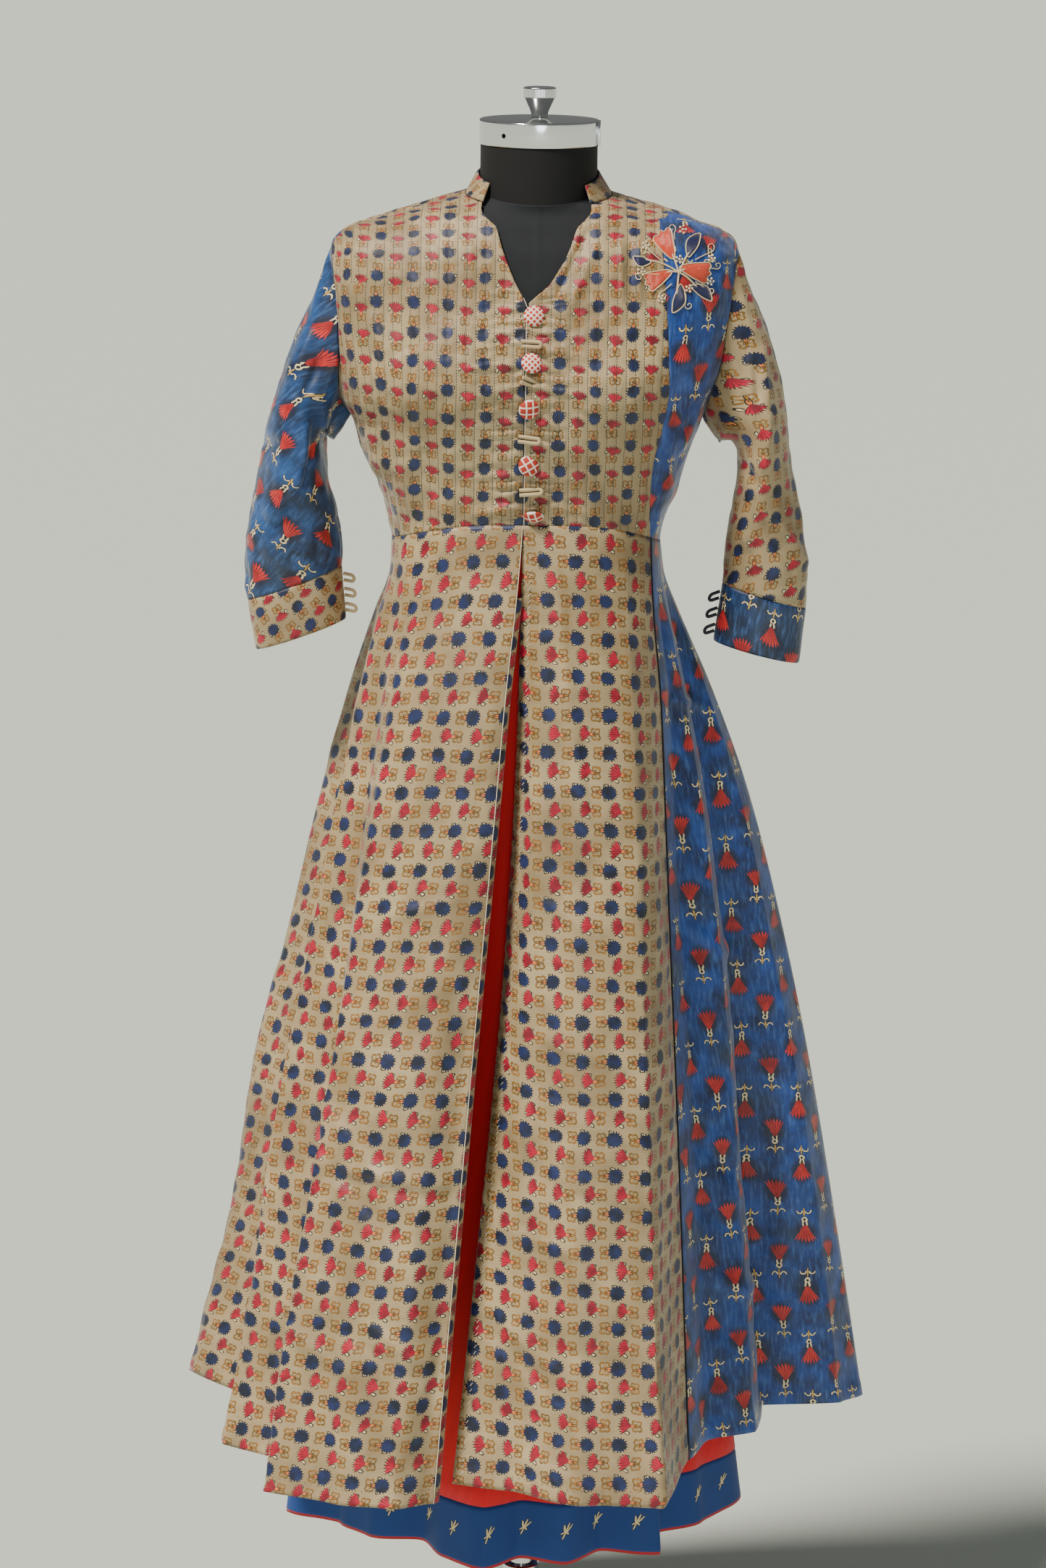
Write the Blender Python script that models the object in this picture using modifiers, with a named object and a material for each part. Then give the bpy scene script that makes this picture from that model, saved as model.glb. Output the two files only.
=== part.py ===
"""Anarkali gown on a limbless dress form and its pole stand.

Metres, +Z up, the front faces -Y, +X is the wearer's left. The floor is Z = 0
and the pole stands on X = Y = 0. "Turn" is the angle round the body in degrees:
0 at centre front, 90 at the wearer's left side, 180 at centre back.
"Level" is a height on the body, before the neckline's forward lean.
"""
import math
from collections import namedtuple

import bmesh
import bpy
from mathutils import Matrix, Vector

# Cloth
WALL = 0.0014
SEAM_GAP = 0.0003
LAYER_GAP = 0.0004
FORM_CLEARANCE = 0.0020
CHANNEL_RISE = 0.0005

# Stand and form fittings
NECK_RADIUS = 0.0580
NECK_TOP = 1.6345
CAP_RADIUS = 0.0594
CAP_HEIGHT = 0.0245
CAP_DOME = 0.0022
POLE_RADIUS = 0.0127
LOWER_TUBE_RADIUS = 0.0155
LOWER_TUBE_BORE = 0.0132
LOWER_TUBE_TOP = 0.127
POLE_FOOT = 0.070
RING_RADIUS = 0.0185
RING_HEIGHT = 0.026
BASE_RADIUS = 0.165
BASE_THICKNESS = 0.009
BOSS_RADIUS = 0.0260
BOSS_RISE = 0.011
SOCKET_DEPTH = 0.040
SOCKET_RADIUS = 0.0131
KNOB_RADIUS = 0.0162
KNOB_NECK = 0.0070
KNOB_HEIGHT = 0.0290
KNOB_BAND = 0.0105
KNOB_CONE_FOOT = 0.0040
METAL_EDGE = 0.0012
RING_EDGE = 0.0015
BOSS_EDGE = 0.002
PLATE_EDGE = 0.003
FORM_INSET = 0.0030
TORSO_COLUMNS = 36
ROUND_STEPS = 24

# Body levels
NECK_SEAM_LEVEL = 1.5835
FORM_TOP_LEVEL = 1.5900
FORM_BOTTOM = 0.945
WAIST_FRONT = 1.2695
WAIST_SIDE_DIP = 0.027
PLACKET_X = -0.0115
UNDERARM_LEVEL = 1.367
FLAT_NORMAL_LEVEL = 1.275
FLAT_NORMAL_BLEND = 0.05
NORMAL_STEP_TURN = 0.4
NORMAL_STEP_LEVEL = 0.0008
SEARCH_STEPS = 20
PLACE_STEPS = 8

FormSection = namedtuple("FormSection", "level half front back squareness lean")
FORM_SECTIONS = [
    FormSection(0.945, 0.132, 0.088, 0.100, 2.3, 0.0),
    FormSection(1.000, 0.146, 0.096, 0.110, 2.3, 0.0),
    FormSection(1.060, 0.150, 0.099, 0.113, 2.3, 0.0),
    FormSection(1.120, 0.140, 0.096, 0.104, 2.3, 0.0),
    FormSection(1.180, 0.124, 0.091, 0.090, 2.3, 0.0),
    FormSection(1.245, 0.1165, 0.090, 0.080, 2.2, 0.0),
    FormSection(1.300, 0.126, 0.096, 0.087, 2.2, 0.0),
    FormSection(1.360, 0.142, 0.106, 0.100, 2.3, 0.0),
    FormSection(1.405, 0.151, 0.112, 0.108, 2.4, 0.0),
    FormSection(1.450, 0.157, 0.107, 0.112, 2.6, 0.0),
    FormSection(1.490, 0.163, 0.097, 0.109, 2.8, 0.0),
    FormSection(1.520, 0.174, 0.088, 0.101, 2.9, 0.0005),
    FormSection(1.540, 0.186, 0.080, 0.092, 2.8, 0.001),
    FormSection(1.5487, 0.178, 0.075, 0.086, 2.6, 0.002),
    FormSection(1.5567, 0.158, 0.071, 0.080, 2.4, 0.003),
    FormSection(1.5645, 0.138, 0.068, 0.075, 2.3, 0.0045),
    FormSection(1.5700, 0.118, 0.0655, 0.072, 2.2, 0.006),
    FormSection(1.5760, 0.096, 0.063, 0.068, 2.1, 0.008),
    FormSection(1.5825, 0.074, 0.0605, 0.062, 2.05, 0.0095),
    FormSection(1.5900, 0.0585, 0.0585, 0.0585, 2.0, 0.012),
]

# How far the gown stands off the form: wearer's right, left, front, back.
Ease = namedtuple("Ease", "level right left front back")
GOWN_EASE = [
    Ease(1.200, 0.0200, 0.0045, 0.012, 0.012),
    Ease(1.245, 0.0235, 0.0070, 0.012, 0.012),
    Ease(1.270, 0.0255, 0.0105, 0.011, 0.014),
    Ease(1.300, 0.0287, 0.0157, 0.010, 0.014),
    Ease(1.330, 0.0362, 0.0162, 0.009, 0.012),
    Ease(1.360, 0.0357, 0.0187, 0.008, 0.010),
    Ease(1.385, 0.0467, 0.0217, 0.007, 0.008),
    Ease(1.405, 0.0497, 0.0277, 0.006, 0.006),
    Ease(1.437, 0.0487, 0.0357, 0.004, 0.003),
    Ease(1.475, 0.0457, 0.0362, 0.002, 0.001),
    Ease(1.512, 0.0350, 0.0270, 0.001, 0.0025),
    Ease(1.530, 0.0230, 0.0167, 0.0005, 0.0028),
    Ease(1.542, 0.0090, 0.0050, 0.0002, 0.0025),
    Ease(1.549, 0.0050, 0.0025, 0.0, 0.0020),
    Ease(1.557, 0.0005, 0.0005, 0.0, 0.0015),
    Ease(1.575, 0.0, 0.0, 0.0, 0.0005),
    Ease(1.600, 0.0, 0.0, 0.0, 0.0),
]
BUST_LEVEL = 1.408
BUST_TURN = 37.0
BUST_RISE = 0.015
BUST_SPREAD_TURN = 21.0
BUST_SPREAD_LEVEL = 0.050

# Seam lines of the bodice, row by row from the waist up; a level of 0.0 in the
# first row is the waist seam's own level, and the opening ends two rows below the shoulder.
BodiceRow = namedtuple(
    "BodiceRow", "opening_level opening_x_right opening_x_left princess_level princess_x "
                 "side_level armhole_front armhole_back")
BODICE_ROWS = [
    BodiceRow(0.0, -0.0115, -0.0115, 0.0, 0.1160, 0.0, 90, 90),
    BodiceRow(1.300, -0.0115, -0.0115, 1.290, 0.1140, 1.270, 90, 90),
    BodiceRow(1.335, -0.0115, -0.0115, 1.320, 0.1160, 1.303, 90, 90),
    BodiceRow(1.370, -0.0115, -0.0115, 1.350, 0.1215, 1.336, 90, 90),
    BodiceRow(1.405, -0.0115, -0.0115, 1.380, 0.1280, 1.367, 90, 90),
    BodiceRow(1.433, -0.0115, -0.0115, 1.405, 0.1305, 1.381, 83, 97),
    BodiceRow(1.461, -0.0115, -0.0115, 1.430, 0.1298, 1.401, 77.5, 103),
    BodiceRow(1.4880, -0.0110, -0.0080, 1.455, 0.1290, 1.430, 74.5, 106),
    BodiceRow(1.5050, -0.0209, 0.0117, 1.482, 0.1270, 1.460, 74.5, 106),
    BodiceRow(1.5310, -0.0318, 0.0276, 1.508, 0.1250, 1.490, 76.5, 104),
    BodiceRow(1.5620, -0.0414, 0.0387, 1.534, 0.1225, 1.517, 79.5, 101),
    BodiceRow(1.5820, -0.0480, 0.0440, 1.556, 0.1195, 1.536, 84, 96),
    BodiceRow(0.0, 0.0, 0.0, 1.5645, 0.1180, 1.544, 88, 92),
    BodiceRow(0.0, 0.0, 0.0, 1.5680, 0.1180, 1.5475, 90, 90),
]
COLLAR_TURN_RIGHT = -54.0
COLLAR_TURN_LEFT = 50.0
HALFWAY_NECK_TURN = 73.0
FRONT_RIGHT_COLUMNS = 36
FRONT_LEFT_COLUMNS = 24
SIDE_PANEL_COLUMNS = 8
BACK_SHOULDER_COLUMNS = 6
BACK_NECK_COLUMNS = 10
COLLAR_HEIGHT = 0.0200
COLLAR_BACK_RISE = 0.003
COLLAR_TOP_RADIUS = 0.0606

# Hem of the gown: one row for each ridge, valley, edge and seam.
# crease 0 is a soft bend and 1 a pressed one; hang names a column of SKIRT_HANG.
Fold = namedtuple("Fold", "name waist_turn x y z crease hang")
SKIRT_FOLDS = [
    Fold("slit_left_edge", -5.0, -0.0700, -0.2300, 0.321, 0.3, "bowed"),
    Fold("left_front_dip", 6.0, -0.0150, -0.2400, 0.318, 0.2, "straight"),
    Fold("left_front_soft", 22.0, 0.0650, -0.2760, 0.316, 0.0, "straight"),
    Fold("left_front_crease", 48.0, 0.1400, -0.2780, 0.315, 1.0, "straight"),
    Fold("blue_seam", 67.0, 0.1680, -0.1600, 0.324, 0.3, "hip_front"),
    Fold("blue_valley", 73.0, 0.1880, -0.1180, 0.330, 0.0, "hip_front"),
    Fold("blue_ridge_one", 80.0, 0.2380, -0.0950, 0.332, 0.8, "hip_left"),
    Fold("blue_deep_valley", 85.0, 0.2480, -0.0200, 0.335, 0.2, "hip_left"),
    Fold("blue_ridge_two", 92.0, 0.3300, -0.0080, 0.335, 0.4, "hip_left"),
    Fold("back_left_seam", 99.0, 0.3560, 0.0330, 0.330, 0.5, "hip_left"),
    Fold("back_valley_one", 108.0, 0.2720, 0.0850, 0.330, 0.1, "hip_back"),
    Fold("back_ridge_one", 120.0, 0.2880, 0.1850, 0.322, 0.3, "hip_back"),
    Fold("back_valley_two", 134.0, 0.1950, 0.2050, 0.326, 0.0, "hip_back"),
    Fold("back_ridge_two", 148.0, 0.1720, 0.2950, 0.318, 0.4, "hip_back"),
    Fold("back_valley_three", 163.0, 0.0850, 0.2500, 0.322, 0.1, "hip_back"),
    Fold("centre_back_seam", 180.0, 0.0100, 0.3080, 0.315, 0.2, "hip_back"),
    Fold("back_valley_four", 198.0, -0.0820, 0.2560, 0.322, 0.1, "hip_back"),
    Fold("back_ridge_four", 212.0, -0.1620, 0.2950, 0.318, 0.5, "hip_back"),
    Fold("back_valley_five", 227.0, -0.2000, 0.2020, 0.326, 0.0, "hip_back"),
    Fold("back_ridge_five", 242.0, -0.2860, 0.1700, 0.324, 0.3, "hip_back"),
    Fold("side_valley", 254.0, -0.2700, 0.0950, 0.336, 0.1, "hip_right"),
    Fold("side_ridge", 262.0, -0.3510, 0.0500, 0.342, 0.7, "hip_right"),
    Fold("side_seam", 271.0, -0.2800, -0.0200, 0.334, 0.1, "hip_right"),
    Fold("right_ridge_two", 282.0, -0.3060, -0.1180, 0.320, 0.9, "hip_right"),
    Fold("right_valley", 292.0, -0.2420, -0.1620, 0.318, 0.1, "straight"),
    Fold("right_ridge_one", 303.0, -0.2590, -0.2260, 0.309, 0.9, "straight"),
    Fold("right_front_soft", 320.0, -0.1900, -0.2560, 0.308, 0.0, "straight"),
    Fold("right_front_full", 339.0, -0.1350, -0.2700, 0.308, 0.0, "straight"),
    Fold("slit_right_edge", 353.0, -0.0880, -0.2560, 0.309, 0.3, "straight"),
]
STEPS_PER_FOLD = 3

# How far the cloth has swung out from waist to hem at each part of its drop.
Hang = namedtuple("Hang", "drop straight bowed hip_front hip_left hip_right hip_back")
SKIRT_HANG = [
    Hang(0.000, 0.000, 0.000, 0.000, 0.000, 0.000, 0.000),
    Hang(0.035, 0.028, 0.006, 0.020, 0.020, 0.006, 0.030),
    Hang(0.085, 0.080, 0.020, 0.080, 0.095, 0.085, 0.115),
    Hang(0.170, 0.190, 0.040, 0.230, 0.245, 0.205, 0.260),
    Hang(0.290, 0.310, 0.095, 0.350, 0.420, 0.340, 0.390),
    Hang(0.450, 0.470, 0.220, 0.500, 0.590, 0.505, 0.540),
    Hang(0.600, 0.620, 0.400, 0.650, 0.720, 0.662, 0.670),
    Hang(0.800, 0.810, 0.690, 0.830, 0.865, 0.800, 0.830),
    Hang(1.000, 1.000, 1.000, 1.000, 1.000, 1.000, 1.000),
]
FOLD_START = 0.06
CREASE_SLOPE = 1.35

# Underskirt: turns evenly shared, hem points by turn and reach from the pole.
InnerFold = namedtuple("InnerFold", "turn reach z crease")
INNER_FOLDS = [
    InnerFold(-180, 0.200, 0.208, 0.2), InnerFold(-160, 0.172, 0.210, 0.0),
    InnerFold(-142, 0.215, 0.206, 0.3), InnerFold(-122, 0.185, 0.209, 0.0),
    InnerFold(-104, 0.243, 0.206, 0.3), InnerFold(-90, 0.247, 0.205, 0.4),
    InnerFold(-78, 0.192, 0.207, 0.1), InnerFold(-64, 0.176, 0.207, 0.3),
    InnerFold(-48, 0.137, 0.208, 0.0), InnerFold(-33, 0.150, 0.204, 0.3),
    InnerFold(-14, 0.163, 0.202, 0.3), InnerFold(0, 0.132, 0.206, 0.0),
    InnerFold(18, 0.150, 0.204, 0.3), InnerFold(36, 0.134, 0.206, 0.1),
    InnerFold(52, 0.182, 0.204, 0.4), InnerFold(66, 0.150, 0.207, 0.0),
    InnerFold(82, 0.190, 0.208, 0.1), InnerFold(100, 0.236, 0.212, 0.4),
    InnerFold(120, 0.190, 0.209, 0.0), InnerFold(142, 0.218, 0.206, 0.3),
    InnerFold(160, 0.175, 0.210, 0.0), InnerFold(180, 0.200, 0.208, 0.2),
]
INNER_STEPS_PER_FOLD = 2
HIP_CLEARANCE = 0.0048
INNER_HANG_POWER = 1.25
INNER_LEVELS = (1.246, 1.180, 1.120, 1.060, 1.000, 0.915, 0.730, 0.490)
HIP_BLEND = 60.0
WAIST_LAYER_GAP = 0.0013
BORDER_DEPTH = 0.066
BORDER_ROWS = 2

# Sleeves: outer and inner edge seen from the front, then depth and set back.
SleeveRow = namedtuple("SleeveRow", "outer_x outer_z inner_x inner_z half_depth centre_y")
SLEEVE_RIGHT = [
    SleeveRow(-0.230, 1.473, -0.200, 1.358, 0.060, -0.001),
    SleeveRow(-0.2445, 1.434, -0.209, 1.350, 0.062, -0.002),
    SleeveRow(-0.257, 1.394, -0.2100, 1.336, 0.063, -0.004),
    SleeveRow(-0.268, 1.355, -0.2085, 1.317, 0.062, -0.006),
    SleeveRow(-0.2765, 1.315, -0.206, 1.295, 0.057, -0.008),
    SleeveRow(-0.2830, 1.272, -0.200, 1.271, 0.050, -0.010),
    SleeveRow(-0.2875, 1.230, -0.194, 1.246, 0.041, -0.012),
    SleeveRow(-0.2880, 1.202, -0.1928, 1.229, 0.035, -0.013),
    SleeveRow(-0.2872, 1.1779, -0.1925, 1.2131, 0.030, -0.014),
    SleeveRow(-0.2784, 1.1268, -0.1886, 1.1591, 0.027, -0.016),
]
SLEEVE_LEFT = [
    SleeveRow(0.2205, 1.479, 0.184, 1.358, 0.060, -0.001),
    SleeveRow(0.2325, 1.443, 0.194, 1.348, 0.062, -0.002),
    SleeveRow(0.2430, 1.404, 0.200, 1.334, 0.063, -0.004),
    SleeveRow(0.2505, 1.365, 0.2008, 1.315, 0.061, -0.006),
    SleeveRow(0.2560, 1.328, 0.1990, 1.294, 0.057, -0.008),
    SleeveRow(0.2615, 1.290, 0.1960, 1.272, 0.050, -0.010),
    SleeveRow(0.2680, 1.252, 0.1920, 1.250, 0.042, -0.012),
    SleeveRow(0.2745, 1.214, 0.1900, 1.224, 0.035, -0.013),
    SleeveRow(0.2740, 1.1761, 0.1893, 1.2009, 0.030, -0.014),
    SleeveRow(0.2678, 1.1197, 0.1818, 1.1416, 0.027, -0.016),
]
ARMHOLE_GAP = 0.0006
ARMHOLE_SHARES = (0.45, 0.12)
CUFF_SLIT = 0.0012
CUFF_FLARE = 0.0010

# Fastenings, by height on the bodice front.
BUTTON_RADIUS = 0.0104
BUTTON_RISE = 0.0062
BUTTON_STEPS = 12
BUTTON_PROFILE = [(0.0, 0.0), (1.0, 0.0), (1.0, 0.22), (0.90, 0.52), (0.62, 0.84), (0.30, 0.97), (0.0, 1.0)]
Fastening = namedtuple("Fastening", "x z")
BUTTONS = [
    Fastening(-0.0030, 1.4757), Fastening(-0.0050, 1.4311), Fastening(-0.0070, 1.3871),
    Fastening(-0.0066, 1.3301), Fastening(-0.0010, 1.2801),
]
Loop = namedtuple("Loop", "x z length slope")
FRONT_LOOPS = [
    Loop(-0.0045, 1.4502, 0.020, 0.0), Loop(-0.0060, 1.4127, 0.021, -22.0),
    Loop(-0.0065, 1.3560, 0.021, -6.0), Loop(-0.0040, 1.3030, 0.022, 5.0),
]
LOOP_CORD_RADIUS = 0.0017
LOOP_HALF_WIDTH = 0.0036
LOOP_BEND_STEPS = 5
CUFF_LOOP_REACH = 0.0110
CUFF_LOOP_SPREAD = 0.0033
CUFF_LOOP_CORD = 0.0013
CUFF_LOOP_SEAT = 0.00075
CUFF_LOOP_PLACES = (0.22, 0.50, 0.78)

# Embroidered spray: each row is a petal or leaf by place, length, width, direction and
# how far its underside lies above the flat cloth.
Motif = namedtuple("Motif", "name x z length width heading seat")
SPRAY = [
    Motif("bell_top", 0.1260, 1.5430, 0.026, 0.020, 118, 0.00055),
    Motif("bell_middle", 0.1540, 1.5190, 0.029, 0.020, -14, 0.00055),
    Motif("bell_low", 0.1180, 1.5130, 0.026, 0.019, 205, 0.0009),
    Motif("leaf_top", 0.1530, 1.5420, 0.024, 0.012, 60, 0.00055),
    Motif("leaf_right", 0.1600, 1.4970, 0.026, 0.011, -35, 0.00055),
    Motif("leaf_low", 0.1360, 1.4930, 0.028, 0.012, -105, 0.00055),
    Motif("leaf_left", 0.1020, 1.5300, 0.018, 0.009, 165, 0.0006),
]
BELL_OUTLINE = [
    (-0.50, 0.10), (-0.15, 0.30), (0.15, 0.42), (0.38, 0.50), (0.50, 0.34), (0.44, 0.17), (0.56, 0.0)]
LEAF_OUTLINE = [(-0.50, 0.0), (-0.25, 0.36), (0.05, 0.50), (0.32, 0.32), (0.50, 0.0)]
SPRAY_SHRINK = 0.72
SPRAY_THICKNESS = 0.0012
SPRAY_EDGE_SHARE = 0.6
SPRAY_CROWN_SHARE = 1.1

COLOURS = {
    "beige_silk": ((0.47, 0.37, 0.24, 1.0), 0.55, 0.0),
    "blue_silk": ((0.028, 0.085, 0.27, 1.0), 0.55, 0.0),
    "red_cotton": ((0.53, 0.008, 0.008, 1.0), 0.8, 0.0),
    "border_cotton": ((0.006, 0.045, 0.23, 1.0), 0.8, 0.0),
    "button_cloth": ((0.60, 0.10, 0.06, 1.0), 0.7, 0.0),
    "loop_beige": ((0.30, 0.23, 0.13, 1.0), 0.7, 0.0),
    "loop_dark": ((0.02, 0.03, 0.06, 1.0), 0.7, 0.0),
    "spray_thread": ((0.80, 0.13, 0.06, 1.0), 0.5, 0.0),
    "form_jersey": ((0.018, 0.019, 0.021, 1.0), 0.85, 0.0),
    "neck_cover": ((0.008, 0.008, 0.009, 1.0), 0.6, 0.0),
    "polished_metal": ((0.78, 0.78, 0.77, 1.0), 0.15, 1.0),
    "dark_metal": ((0.05, 0.05, 0.055, 1.0), 0.35, 1.0),
}


def clear_scene():
    for item in list(bpy.data.objects):
        bpy.data.objects.remove(item, do_unlink=True)


def finish_of(name):
    material = bpy.data.materials.get(name) or bpy.data.materials.new(name)
    material.use_nodes = True
    colour, roughness, metallic = COLOURS[name]
    shader = material.node_tree.nodes["Principled BSDF"]
    shader.inputs["Base Color"].default_value = colour
    shader.inputs["Roughness"].default_value = roughness
    shader.inputs["Metallic"].default_value = metallic
    material.diffuse_color = colour
    return material


def add_piece(name, mesh_or_curve, finish, collection, sharp_angle=None):
    piece = bpy.data.objects.new(name, mesh_or_curve)
    piece.data.materials.append(finish_of(finish))
    collection.objects.link(piece)
    if sharp_angle is not None:
        mesh_or_curve.shade_smooth()
        mesh_or_curve.set_sharp_from_angle(angle=math.radians(sharp_angle))
    return piece


def table_value(rows, key, column, at):
    """Smooth value of a column at a key, without overshoot between its rows."""
    keys = [getattr(row, key) for row in rows]
    values = [getattr(row, column) for row in rows]
    if at <= keys[0]:
        return values[0]
    if at >= keys[-1]:
        return values[-1]
    low = max(i for i in range(len(keys) - 1) if keys[i] <= at)
    slopes = [(values[i + 1] - values[i]) / (keys[i + 1] - keys[i]) for i in range(len(keys) - 1)]

    def tangent(i):
        if i == 0:
            return slopes[0]
        if i == len(keys) - 1:
            return slopes[-1]
        before, after = slopes[i - 1], slopes[i]
        if before * after <= 0:
            return 0.0
        return 2.0 * before * after / (before + after)

    span = keys[low + 1] - keys[low]
    t = (at - keys[low]) / span
    start = (2 * t**3 - 3 * t**2 + 1) * values[low] + (t**3 - 2 * t**2 + t) * span * tangent(low)
    end = (3 * t**2 - 2 * t**3) * values[low + 1] + (t**3 - t**2) * span * tangent(low + 1)
    return start + end


def bust_rise(turn, level):
    side = (abs(turn) - BUST_TURN) / BUST_SPREAD_TURN
    height = (level - BUST_LEVEL) / BUST_SPREAD_LEVEL
    return BUST_RISE * math.exp(-side * side - height * height)


def wrapped(turn):
    return (turn + 180.0) % 360.0 - 180.0


def body_point(turn, level, ease=None):
    """Point on the form, or on the gown's resting surface where ease is given."""
    turn = wrapped(turn)
    angle = math.radians(turn)
    across, along = math.sin(angle), math.cos(angle)
    half = table_value(FORM_SECTIONS, "level", "half", level)
    depth = table_value(FORM_SECTIONS, "level", "front" if along > 0 else "back", level)
    if ease:
        half += table_value(ease, "level", "left" if across > 0 else "right", level)
        depth += table_value(ease, "level", "front" if along > 0 else "back", level)
    power = table_value(FORM_SECTIONS, "level", "squareness", level)
    radius = ((abs(across) / half) ** power + (abs(along) / depth) ** power) ** (-1.0 / power)
    radius += bust_rise(turn, level)
    lean = table_value(FORM_SECTIONS, "level", "lean", level)
    return Vector((radius * across, -radius * along, level - lean * along))


def surface_normal(surface, turn, level):
    round_way = surface(turn + NORMAL_STEP_TURN, level) - surface(turn - NORMAL_STEP_TURN, level)
    up_way = surface(turn, level + NORMAL_STEP_LEVEL) - surface(turn, level - NORMAL_STEP_LEVEL)
    return round_way.cross(up_way).normalized()


def gown_rest(turn, level):
    return body_point(turn, level, GOWN_EASE)


def gown_point(turn, level, out=0.0):
    """Outer face of the bodice cloth, moved out along its normal."""
    normal = surface_normal(gown_rest, turn, level)
    upright = min(max((level - FLAT_NORMAL_LEVEL) / FLAT_NORMAL_BLEND, 0.0), 1.0)
    normal.z *= upright
    normal.normalize()
    return gown_rest(turn, level) + normal * (FORM_CLEARANCE + WALL + out)


def waist_level(turn):
    return WAIST_FRONT - WAIST_SIDE_DIP * math.sin(math.radians(turn)) ** 4


def turn_at_x(x, level):
    """Turn on the front of the bodice whose outer point lies at x."""
    low, high = -90.0, 90.0
    for _ in range(SEARCH_STEPS):
        middle = (low + high) / 2.0
        if gown_point(middle, level).x < x:
            low = middle
        else:
            high = middle
    return (low + high) / 2.0


def wall_mesh(name, outer, inner, closed_round=False):
    """One closed wall between two grids of points; rows run up, columns round."""
    mesh = bmesh.new()
    rows, columns = len(outer), len(outer[0])
    sides = [[[mesh.verts.new(point) for point in row] for row in grid] for grid in (outer, inner)]
    skin, lining = sides
    last = columns if closed_round else columns - 1

    def quad(a, b, c, d):
        mesh.faces.new((a, b, c, d))

    for i in range(rows - 1):
        for j in range(last):
            k = (j + 1) % columns
            quad(skin[i][j], skin[i][k], skin[i + 1][k], skin[i + 1][j])
            quad(lining[i][j], lining[i + 1][j], lining[i + 1][k], lining[i][k])
    for j in range(last):
        k = (j + 1) % columns
        quad(skin[0][k], skin[0][j], lining[0][j], lining[0][k])
        quad(skin[-1][j], skin[-1][k], lining[-1][k], lining[-1][j])
    if not closed_round:
        for i in range(rows - 1):
            quad(skin[i][0], skin[i + 1][0], lining[i + 1][0], lining[i][0])
            quad(skin[i + 1][-1], skin[i][-1], lining[i][-1], lining[i + 1][-1])
    bmesh.ops.triangulate(mesh, faces=mesh.faces[:], quad_method="SHORT_EDGE")
    bmesh.ops.recalc_face_normals(mesh, faces=mesh.faces[:])
    data = bpy.data.meshes.new(name)
    mesh.to_mesh(data)
    mesh.free()
    return data


def pulled(edge, neighbour, amount):
    """Edge points drawn back towards the neighbouring row or column."""
    return [point + (other - point).normalized() * amount for point, other in zip(edge, neighbour)]


def trim(grid, amount, bottom=True, top=True, sides=True):
    """Draw the edges of a grid back, to leave a seam's gap."""
    if bottom:
        grid[0] = pulled(grid[0], grid[1], amount)
    if top:
        grid[-1] = pulled(grid[-1], grid[-2], amount)
    if sides:
        first = pulled([row[0] for row in grid], [row[1] for row in grid], amount)
        final = pulled([row[-1] for row in grid], [row[-2] for row in grid], amount)
        for row, start, end in zip(grid, first, final):
            row[0], row[-1] = start, end
    return grid


def add_wall(name, outer, inner, finish, collection, closed_round=False, sharp_angle=35):
    mesh = wall_mesh(name, outer, inner, closed_round)
    return add_piece(name, mesh, finish, collection, sharp_angle)


def opening_edge(side):
    """Wearer's right or left front edge: placket, neckline, then collar seam."""
    places = []
    for row in BODICE_ROWS[:-2]:
        x = row.opening_x_right if side < 0 else row.opening_x_left
        level = row.opening_level
        if level == 0.0:
            level = waist_level(0.0)
        places.append((turn_at_x(x, level), level))
    end = COLLAR_TURN_RIGHT if side < 0 else COLLAR_TURN_LEFT
    places[-1] = (end, NECK_SEAM_LEVEL)
    places.append((side * HALFWAY_NECK_TURN, NECK_SEAM_LEVEL))
    places.append((side * 90.0, NECK_SEAM_LEVEL))
    return places


def outer_edge(side, back=False):
    """Side seam, armhole and shoulder tip."""
    places = []
    for row in BODICE_ROWS:
        turn = row.armhole_back if back else row.armhole_front
        level = row.side_level
        if level == 0.0:
            level = waist_level(90.0)
        places.append((side * turn, level))
    return places


def princess_edge():
    """Seam between the beige front and the blue side panel."""
    places = []
    for row in BODICE_ROWS[:-1]:
        level = row.princess_level
        if level == 0.0:
            level = waist_level(turn_at_x(row.princess_x, waist_level(60.0)))
        places.append((turn_at_x(row.princess_x, level), level))
    places.append((90.0, BODICE_ROWS[-1].princess_level))
    return places


def blend(a, b, t):
    return (a[0] + (b[0] - a[0]) * t, a[1] + (b[1] - a[1]) * t)


def front_patch(start_edge, end_edge, columns):
    """Turn and level of each grid point between two seam lines, from waist to shoulder."""
    grid = []
    for index, (start, end) in enumerate(zip(start_edge, end_edge)):
        row = [blend(start, end, j / columns) for j in range(columns + 1)]
        if index == 0:
            row = [(turn, waist_level(turn)) for turn, _ in row]
        grid.append(row)
    return grid


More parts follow.
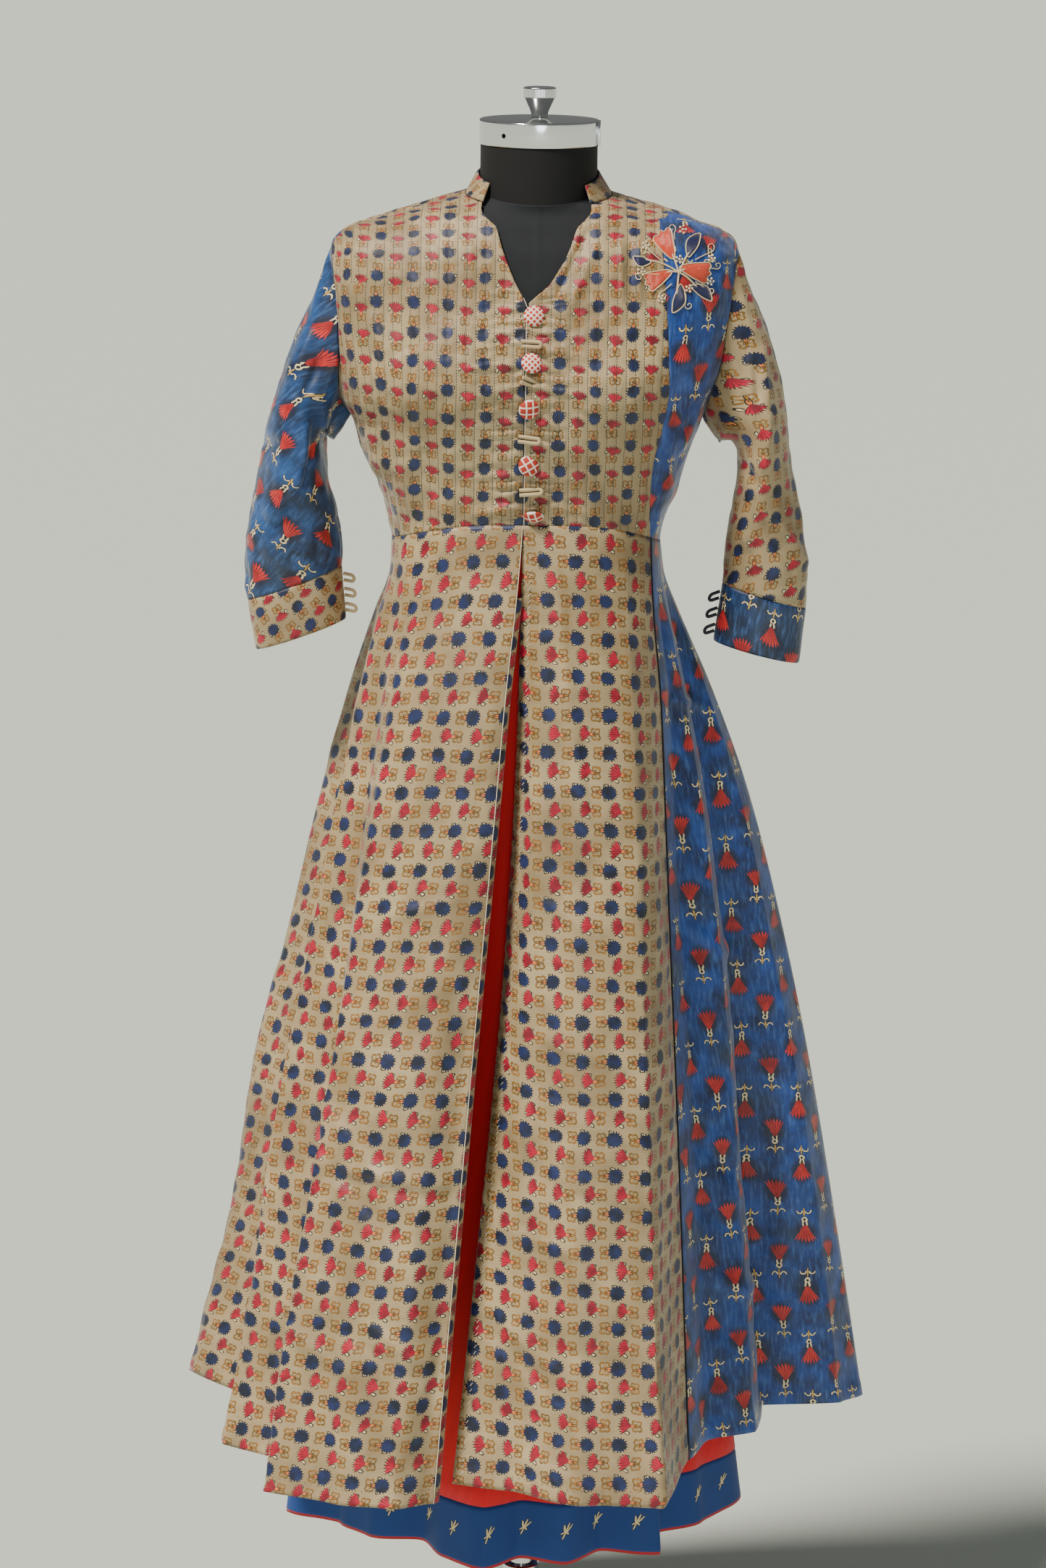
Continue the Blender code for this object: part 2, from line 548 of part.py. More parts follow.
def back_patch():
    """Back of the bodice: waist to shoulders and neck, between the side seams."""
    right = outer_edge(-1, back=True)
    left = outer_edge(1, back=True)
    rows = len(right)
    columns = 2 * BACK_SHOULDER_COLUMNS + BACK_NECK_COLUMNS
    shoulder_share = BACK_SHOULDER_COLUMNS / columns

    def top(u):
        tip, neck = BODICE_ROWS[-1].side_level, NECK_SEAM_LEVEL
        if u < shoulder_share:
            return (-90.0, tip + (neck - tip) * u / shoulder_share)
        if u > 1.0 - shoulder_share:
            return (-270.0, tip + (neck - tip) * (1.0 - u) / shoulder_share)
        return (-90.0 - 180.0 * (u - shoulder_share) / (1.0 - 2.0 * shoulder_share), neck)

    def bottom(u):
        turn = -90.0 - 180.0 * u
        return (turn, waist_level(turn))

    grid = []
    foot, crown = right[0][1], right[-1][1]
    for i in range(rows):
        v = (right[i][1] - foot) / (crown - foot)
        end_left = (left[i][0] - 360.0, left[i][1])
        row = []
        for j in range(columns + 1):
            u = j / columns
            place = []
            for axis in (0, 1):
                across = (1 - u) * right[i][axis] + u * end_left[axis]
                up = (1 - v) * bottom(u)[axis] + v * top(u)[axis]
                corners = (1 - u) * ((1 - v) * bottom(0)[axis] + v * top(0)[axis])
                corners += u * ((1 - v) * bottom(1)[axis] + v * top(1)[axis])
                place.append(across + up - corners)
            row.append(tuple(place))
        grid.append(row)
    return grid


def bodice_wall(name, patch, finish, collection, channels=False):
    """Wall of a bodice piece; stitched channels rise between the lines of stitching."""
    outer, inner = [], []
    for row in patch:
        rises = [CHANNEL_RISE if channels and j % 2 else 0.0 for j in range(len(row))]
        outer.append([gown_point(turn, level, rise) for (turn, level), rise in zip(row, rises)])
        inner.append([gown_point(turn, level, -WALL) for turn, level in row])
    for grid in (outer, inner):
        trim(grid, SEAM_GAP / 2)
    return add_wall(name, outer, inner, finish, collection)


def make_bodice(collection):
    right = front_patch(opening_edge(-1), outer_edge(-1), FRONT_RIGHT_COLUMNS)
    left = front_patch(opening_edge(1), princess_edge(), FRONT_LEFT_COLUMNS)
    side = front_patch(princess_edge(), outer_edge(1), SIDE_PANEL_COLUMNS)
    bodice_wall("bodice_front_right", right, "beige_silk", collection, channels=True)
    bodice_wall("bodice_front_left", left, "beige_silk", collection, channels=True)
    bodice_wall("bodice_side_left", side, "blue_silk", collection)
    bodice_wall("bodice_back", back_patch(), "beige_silk", collection)


def neck_seam_turns():
    """Turns at which the front and back pieces have their points on the neck seam."""
    step = 180.0 / BACK_NECK_COLUMNS
    back = [90.0 + step * j for j in range(BACK_NECK_COLUMNS + 1)]
    left = [COLLAR_TURN_LEFT, HALFWAY_NECK_TURN]
    right = [360.0 - HALFWAY_NECK_TURN, 360.0 + COLLAR_TURN_RIGHT]
    return left + back + right


def make_collar(collection):
    """Low stand collar, open at centre front; its foot follows the neck seam's own points."""
    turns = neck_seam_turns()
    grids = []
    for out in (0.0, -WALL):
        rows = [[], [], []]
        for turn, following in zip(turns, turns[1:] + [None]):
            seats = [(turn, gown_point(turn, NECK_SEAM_LEVEL, out))]
            if following is not None:
                after = gown_point(following, NECK_SEAM_LEVEL, out)
                seats.append(((turn + following) / 2.0, seats[0][1].lerp(after, 0.5)))
            for seat_turn, seat in seats:
                angle = math.radians(seat_turn)
                radius = COLLAR_TOP_RADIUS + out
                height = COLLAR_HEIGHT - COLLAR_BACK_RISE * math.cos(angle)
                top = Vector((radius * math.sin(angle), -radius * math.cos(angle), seat.z + height))
                foot = seat + (top - seat).normalized() * SEAM_GAP
                for row, share in zip(rows, (0.0, 0.5, 1.0)):
                    row.append(foot.lerp(top, share))
        grids.append(rows)
    add_wall("collar", grids[0], grids[1], "beige_silk", collection)


def armhole_ring(side, out=0.0):
    """Points of the armhole seam: up the front from the underarm, down the back."""
    first = next(i for i, row in enumerate(BODICE_ROWS) if row.side_level == UNDERARM_LEVEL)
    front = outer_edge(side)[first:]
    back = outer_edge(side, back=True)[first:]
    places = front + back[-2:0:-1]
    return [gown_point(turn, level, out) for turn, level in places]


def sleeve_grids(side, table):
    """Outer and inner grids of a sleeve, from the armhole to the cuff's hem."""
    head = armhole_ring(side)
    count = len(head)
    centre = sum(head, Vector()) / count
    outer_rows = [head]
    for index, row in enumerate(table):
        outer = Vector((row.outer_x, row.centre_y, row.outer_z))
        inner = Vector((row.inner_x, row.centre_y, row.inner_z))
        middle = (outer + inner) / 2.0
        arm = (outer - inner) / 2.0
        points = []
        for j in range(count):
            angle = 2.0 * math.pi * j / count
            front = Vector((0.0, -row.half_depth * math.sin(angle), 0.0))
            oval = middle - arm * math.cos(angle) + front
            armhole_share = ARMHOLE_SHARES[index] if index < len(ARMHOLE_SHARES) else 0.0
            points.append(oval.lerp(head[j] + middle - centre, armhole_share))
        outer_rows.append(points)
    return outer_rows


def ring_normals(rows, side):
    """Outward normals of a closed tube of points."""
    count = len(rows[0])
    normals = []
    for i, row in enumerate(rows):
        above = rows[max(i - 1, 0)]
        below = rows[min(i + 1, len(rows) - 1)]
        line = []
        for j in range(count):
            round_way = row[(j + 1) % count] - row[j - 1]
            down_way = below[j] - above[j]
            line.append(round_way.cross(down_way).normalized() * -side)
        normals.append(line)
    return normals


def seam_lining(side, normals):
    """Lining points at the armhole, none of them behind the bodice's own edge."""
    outer, inner = armhole_ring(side), armhole_ring(side, -WALL)
    centre = sum(outer, Vector()) / len(outer)
    points = []
    for seam, under, normal in zip(outer, inner, normals):
        across_wall = (seam - under).normalized()
        ahead = centre - seam
        ahead = (ahead - across_wall * ahead.dot(across_wall)).normalized()
        inward = -normal
        inward -= ahead * min(inward.dot(ahead), 0.0)
        points.append(seam + inward.normalized() * WALL)
    return points


def make_sleeve(name, side, table, sleeve_finish, cuff_finish, collection):
    rows = sleeve_grids(side, table)
    normals = ring_normals(rows, side)
    lining = [[p - n * WALL for p, n in zip(row, line)] for row, line in zip(rows, normals)]
    lining[0] = seam_lining(side, normals[0])
    sleeve_outer, sleeve_inner = rows[:-1], lining[:-1]
    sleeve_outer[0] = pulled(rows[0], rows[1], ARMHOLE_GAP)
    sleeve_inner[0] = pulled(lining[0], lining[1], ARMHOLE_GAP)
    for grid in (sleeve_outer, sleeve_inner):
        trim(grid, SEAM_GAP / 2, bottom=False, sides=False)
    add_wall("sleeve_" + name, sleeve_outer, sleeve_inner, sleeve_finish, collection, True)
    make_cuff(name, rows[-2:], normals[-2:], cuff_finish, collection)
    return rows, normals


def make_cuff(name, rows, normals, finish, collection):
    """Band below the sleeve, slit at its inner edge, where its loops are."""
    grids = []
    for out in (0.0, -WALL):
        top, hem = [
            [p + n * (out + flare) for p, n in zip(row, line)]
            for row, line, flare in zip(rows, normals, (0.0, CUFF_FLARE))]
        grid = [[a.lerp(b, t) for a, b in zip(top, hem)] for t in (0.0, 0.5, 1.0)]
        for row in grid:
            row.append(row[0].copy())
        trim(grid, SEAM_GAP / 2, top=False, sides=False)
        for row in grid:
            row[0] = row[0] + (row[1] - row[0]).normalized() * (CUFF_SLIT / 2)
            row[-1] = row[-1] + (row[-2] - row[-1]).normalized() * (CUFF_SLIT / 2)
        grids.append(grid)
    add_wall("cuff_" + name, grids[0], grids[1], finish, collection)


def hang_value(column, drop):
    return table_value(SKIRT_HANG, "drop", column, drop)


def bend(t, crease_start, crease_end):
    """Share of the way from one fold row to the next; a crease leaves at an angle."""
    start_slope, end_slope = CREASE_SLOPE * crease_start, CREASE_SLOPE * crease_end
    rise = (3 * t**2 - 2 * t**3) + start_slope * (t**3 - 2 * t**2 + t)
    return rise + end_slope * (t**3 - t**2)


def skirt_point(place, drop):
    """Outer face of the gown's skirt; place counts fold rows, drop is 0 at the waist."""
    index = min(int(place), len(SKIRT_FOLDS) - 2)
    t = place - index
    a, b = SKIRT_FOLDS[index], SKIRT_FOLDS[index + 1]
    turn = a.waist_turn + (b.waist_turn - a.waist_turn) * t
    if index == 0:
        turn += (turn_at_x(PLACKET_X, WAIST_FRONT) - SKIRT_FOLDS[0].waist_turn) * (1.0 - t)
    if index == len(SKIRT_FOLDS) - 2:
        end_turn = turn_at_x(PLACKET_X, WAIST_FRONT) + 360.0
        turn += (end_turn - SKIRT_FOLDS[-1].waist_turn) * t
    waist = gown_point(turn, waist_level(turn))
    share = bend(t, a.crease, b.crease)
    turn_a, turn_b = math.atan2(a.x, -a.y), math.atan2(b.x, -b.y)
    if turn_b < turn_a - 1.0:
        turn_b += 2.0 * math.pi
    hem_turn = turn_a + (turn_b - turn_a) * t
    reach_a, reach_b = math.hypot(a.x, a.y), math.hypot(b.x, b.y)
    reach = reach_a + (reach_b - reach_a) * share
    mean = reach_a + (reach_b - reach_a) * t
    fold_growth = max(0.0, (drop - FOLD_START) / (1.0 - FOLD_START))
    reach = mean + (reach - mean) * fold_growth
    hem = Vector((reach * math.sin(hem_turn), -reach * math.cos(hem_turn), a.z + (b.z - a.z) * share))
    swing = hang_value(a.hang, drop) * (1.0 - t) + hang_value(b.hang, drop) * t
    point = waist.lerp(hem, swing)
    point.z = waist.z + (hem.z - waist.z) * drop
    return point


def level_normals(grid, closed_round=False):
    """Outward normals that lie flat, so that neighbouring pieces share them."""
    normals = []
    for row in grid:
        count = len(row)
        line = []
        for j in range(count):
            if closed_round:
                along = row[(j + 1) % count] - row[j - 1]
            else:
                along = row[min(j + 1, count - 1)] - row[max(j - 1, 0)]
            line.append(Vector((along.y, -along.x, 0.0)).normalized())
        normals.append(line)
    return normals


def fold_index(name):
    return next(i for i, fold in enumerate(SKIRT_FOLDS) if fold.name == name)


def make_skirt(collection):
    """Whole skirt ring first, then cut into its panels at the seams."""
    count = (len(SKIRT_FOLDS) - 1) * STEPS_PER_FOLD
    drops = [row.drop for row in SKIRT_HANG]
    ring = [[skirt_point(j / STEPS_PER_FOLD, drop) for j in range(count + 1)] for drop in drops]
    normals = level_normals(ring)
    lining = [[p - n * WALL for p, n in zip(row, line)] for row, line in zip(ring, normals)]
    panels = [
        ("skirt_front_left", "slit_left_edge", "blue_seam", "beige_silk"),
        ("skirt_side_left", "blue_seam", "back_left_seam", "blue_silk"),
        ("skirt_back_left", "back_left_seam", "centre_back_seam", "beige_silk"),
        ("skirt_back_right", "centre_back_seam", "side_seam", "beige_silk"),
        ("skirt_front_right", "side_seam", "slit_right_edge", "beige_silk"),
    ]
    for name, start, end, finish in panels:
        first, last = fold_index(start) * STEPS_PER_FOLD, fold_index(end) * STEPS_PER_FOLD
        grids = [[row[first:last + 1] for row in grid[::-1]] for grid in (ring, lining)]
        for grid in grids:
            trim(grid, SEAM_GAP / 2, bottom=False)
            grid[-1] = [point - Vector((0.0, 0.0, SEAM_GAP / 2)) for point in grid[-1]]
        add_wall(name, grids[0], grids[1], finish, collection)


def inner_waist_point(turn):
    """Waist of the underskirt, just inside the gown's waist seam."""
    return gown_point(turn, INNER_LEVELS[0], -WALL - WAIST_LAYER_GAP)


def underskirt_point(place, height):
    index = min(int(place), len(INNER_FOLDS) - 2)
    t = place - index
    a, b = INNER_FOLDS[index], INNER_FOLDS[index + 1]
    share = bend(t, a.crease, b.crease)
    turn = a.turn + (b.turn - a.turn) * t
    reach = a.reach + (b.reach - a.reach) * share
    hem_z = a.z + (b.z - a.z) * share
    angle = math.radians(turn)
    hem = Vector((reach * math.sin(angle), -reach * math.cos(angle), hem_z))
    waist = inner_waist_point(turn)
    drop = (waist.z - height) / (waist.z - hem_z)
    point = waist.lerp(hem, drop**INNER_HANG_POWER)
    if drop > 0.0 and height > FORM_BOTTOM:
        hanging = math.hypot(point.x, point.y)
        hip = body_point(math.degrees(math.atan2(point.x, -point.y)), height)
        held = math.hypot(hip.x, hip.y) + HIP_CLEARANCE
        reach = (hanging**HIP_BLEND + held**HIP_BLEND) ** (1.0 / HIP_BLEND)
        point.x *= reach / hanging
        point.y *= reach / hanging
    point.z = height
    return point


def make_underskirt(collection):
    """Red underskirt and its border band, two closed rings."""
    count = (len(INNER_FOLDS) - 1) * INNER_STEPS_PER_FOLD
    hem_height = min(fold.z for fold in INNER_FOLDS)
    seam_height = hem_height + BORDER_DEPTH
    levels = INNER_LEVELS + (seam_height,)
    red = [[underskirt_point(j / INNER_STEPS_PER_FOLD, z) for j in range(count)] for z in levels]
    border = []
    for step in range(BORDER_ROWS + 1):
        line = []
        for j in range(count):
            place = j / INNER_STEPS_PER_FOLD
            top = underskirt_point(place, seam_height)
            fold = INNER_FOLDS[int(place)]
            low = underskirt_point(place, fold.z)
            line.append(top.lerp(low, step / BORDER_ROWS))
        border.append(line)
    parts = (("underskirt", red, "red_cotton"), ("underskirt_border", border, "border_cotton"))
    for name, ring, finish in parts:
        normals = level_normals(ring, closed_round=True)
        lining = [[p - n * WALL for p, n in zip(row, line)] for row, line in zip(ring, normals)]
        gap = Vector((0.0, 0.0, SEAM_GAP / 2))
        for grid in (ring, lining):
            if name == "underskirt":
                grid[-1] = [point + gap for point in grid[-1]]
            else:
                grid[0] = [point - gap for point in grid[0]]
        add_wall(name, ring[::-1], lining[::-1], finish, collection, True)


def lathe(name, profile, finish, collection, sharp_angle=35):
    """Turned solid from a profile that runs from the axis, down its outer side, back to it."""
    data = bpy.data.meshes.new(name)
    mesh = bmesh.new()
    verts = [mesh.verts.new((radius, 0.0, height)) for radius, height in profile]
    for a, b in zip(verts, verts[1:]):
        mesh.edges.new((a, b))
    if profile[0][0] > 1e-6:
        mesh.edges.new((verts[-1], verts[0]))
    mesh.to_mesh(data)
    mesh.free()
    piece = add_piece(name, data, finish, collection)
    screw = piece.modifiers.new("turn", "SCREW")
    screw.axis = "Z"
    screw.steps = ROUND_STEPS
    screw.render_steps = ROUND_STEPS
    screw.use_merge_vertices = True
    screw.merge_threshold = 0.0001
    screw.use_smooth_shade = True
    return piece


def make_torso(collection):
    """Limbless torso with a socket for the pole, closed at the neck and underside."""
    columns = TORSO_COLUMNS
    mesh = bmesh.new()
    turns = [360.0 * j / columns for j in range(columns)]
    rings = []
    for row in FORM_SECTIONS:
        points = [body_point(turn, row.level) for turn in turns]
        insets = [surface_normal(body_point, turn, row.level) * FORM_INSET for turn in turns]
        if FORM_BOTTOM < row.level < FORM_TOP_LEVEL:
            points = [point - inset for point, inset in zip(points, insets)]
        rings.append([mesh.verts.new(point) for point in points])
    socket_top = FORM_TOP_LEVEL - SOCKET_DEPTH
    mouth, crown = [], []
    for turn in turns:
        angle = math.radians(turn)
        x, y = SOCKET_RADIUS * math.sin(angle), -SOCKET_RADIUS * math.cos(angle)
        mouth.append(mesh.verts.new((x, y, FORM_BOTTOM)))
        crown.append(mesh.verts.new((x, y, socket_top)))
    apex = mesh.verts.new((0.0, 0.0, socket_top))
    peak = mesh.verts.new((0.0, 0.0, FORM_TOP_LEVEL))
    for j in range(columns):
        k = (j + 1) % columns
        for low, high in zip(rings, rings[1:]):
            mesh.faces.new((low[j], low[k], high[k], high[j]))
        mesh.faces.new((rings[-1][j], rings[-1][k], peak))
        mesh.faces.new((mouth[j], mouth[k], rings[0][k], rings[0][j]))
        mesh.faces.new((crown[j], crown[k], mouth[k], mouth[j]))
        mesh.faces.new((apex, crown[k], crown[j]))
    bmesh.ops.triangulate(mesh, faces=mesh.faces[:])
    bmesh.ops.recalc_face_normals(mesh, faces=mesh.faces[:])
    data = bpy.data.meshes.new("form_torso")
    mesh.to_mesh(data)
    mesh.free()
    add_piece("form_torso", data, "form_jersey", collection, 50)


def make_neck(collection):
    """Neck block: a round drum whose foot leans with the neckline."""
    foot = FORM_TOP_LEVEL + SEAM_GAP
    height = NECK_TOP - foot
    mesh = bmesh.new()
    bmesh.ops.create_cone(
        mesh, cap_ends=True, segments=ROUND_STEPS, radius1=NECK_RADIUS, radius2=NECK_RADIUS,
        depth=height, matrix=Matrix.Translation((0.0, 0.0, foot + height / 2.0)))
    for vert in mesh.verts:
        if vert.co.z < foot + height / 2.0:
            vert.co.z += FORM_SECTIONS[-1].lean * vert.co.y / NECK_RADIUS
    data = bpy.data.meshes.new("form_neck")
    mesh.to_mesh(data)
    mesh.free()
    add_piece("form_neck", data, "neck_cover", collection, 50)


def make_fittings(collection):
    """Neck cap, finial knob, pole, clamp ring, lower tube and base plate."""
    cap_low = NECK_TOP + SEAM_GAP
    cap_top = cap_low + CAP_HEIGHT
    cap_rim = METAL_EDGE * 0.4
    lathe("neck_cap", [
        (0.0, cap_top + CAP_DOME), (CAP_RADIUS * 0.6, cap_top + CAP_DOME * 0.6),
        (CAP_RADIUS - METAL_EDGE, cap_top), (CAP_RADIUS, cap_top - METAL_EDGE),
        (CAP_RADIUS, cap_low + cap_rim), (CAP_RADIUS - cap_rim, cap_low), (0.0, cap_low)],
        "polished_metal", collection)
    seat = cap_top + CAP_DOME + SEAM_GAP
    knob_top = seat + KNOB_HEIGHT
    band_low = knob_top - KNOB_BAND
    cone_foot = seat + KNOB_CONE_FOOT
    lathe("finial_knob", [
        (0.0, knob_top), (KNOB_RADIUS - METAL_EDGE, knob_top), (KNOB_RADIUS, knob_top - METAL_EDGE),
        (KNOB_RADIUS, band_low), (KNOB_RADIUS - METAL_EDGE, band_low - METAL_EDGE),
        (KNOB_NECK + METAL_EDGE, cone_foot), (KNOB_NECK, cone_foot - METAL_EDGE / 2),
        (KNOB_NECK, seat), (0.0, seat)], "polished_metal", collection)
    socket_end = FORM_TOP_LEVEL - SOCKET_DEPTH - SEAM_GAP
    lathe("pole", [
        (0.0, socket_end), (POLE_RADIUS, socket_end), (POLE_RADIUS, POLE_FOOT), (0.0, POLE_FOOT)],
        "polished_metal", collection)
    tube_foot = BASE_THICKNESS + BOSS_RISE + SEAM_GAP
    lathe("lower_tube", [
        (LOWER_TUBE_RADIUS, LOWER_TUBE_TOP), (LOWER_TUBE_RADIUS, tube_foot),
        (LOWER_TUBE_BORE, tube_foot), (LOWER_TUBE_BORE, LOWER_TUBE_TOP)],
        "polished_metal", collection)
    ring_low = LOWER_TUBE_TOP + SEAM_GAP
    ring_top = ring_low + RING_HEIGHT
    lathe("clamp_ring", [
        (RING_RADIUS - RING_EDGE, ring_top), (RING_RADIUS, ring_top - RING_EDGE),
        (RING_RADIUS, ring_low + RING_EDGE), (RING_RADIUS - RING_EDGE, ring_low),
        (LOWER_TUBE_BORE, ring_low), (LOWER_TUBE_BORE, ring_top)], "polished_metal", collection)
    boss_top = BASE_THICKNESS + BOSS_RISE
    lathe("base_plate", [
        (0.0, boss_top), (BOSS_RADIUS - BOSS_EDGE, boss_top), (BOSS_RADIUS, boss_top - BOSS_EDGE),
        (BOSS_RADIUS, BASE_THICKNESS),
        (BASE_RADIUS - PLATE_EDGE, BASE_THICKNESS), (BASE_RADIUS, BASE_THICKNESS - PLATE_EDGE),
        (BASE_RADIUS, 0.0), (0.0, 0.0)], "dark_metal", collection)


def front_place(x, z):
    """Turn and level on the bodice front for a place seen from the front."""
    level = z
    for _ in range(PLACE_STEPS):
        turn = turn_at_x(x, level)
        level += z - gown_point(turn, level).z
    return turn, level


def surface_frame(x, z, out):
    """Place, right, up and outward directions on the bodice front."""
    turn, level = front_place(x, z)
    point = gown_point(turn, level, out)
    normal = surface_normal(gown_rest, turn, level)
    right = Vector((0.0, 0.0, 1.0)).cross(-normal)
    right.normalize()
    if right.x < 0:
        right.negate()
    up = normal.cross(right).normalized()
    if up.z < 0:
        up.negate()
    return point, right, up, normal


def make_buttons(collection):
    """Cloth-covered domed buttons, standing on the front edge."""
    for number, place in enumerate(BUTTONS, start=1):
        origin, right, _, normal = surface_frame(place.x, place.z, CHANNEL_RISE + LAYER_GAP)
        mesh = bmesh.new()
        outline = [origin + right * BUTTON_RADIUS * reach + normal * BUTTON_RISE * rise
                   for reach, rise in BUTTON_PROFILE]
        verts = [mesh.verts.new(point) for point in outline]
        edges = [mesh.edges.new(pair) for pair in zip(verts, verts[1:])]
        bmesh.ops.spin(
            mesh, geom=verts + edges, cent=origin, axis=normal, angle=2.0 * math.pi,
            steps=BUTTON_STEPS, use_merge=True)
        bmesh.ops.remove_doubles(mesh, verts=mesh.verts[:], dist=0.00002)
        bmesh.ops.recalc_face_normals(mesh, faces=mesh.faces[:])
        data = bpy.data.meshes.new("button")
        mesh.to_mesh(data)
        mesh.free()
        add_piece(f"button_{number}", data, "button_cloth", collection, 60)


def loop_path(origin, along, across, length, half_width):
    """Open hairpin: out along one side, round the end and back."""
    start = origin - along * (length / 2.0)
    bend_centre = origin + along * (length / 2.0 - half_width)
    points = [start + across * half_width]
    for step in range(LOOP_BEND_STEPS + 1):
        angle = math.pi / 2.0 - math.pi * step / LOOP_BEND_STEPS
        points.append(bend_centre + along * half_width * math.cos(angle) + across * half_width * math.sin(angle))
    points.append(start - across * half_width)
    return points


def cord(name, points, radius, finish, collection):
    data = bpy.data.curves.new(name, "CURVE")
    data.dimensions = "3D"
    data.bevel_depth = radius
    data.bevel_resolution = 1
    data.use_fill_caps = True
    spline = data.splines.new("POLY")
    spline.points.add(len(points) - 1)
    for place, point in zip(spline.points, points):
        place.co = (*point, 1.0)
    return add_piece(name, data, finish, collection)


def make_front_loops(collection):
    for number, loop in enumerate(FRONT_LOOPS, start=1):
        out = CHANNEL_RISE + LAYER_GAP + LOOP_CORD_RADIUS
        origin, right, up, _ = surface_frame(loop.x, loop.z, out)
        slope = math.radians(loop.slope)
        along = right * math.cos(slope) + up * math.sin(slope)
        across = up * math.cos(slope) - right * math.sin(slope)
        points = loop_path(origin, along, across, loop.length, LOOP_HALF_WIDTH)
        cord(f"front_loop_{number}", points, LOOP_CORD_RADIUS, "loop_beige", collection)


def make_cuff_loops(name, rows, normals, finish, collection):
    """Small hairpin loops that stand out from the cuff's inner edge."""
    top, hem = rows[-2][0], rows[-1][0]
    outward = (normals[-2][0] + normals[-1][0]).normalized()
    down = (hem - top).normalized()
    for number, share in enumerate(CUFF_LOOP_PLACES, start=1):
        seat = top.lerp(hem, share)
        start = seat + outward * CUFF_LOOP_SEAT
        origin = start + outward * (CUFF_LOOP_REACH / 2.0)
        points = loop_path(origin, outward, down, CUFF_LOOP_REACH, CUFF_LOOP_SPREAD)
        cord(f"cuff_loop_{name}_{number}", points, CUFF_LOOP_CORD, finish, collection)


def motif_outline(motif):
    """Bell flowers widen to three lobes; leaves are pointed at both ends."""
    heading = math.radians(motif.heading)
    along = (math.cos(heading), math.sin(heading))
    across = (-along[1], along[0])
    if motif.name.startswith("bell"):
        shape = BELL_OUTLINE
    else:
        shape = LEAF_OUTLINE
    other = [(u, -v) for u, v in shape[::-1] if v != 0.0]
    outline = []
    for u, v in shape + other:
        du, dv = u * motif.length, v * motif.width
        outline.append((motif.x + along[0] * du + across[0] * dv, motif.z + along[1] * du + across[1] * dv))
    return outline


def make_spray(collection):
    """Embroidered flowers and leaves, each a low pad that follows the shoulder."""
    for motif in SPRAY:
        outline = motif_outline(motif)
        middle = (sum(x for x, _ in outline) / len(outline), sum(z for _, z in outline) / len(outline))
        mesh = bmesh.new()
        layers = []
        low_out = motif.seat
        edge_out = low_out + SPRAY_THICKNESS * SPRAY_EDGE_SHARE
        top_out = low_out + SPRAY_THICKNESS
        for shrink, out in ((1.0, low_out), (1.0, edge_out), (SPRAY_SHRINK, top_out)):
            ring = []
            for x, z in outline:
                px = middle[0] + (x - middle[0]) * shrink
                pz = middle[1] + (z - middle[1]) * shrink
                turn, level = front_place(px, pz)
                ring.append(mesh.verts.new(gown_point(turn, level, out)))
            layers.append(ring)
        ends = []
        for out in (low_out, low_out + SPRAY_THICKNESS * SPRAY_CROWN_SHARE):
            turn, level = front_place(*middle)
            ends.append(mesh.verts.new(gown_point(turn, level, out)))
        count = len(outline)
        for j in range(count):
            k = (j + 1) % count
            for low, high in zip(layers, layers[1:]):
                mesh.faces.new((low[j], low[k], high[k], high[j]))
            mesh.faces.new((layers[0][k], layers[0][j], ends[0]))
            mesh.faces.new((layers[-1][j], layers[-1][k], ends[1]))
        bmesh.ops.recalc_face_normals(mesh, faces=mesh.faces[:])
        data = bpy.data.meshes.new(motif.name)
        mesh.to_mesh(data)
        mesh.free()
        add_piece("spray_" + motif.name, data, "spray_thread", collection, 40)


def main():
    clear_scene()
    collection = bpy.data.collections.new("anarkali_gown_on_dress_form")
    bpy.context.scene.collection.children.link(collection)
    make_torso(collection)
    make_neck(collection)
    make_fittings(collection)
    make_bodice(collection)
    make_collar(collection)
    right = make_sleeve("right", -1, SLEEVE_RIGHT, "blue_silk", "beige_silk", collection)
    left = make_sleeve("left", 1, SLEEVE_LEFT, "beige_silk", "blue_silk", collection)
    make_cuff_loops("right", *right, "loop_beige", collection)
    make_cuff_loops("left", *left, "loop_dark", collection)
    make_skirt(collection)
    make_underskirt(collection)
    make_buttons(collection)
    make_front_loops(collection)
    make_spray(collection)


main()
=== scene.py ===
"""Looks of the anarkali gown on its dress form: printed cloth, stitching, trims and metal.

Metres, +Z up, the front faces -Y, +X is the wearer's left. "Turn" is the angle round
the body in degrees: 0 at centre front, 90 at the wearer's left side, 180 at centre back.
"Level" is a height on the body, before the neckline's forward lean.
"""

import math
from collections import namedtuple
from functools import lru_cache

import bmesh
import bpy
import numpy as np
from mathutils import Matrix, Vector, noise
from mathutils.bvhtree import BVHTree


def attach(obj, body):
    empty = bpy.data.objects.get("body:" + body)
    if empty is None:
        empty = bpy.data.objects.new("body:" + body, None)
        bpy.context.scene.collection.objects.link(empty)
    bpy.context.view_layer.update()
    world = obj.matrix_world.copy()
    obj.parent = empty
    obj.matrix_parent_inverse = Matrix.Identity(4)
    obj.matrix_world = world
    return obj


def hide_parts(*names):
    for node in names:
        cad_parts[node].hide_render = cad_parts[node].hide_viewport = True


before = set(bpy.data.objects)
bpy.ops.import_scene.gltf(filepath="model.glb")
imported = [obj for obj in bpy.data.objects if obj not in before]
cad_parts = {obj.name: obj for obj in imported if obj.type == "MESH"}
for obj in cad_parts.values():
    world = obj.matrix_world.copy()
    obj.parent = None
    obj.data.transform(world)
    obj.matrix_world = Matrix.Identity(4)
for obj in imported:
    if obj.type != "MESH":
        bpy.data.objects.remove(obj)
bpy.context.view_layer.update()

# Cloth
WALL = 0.0014
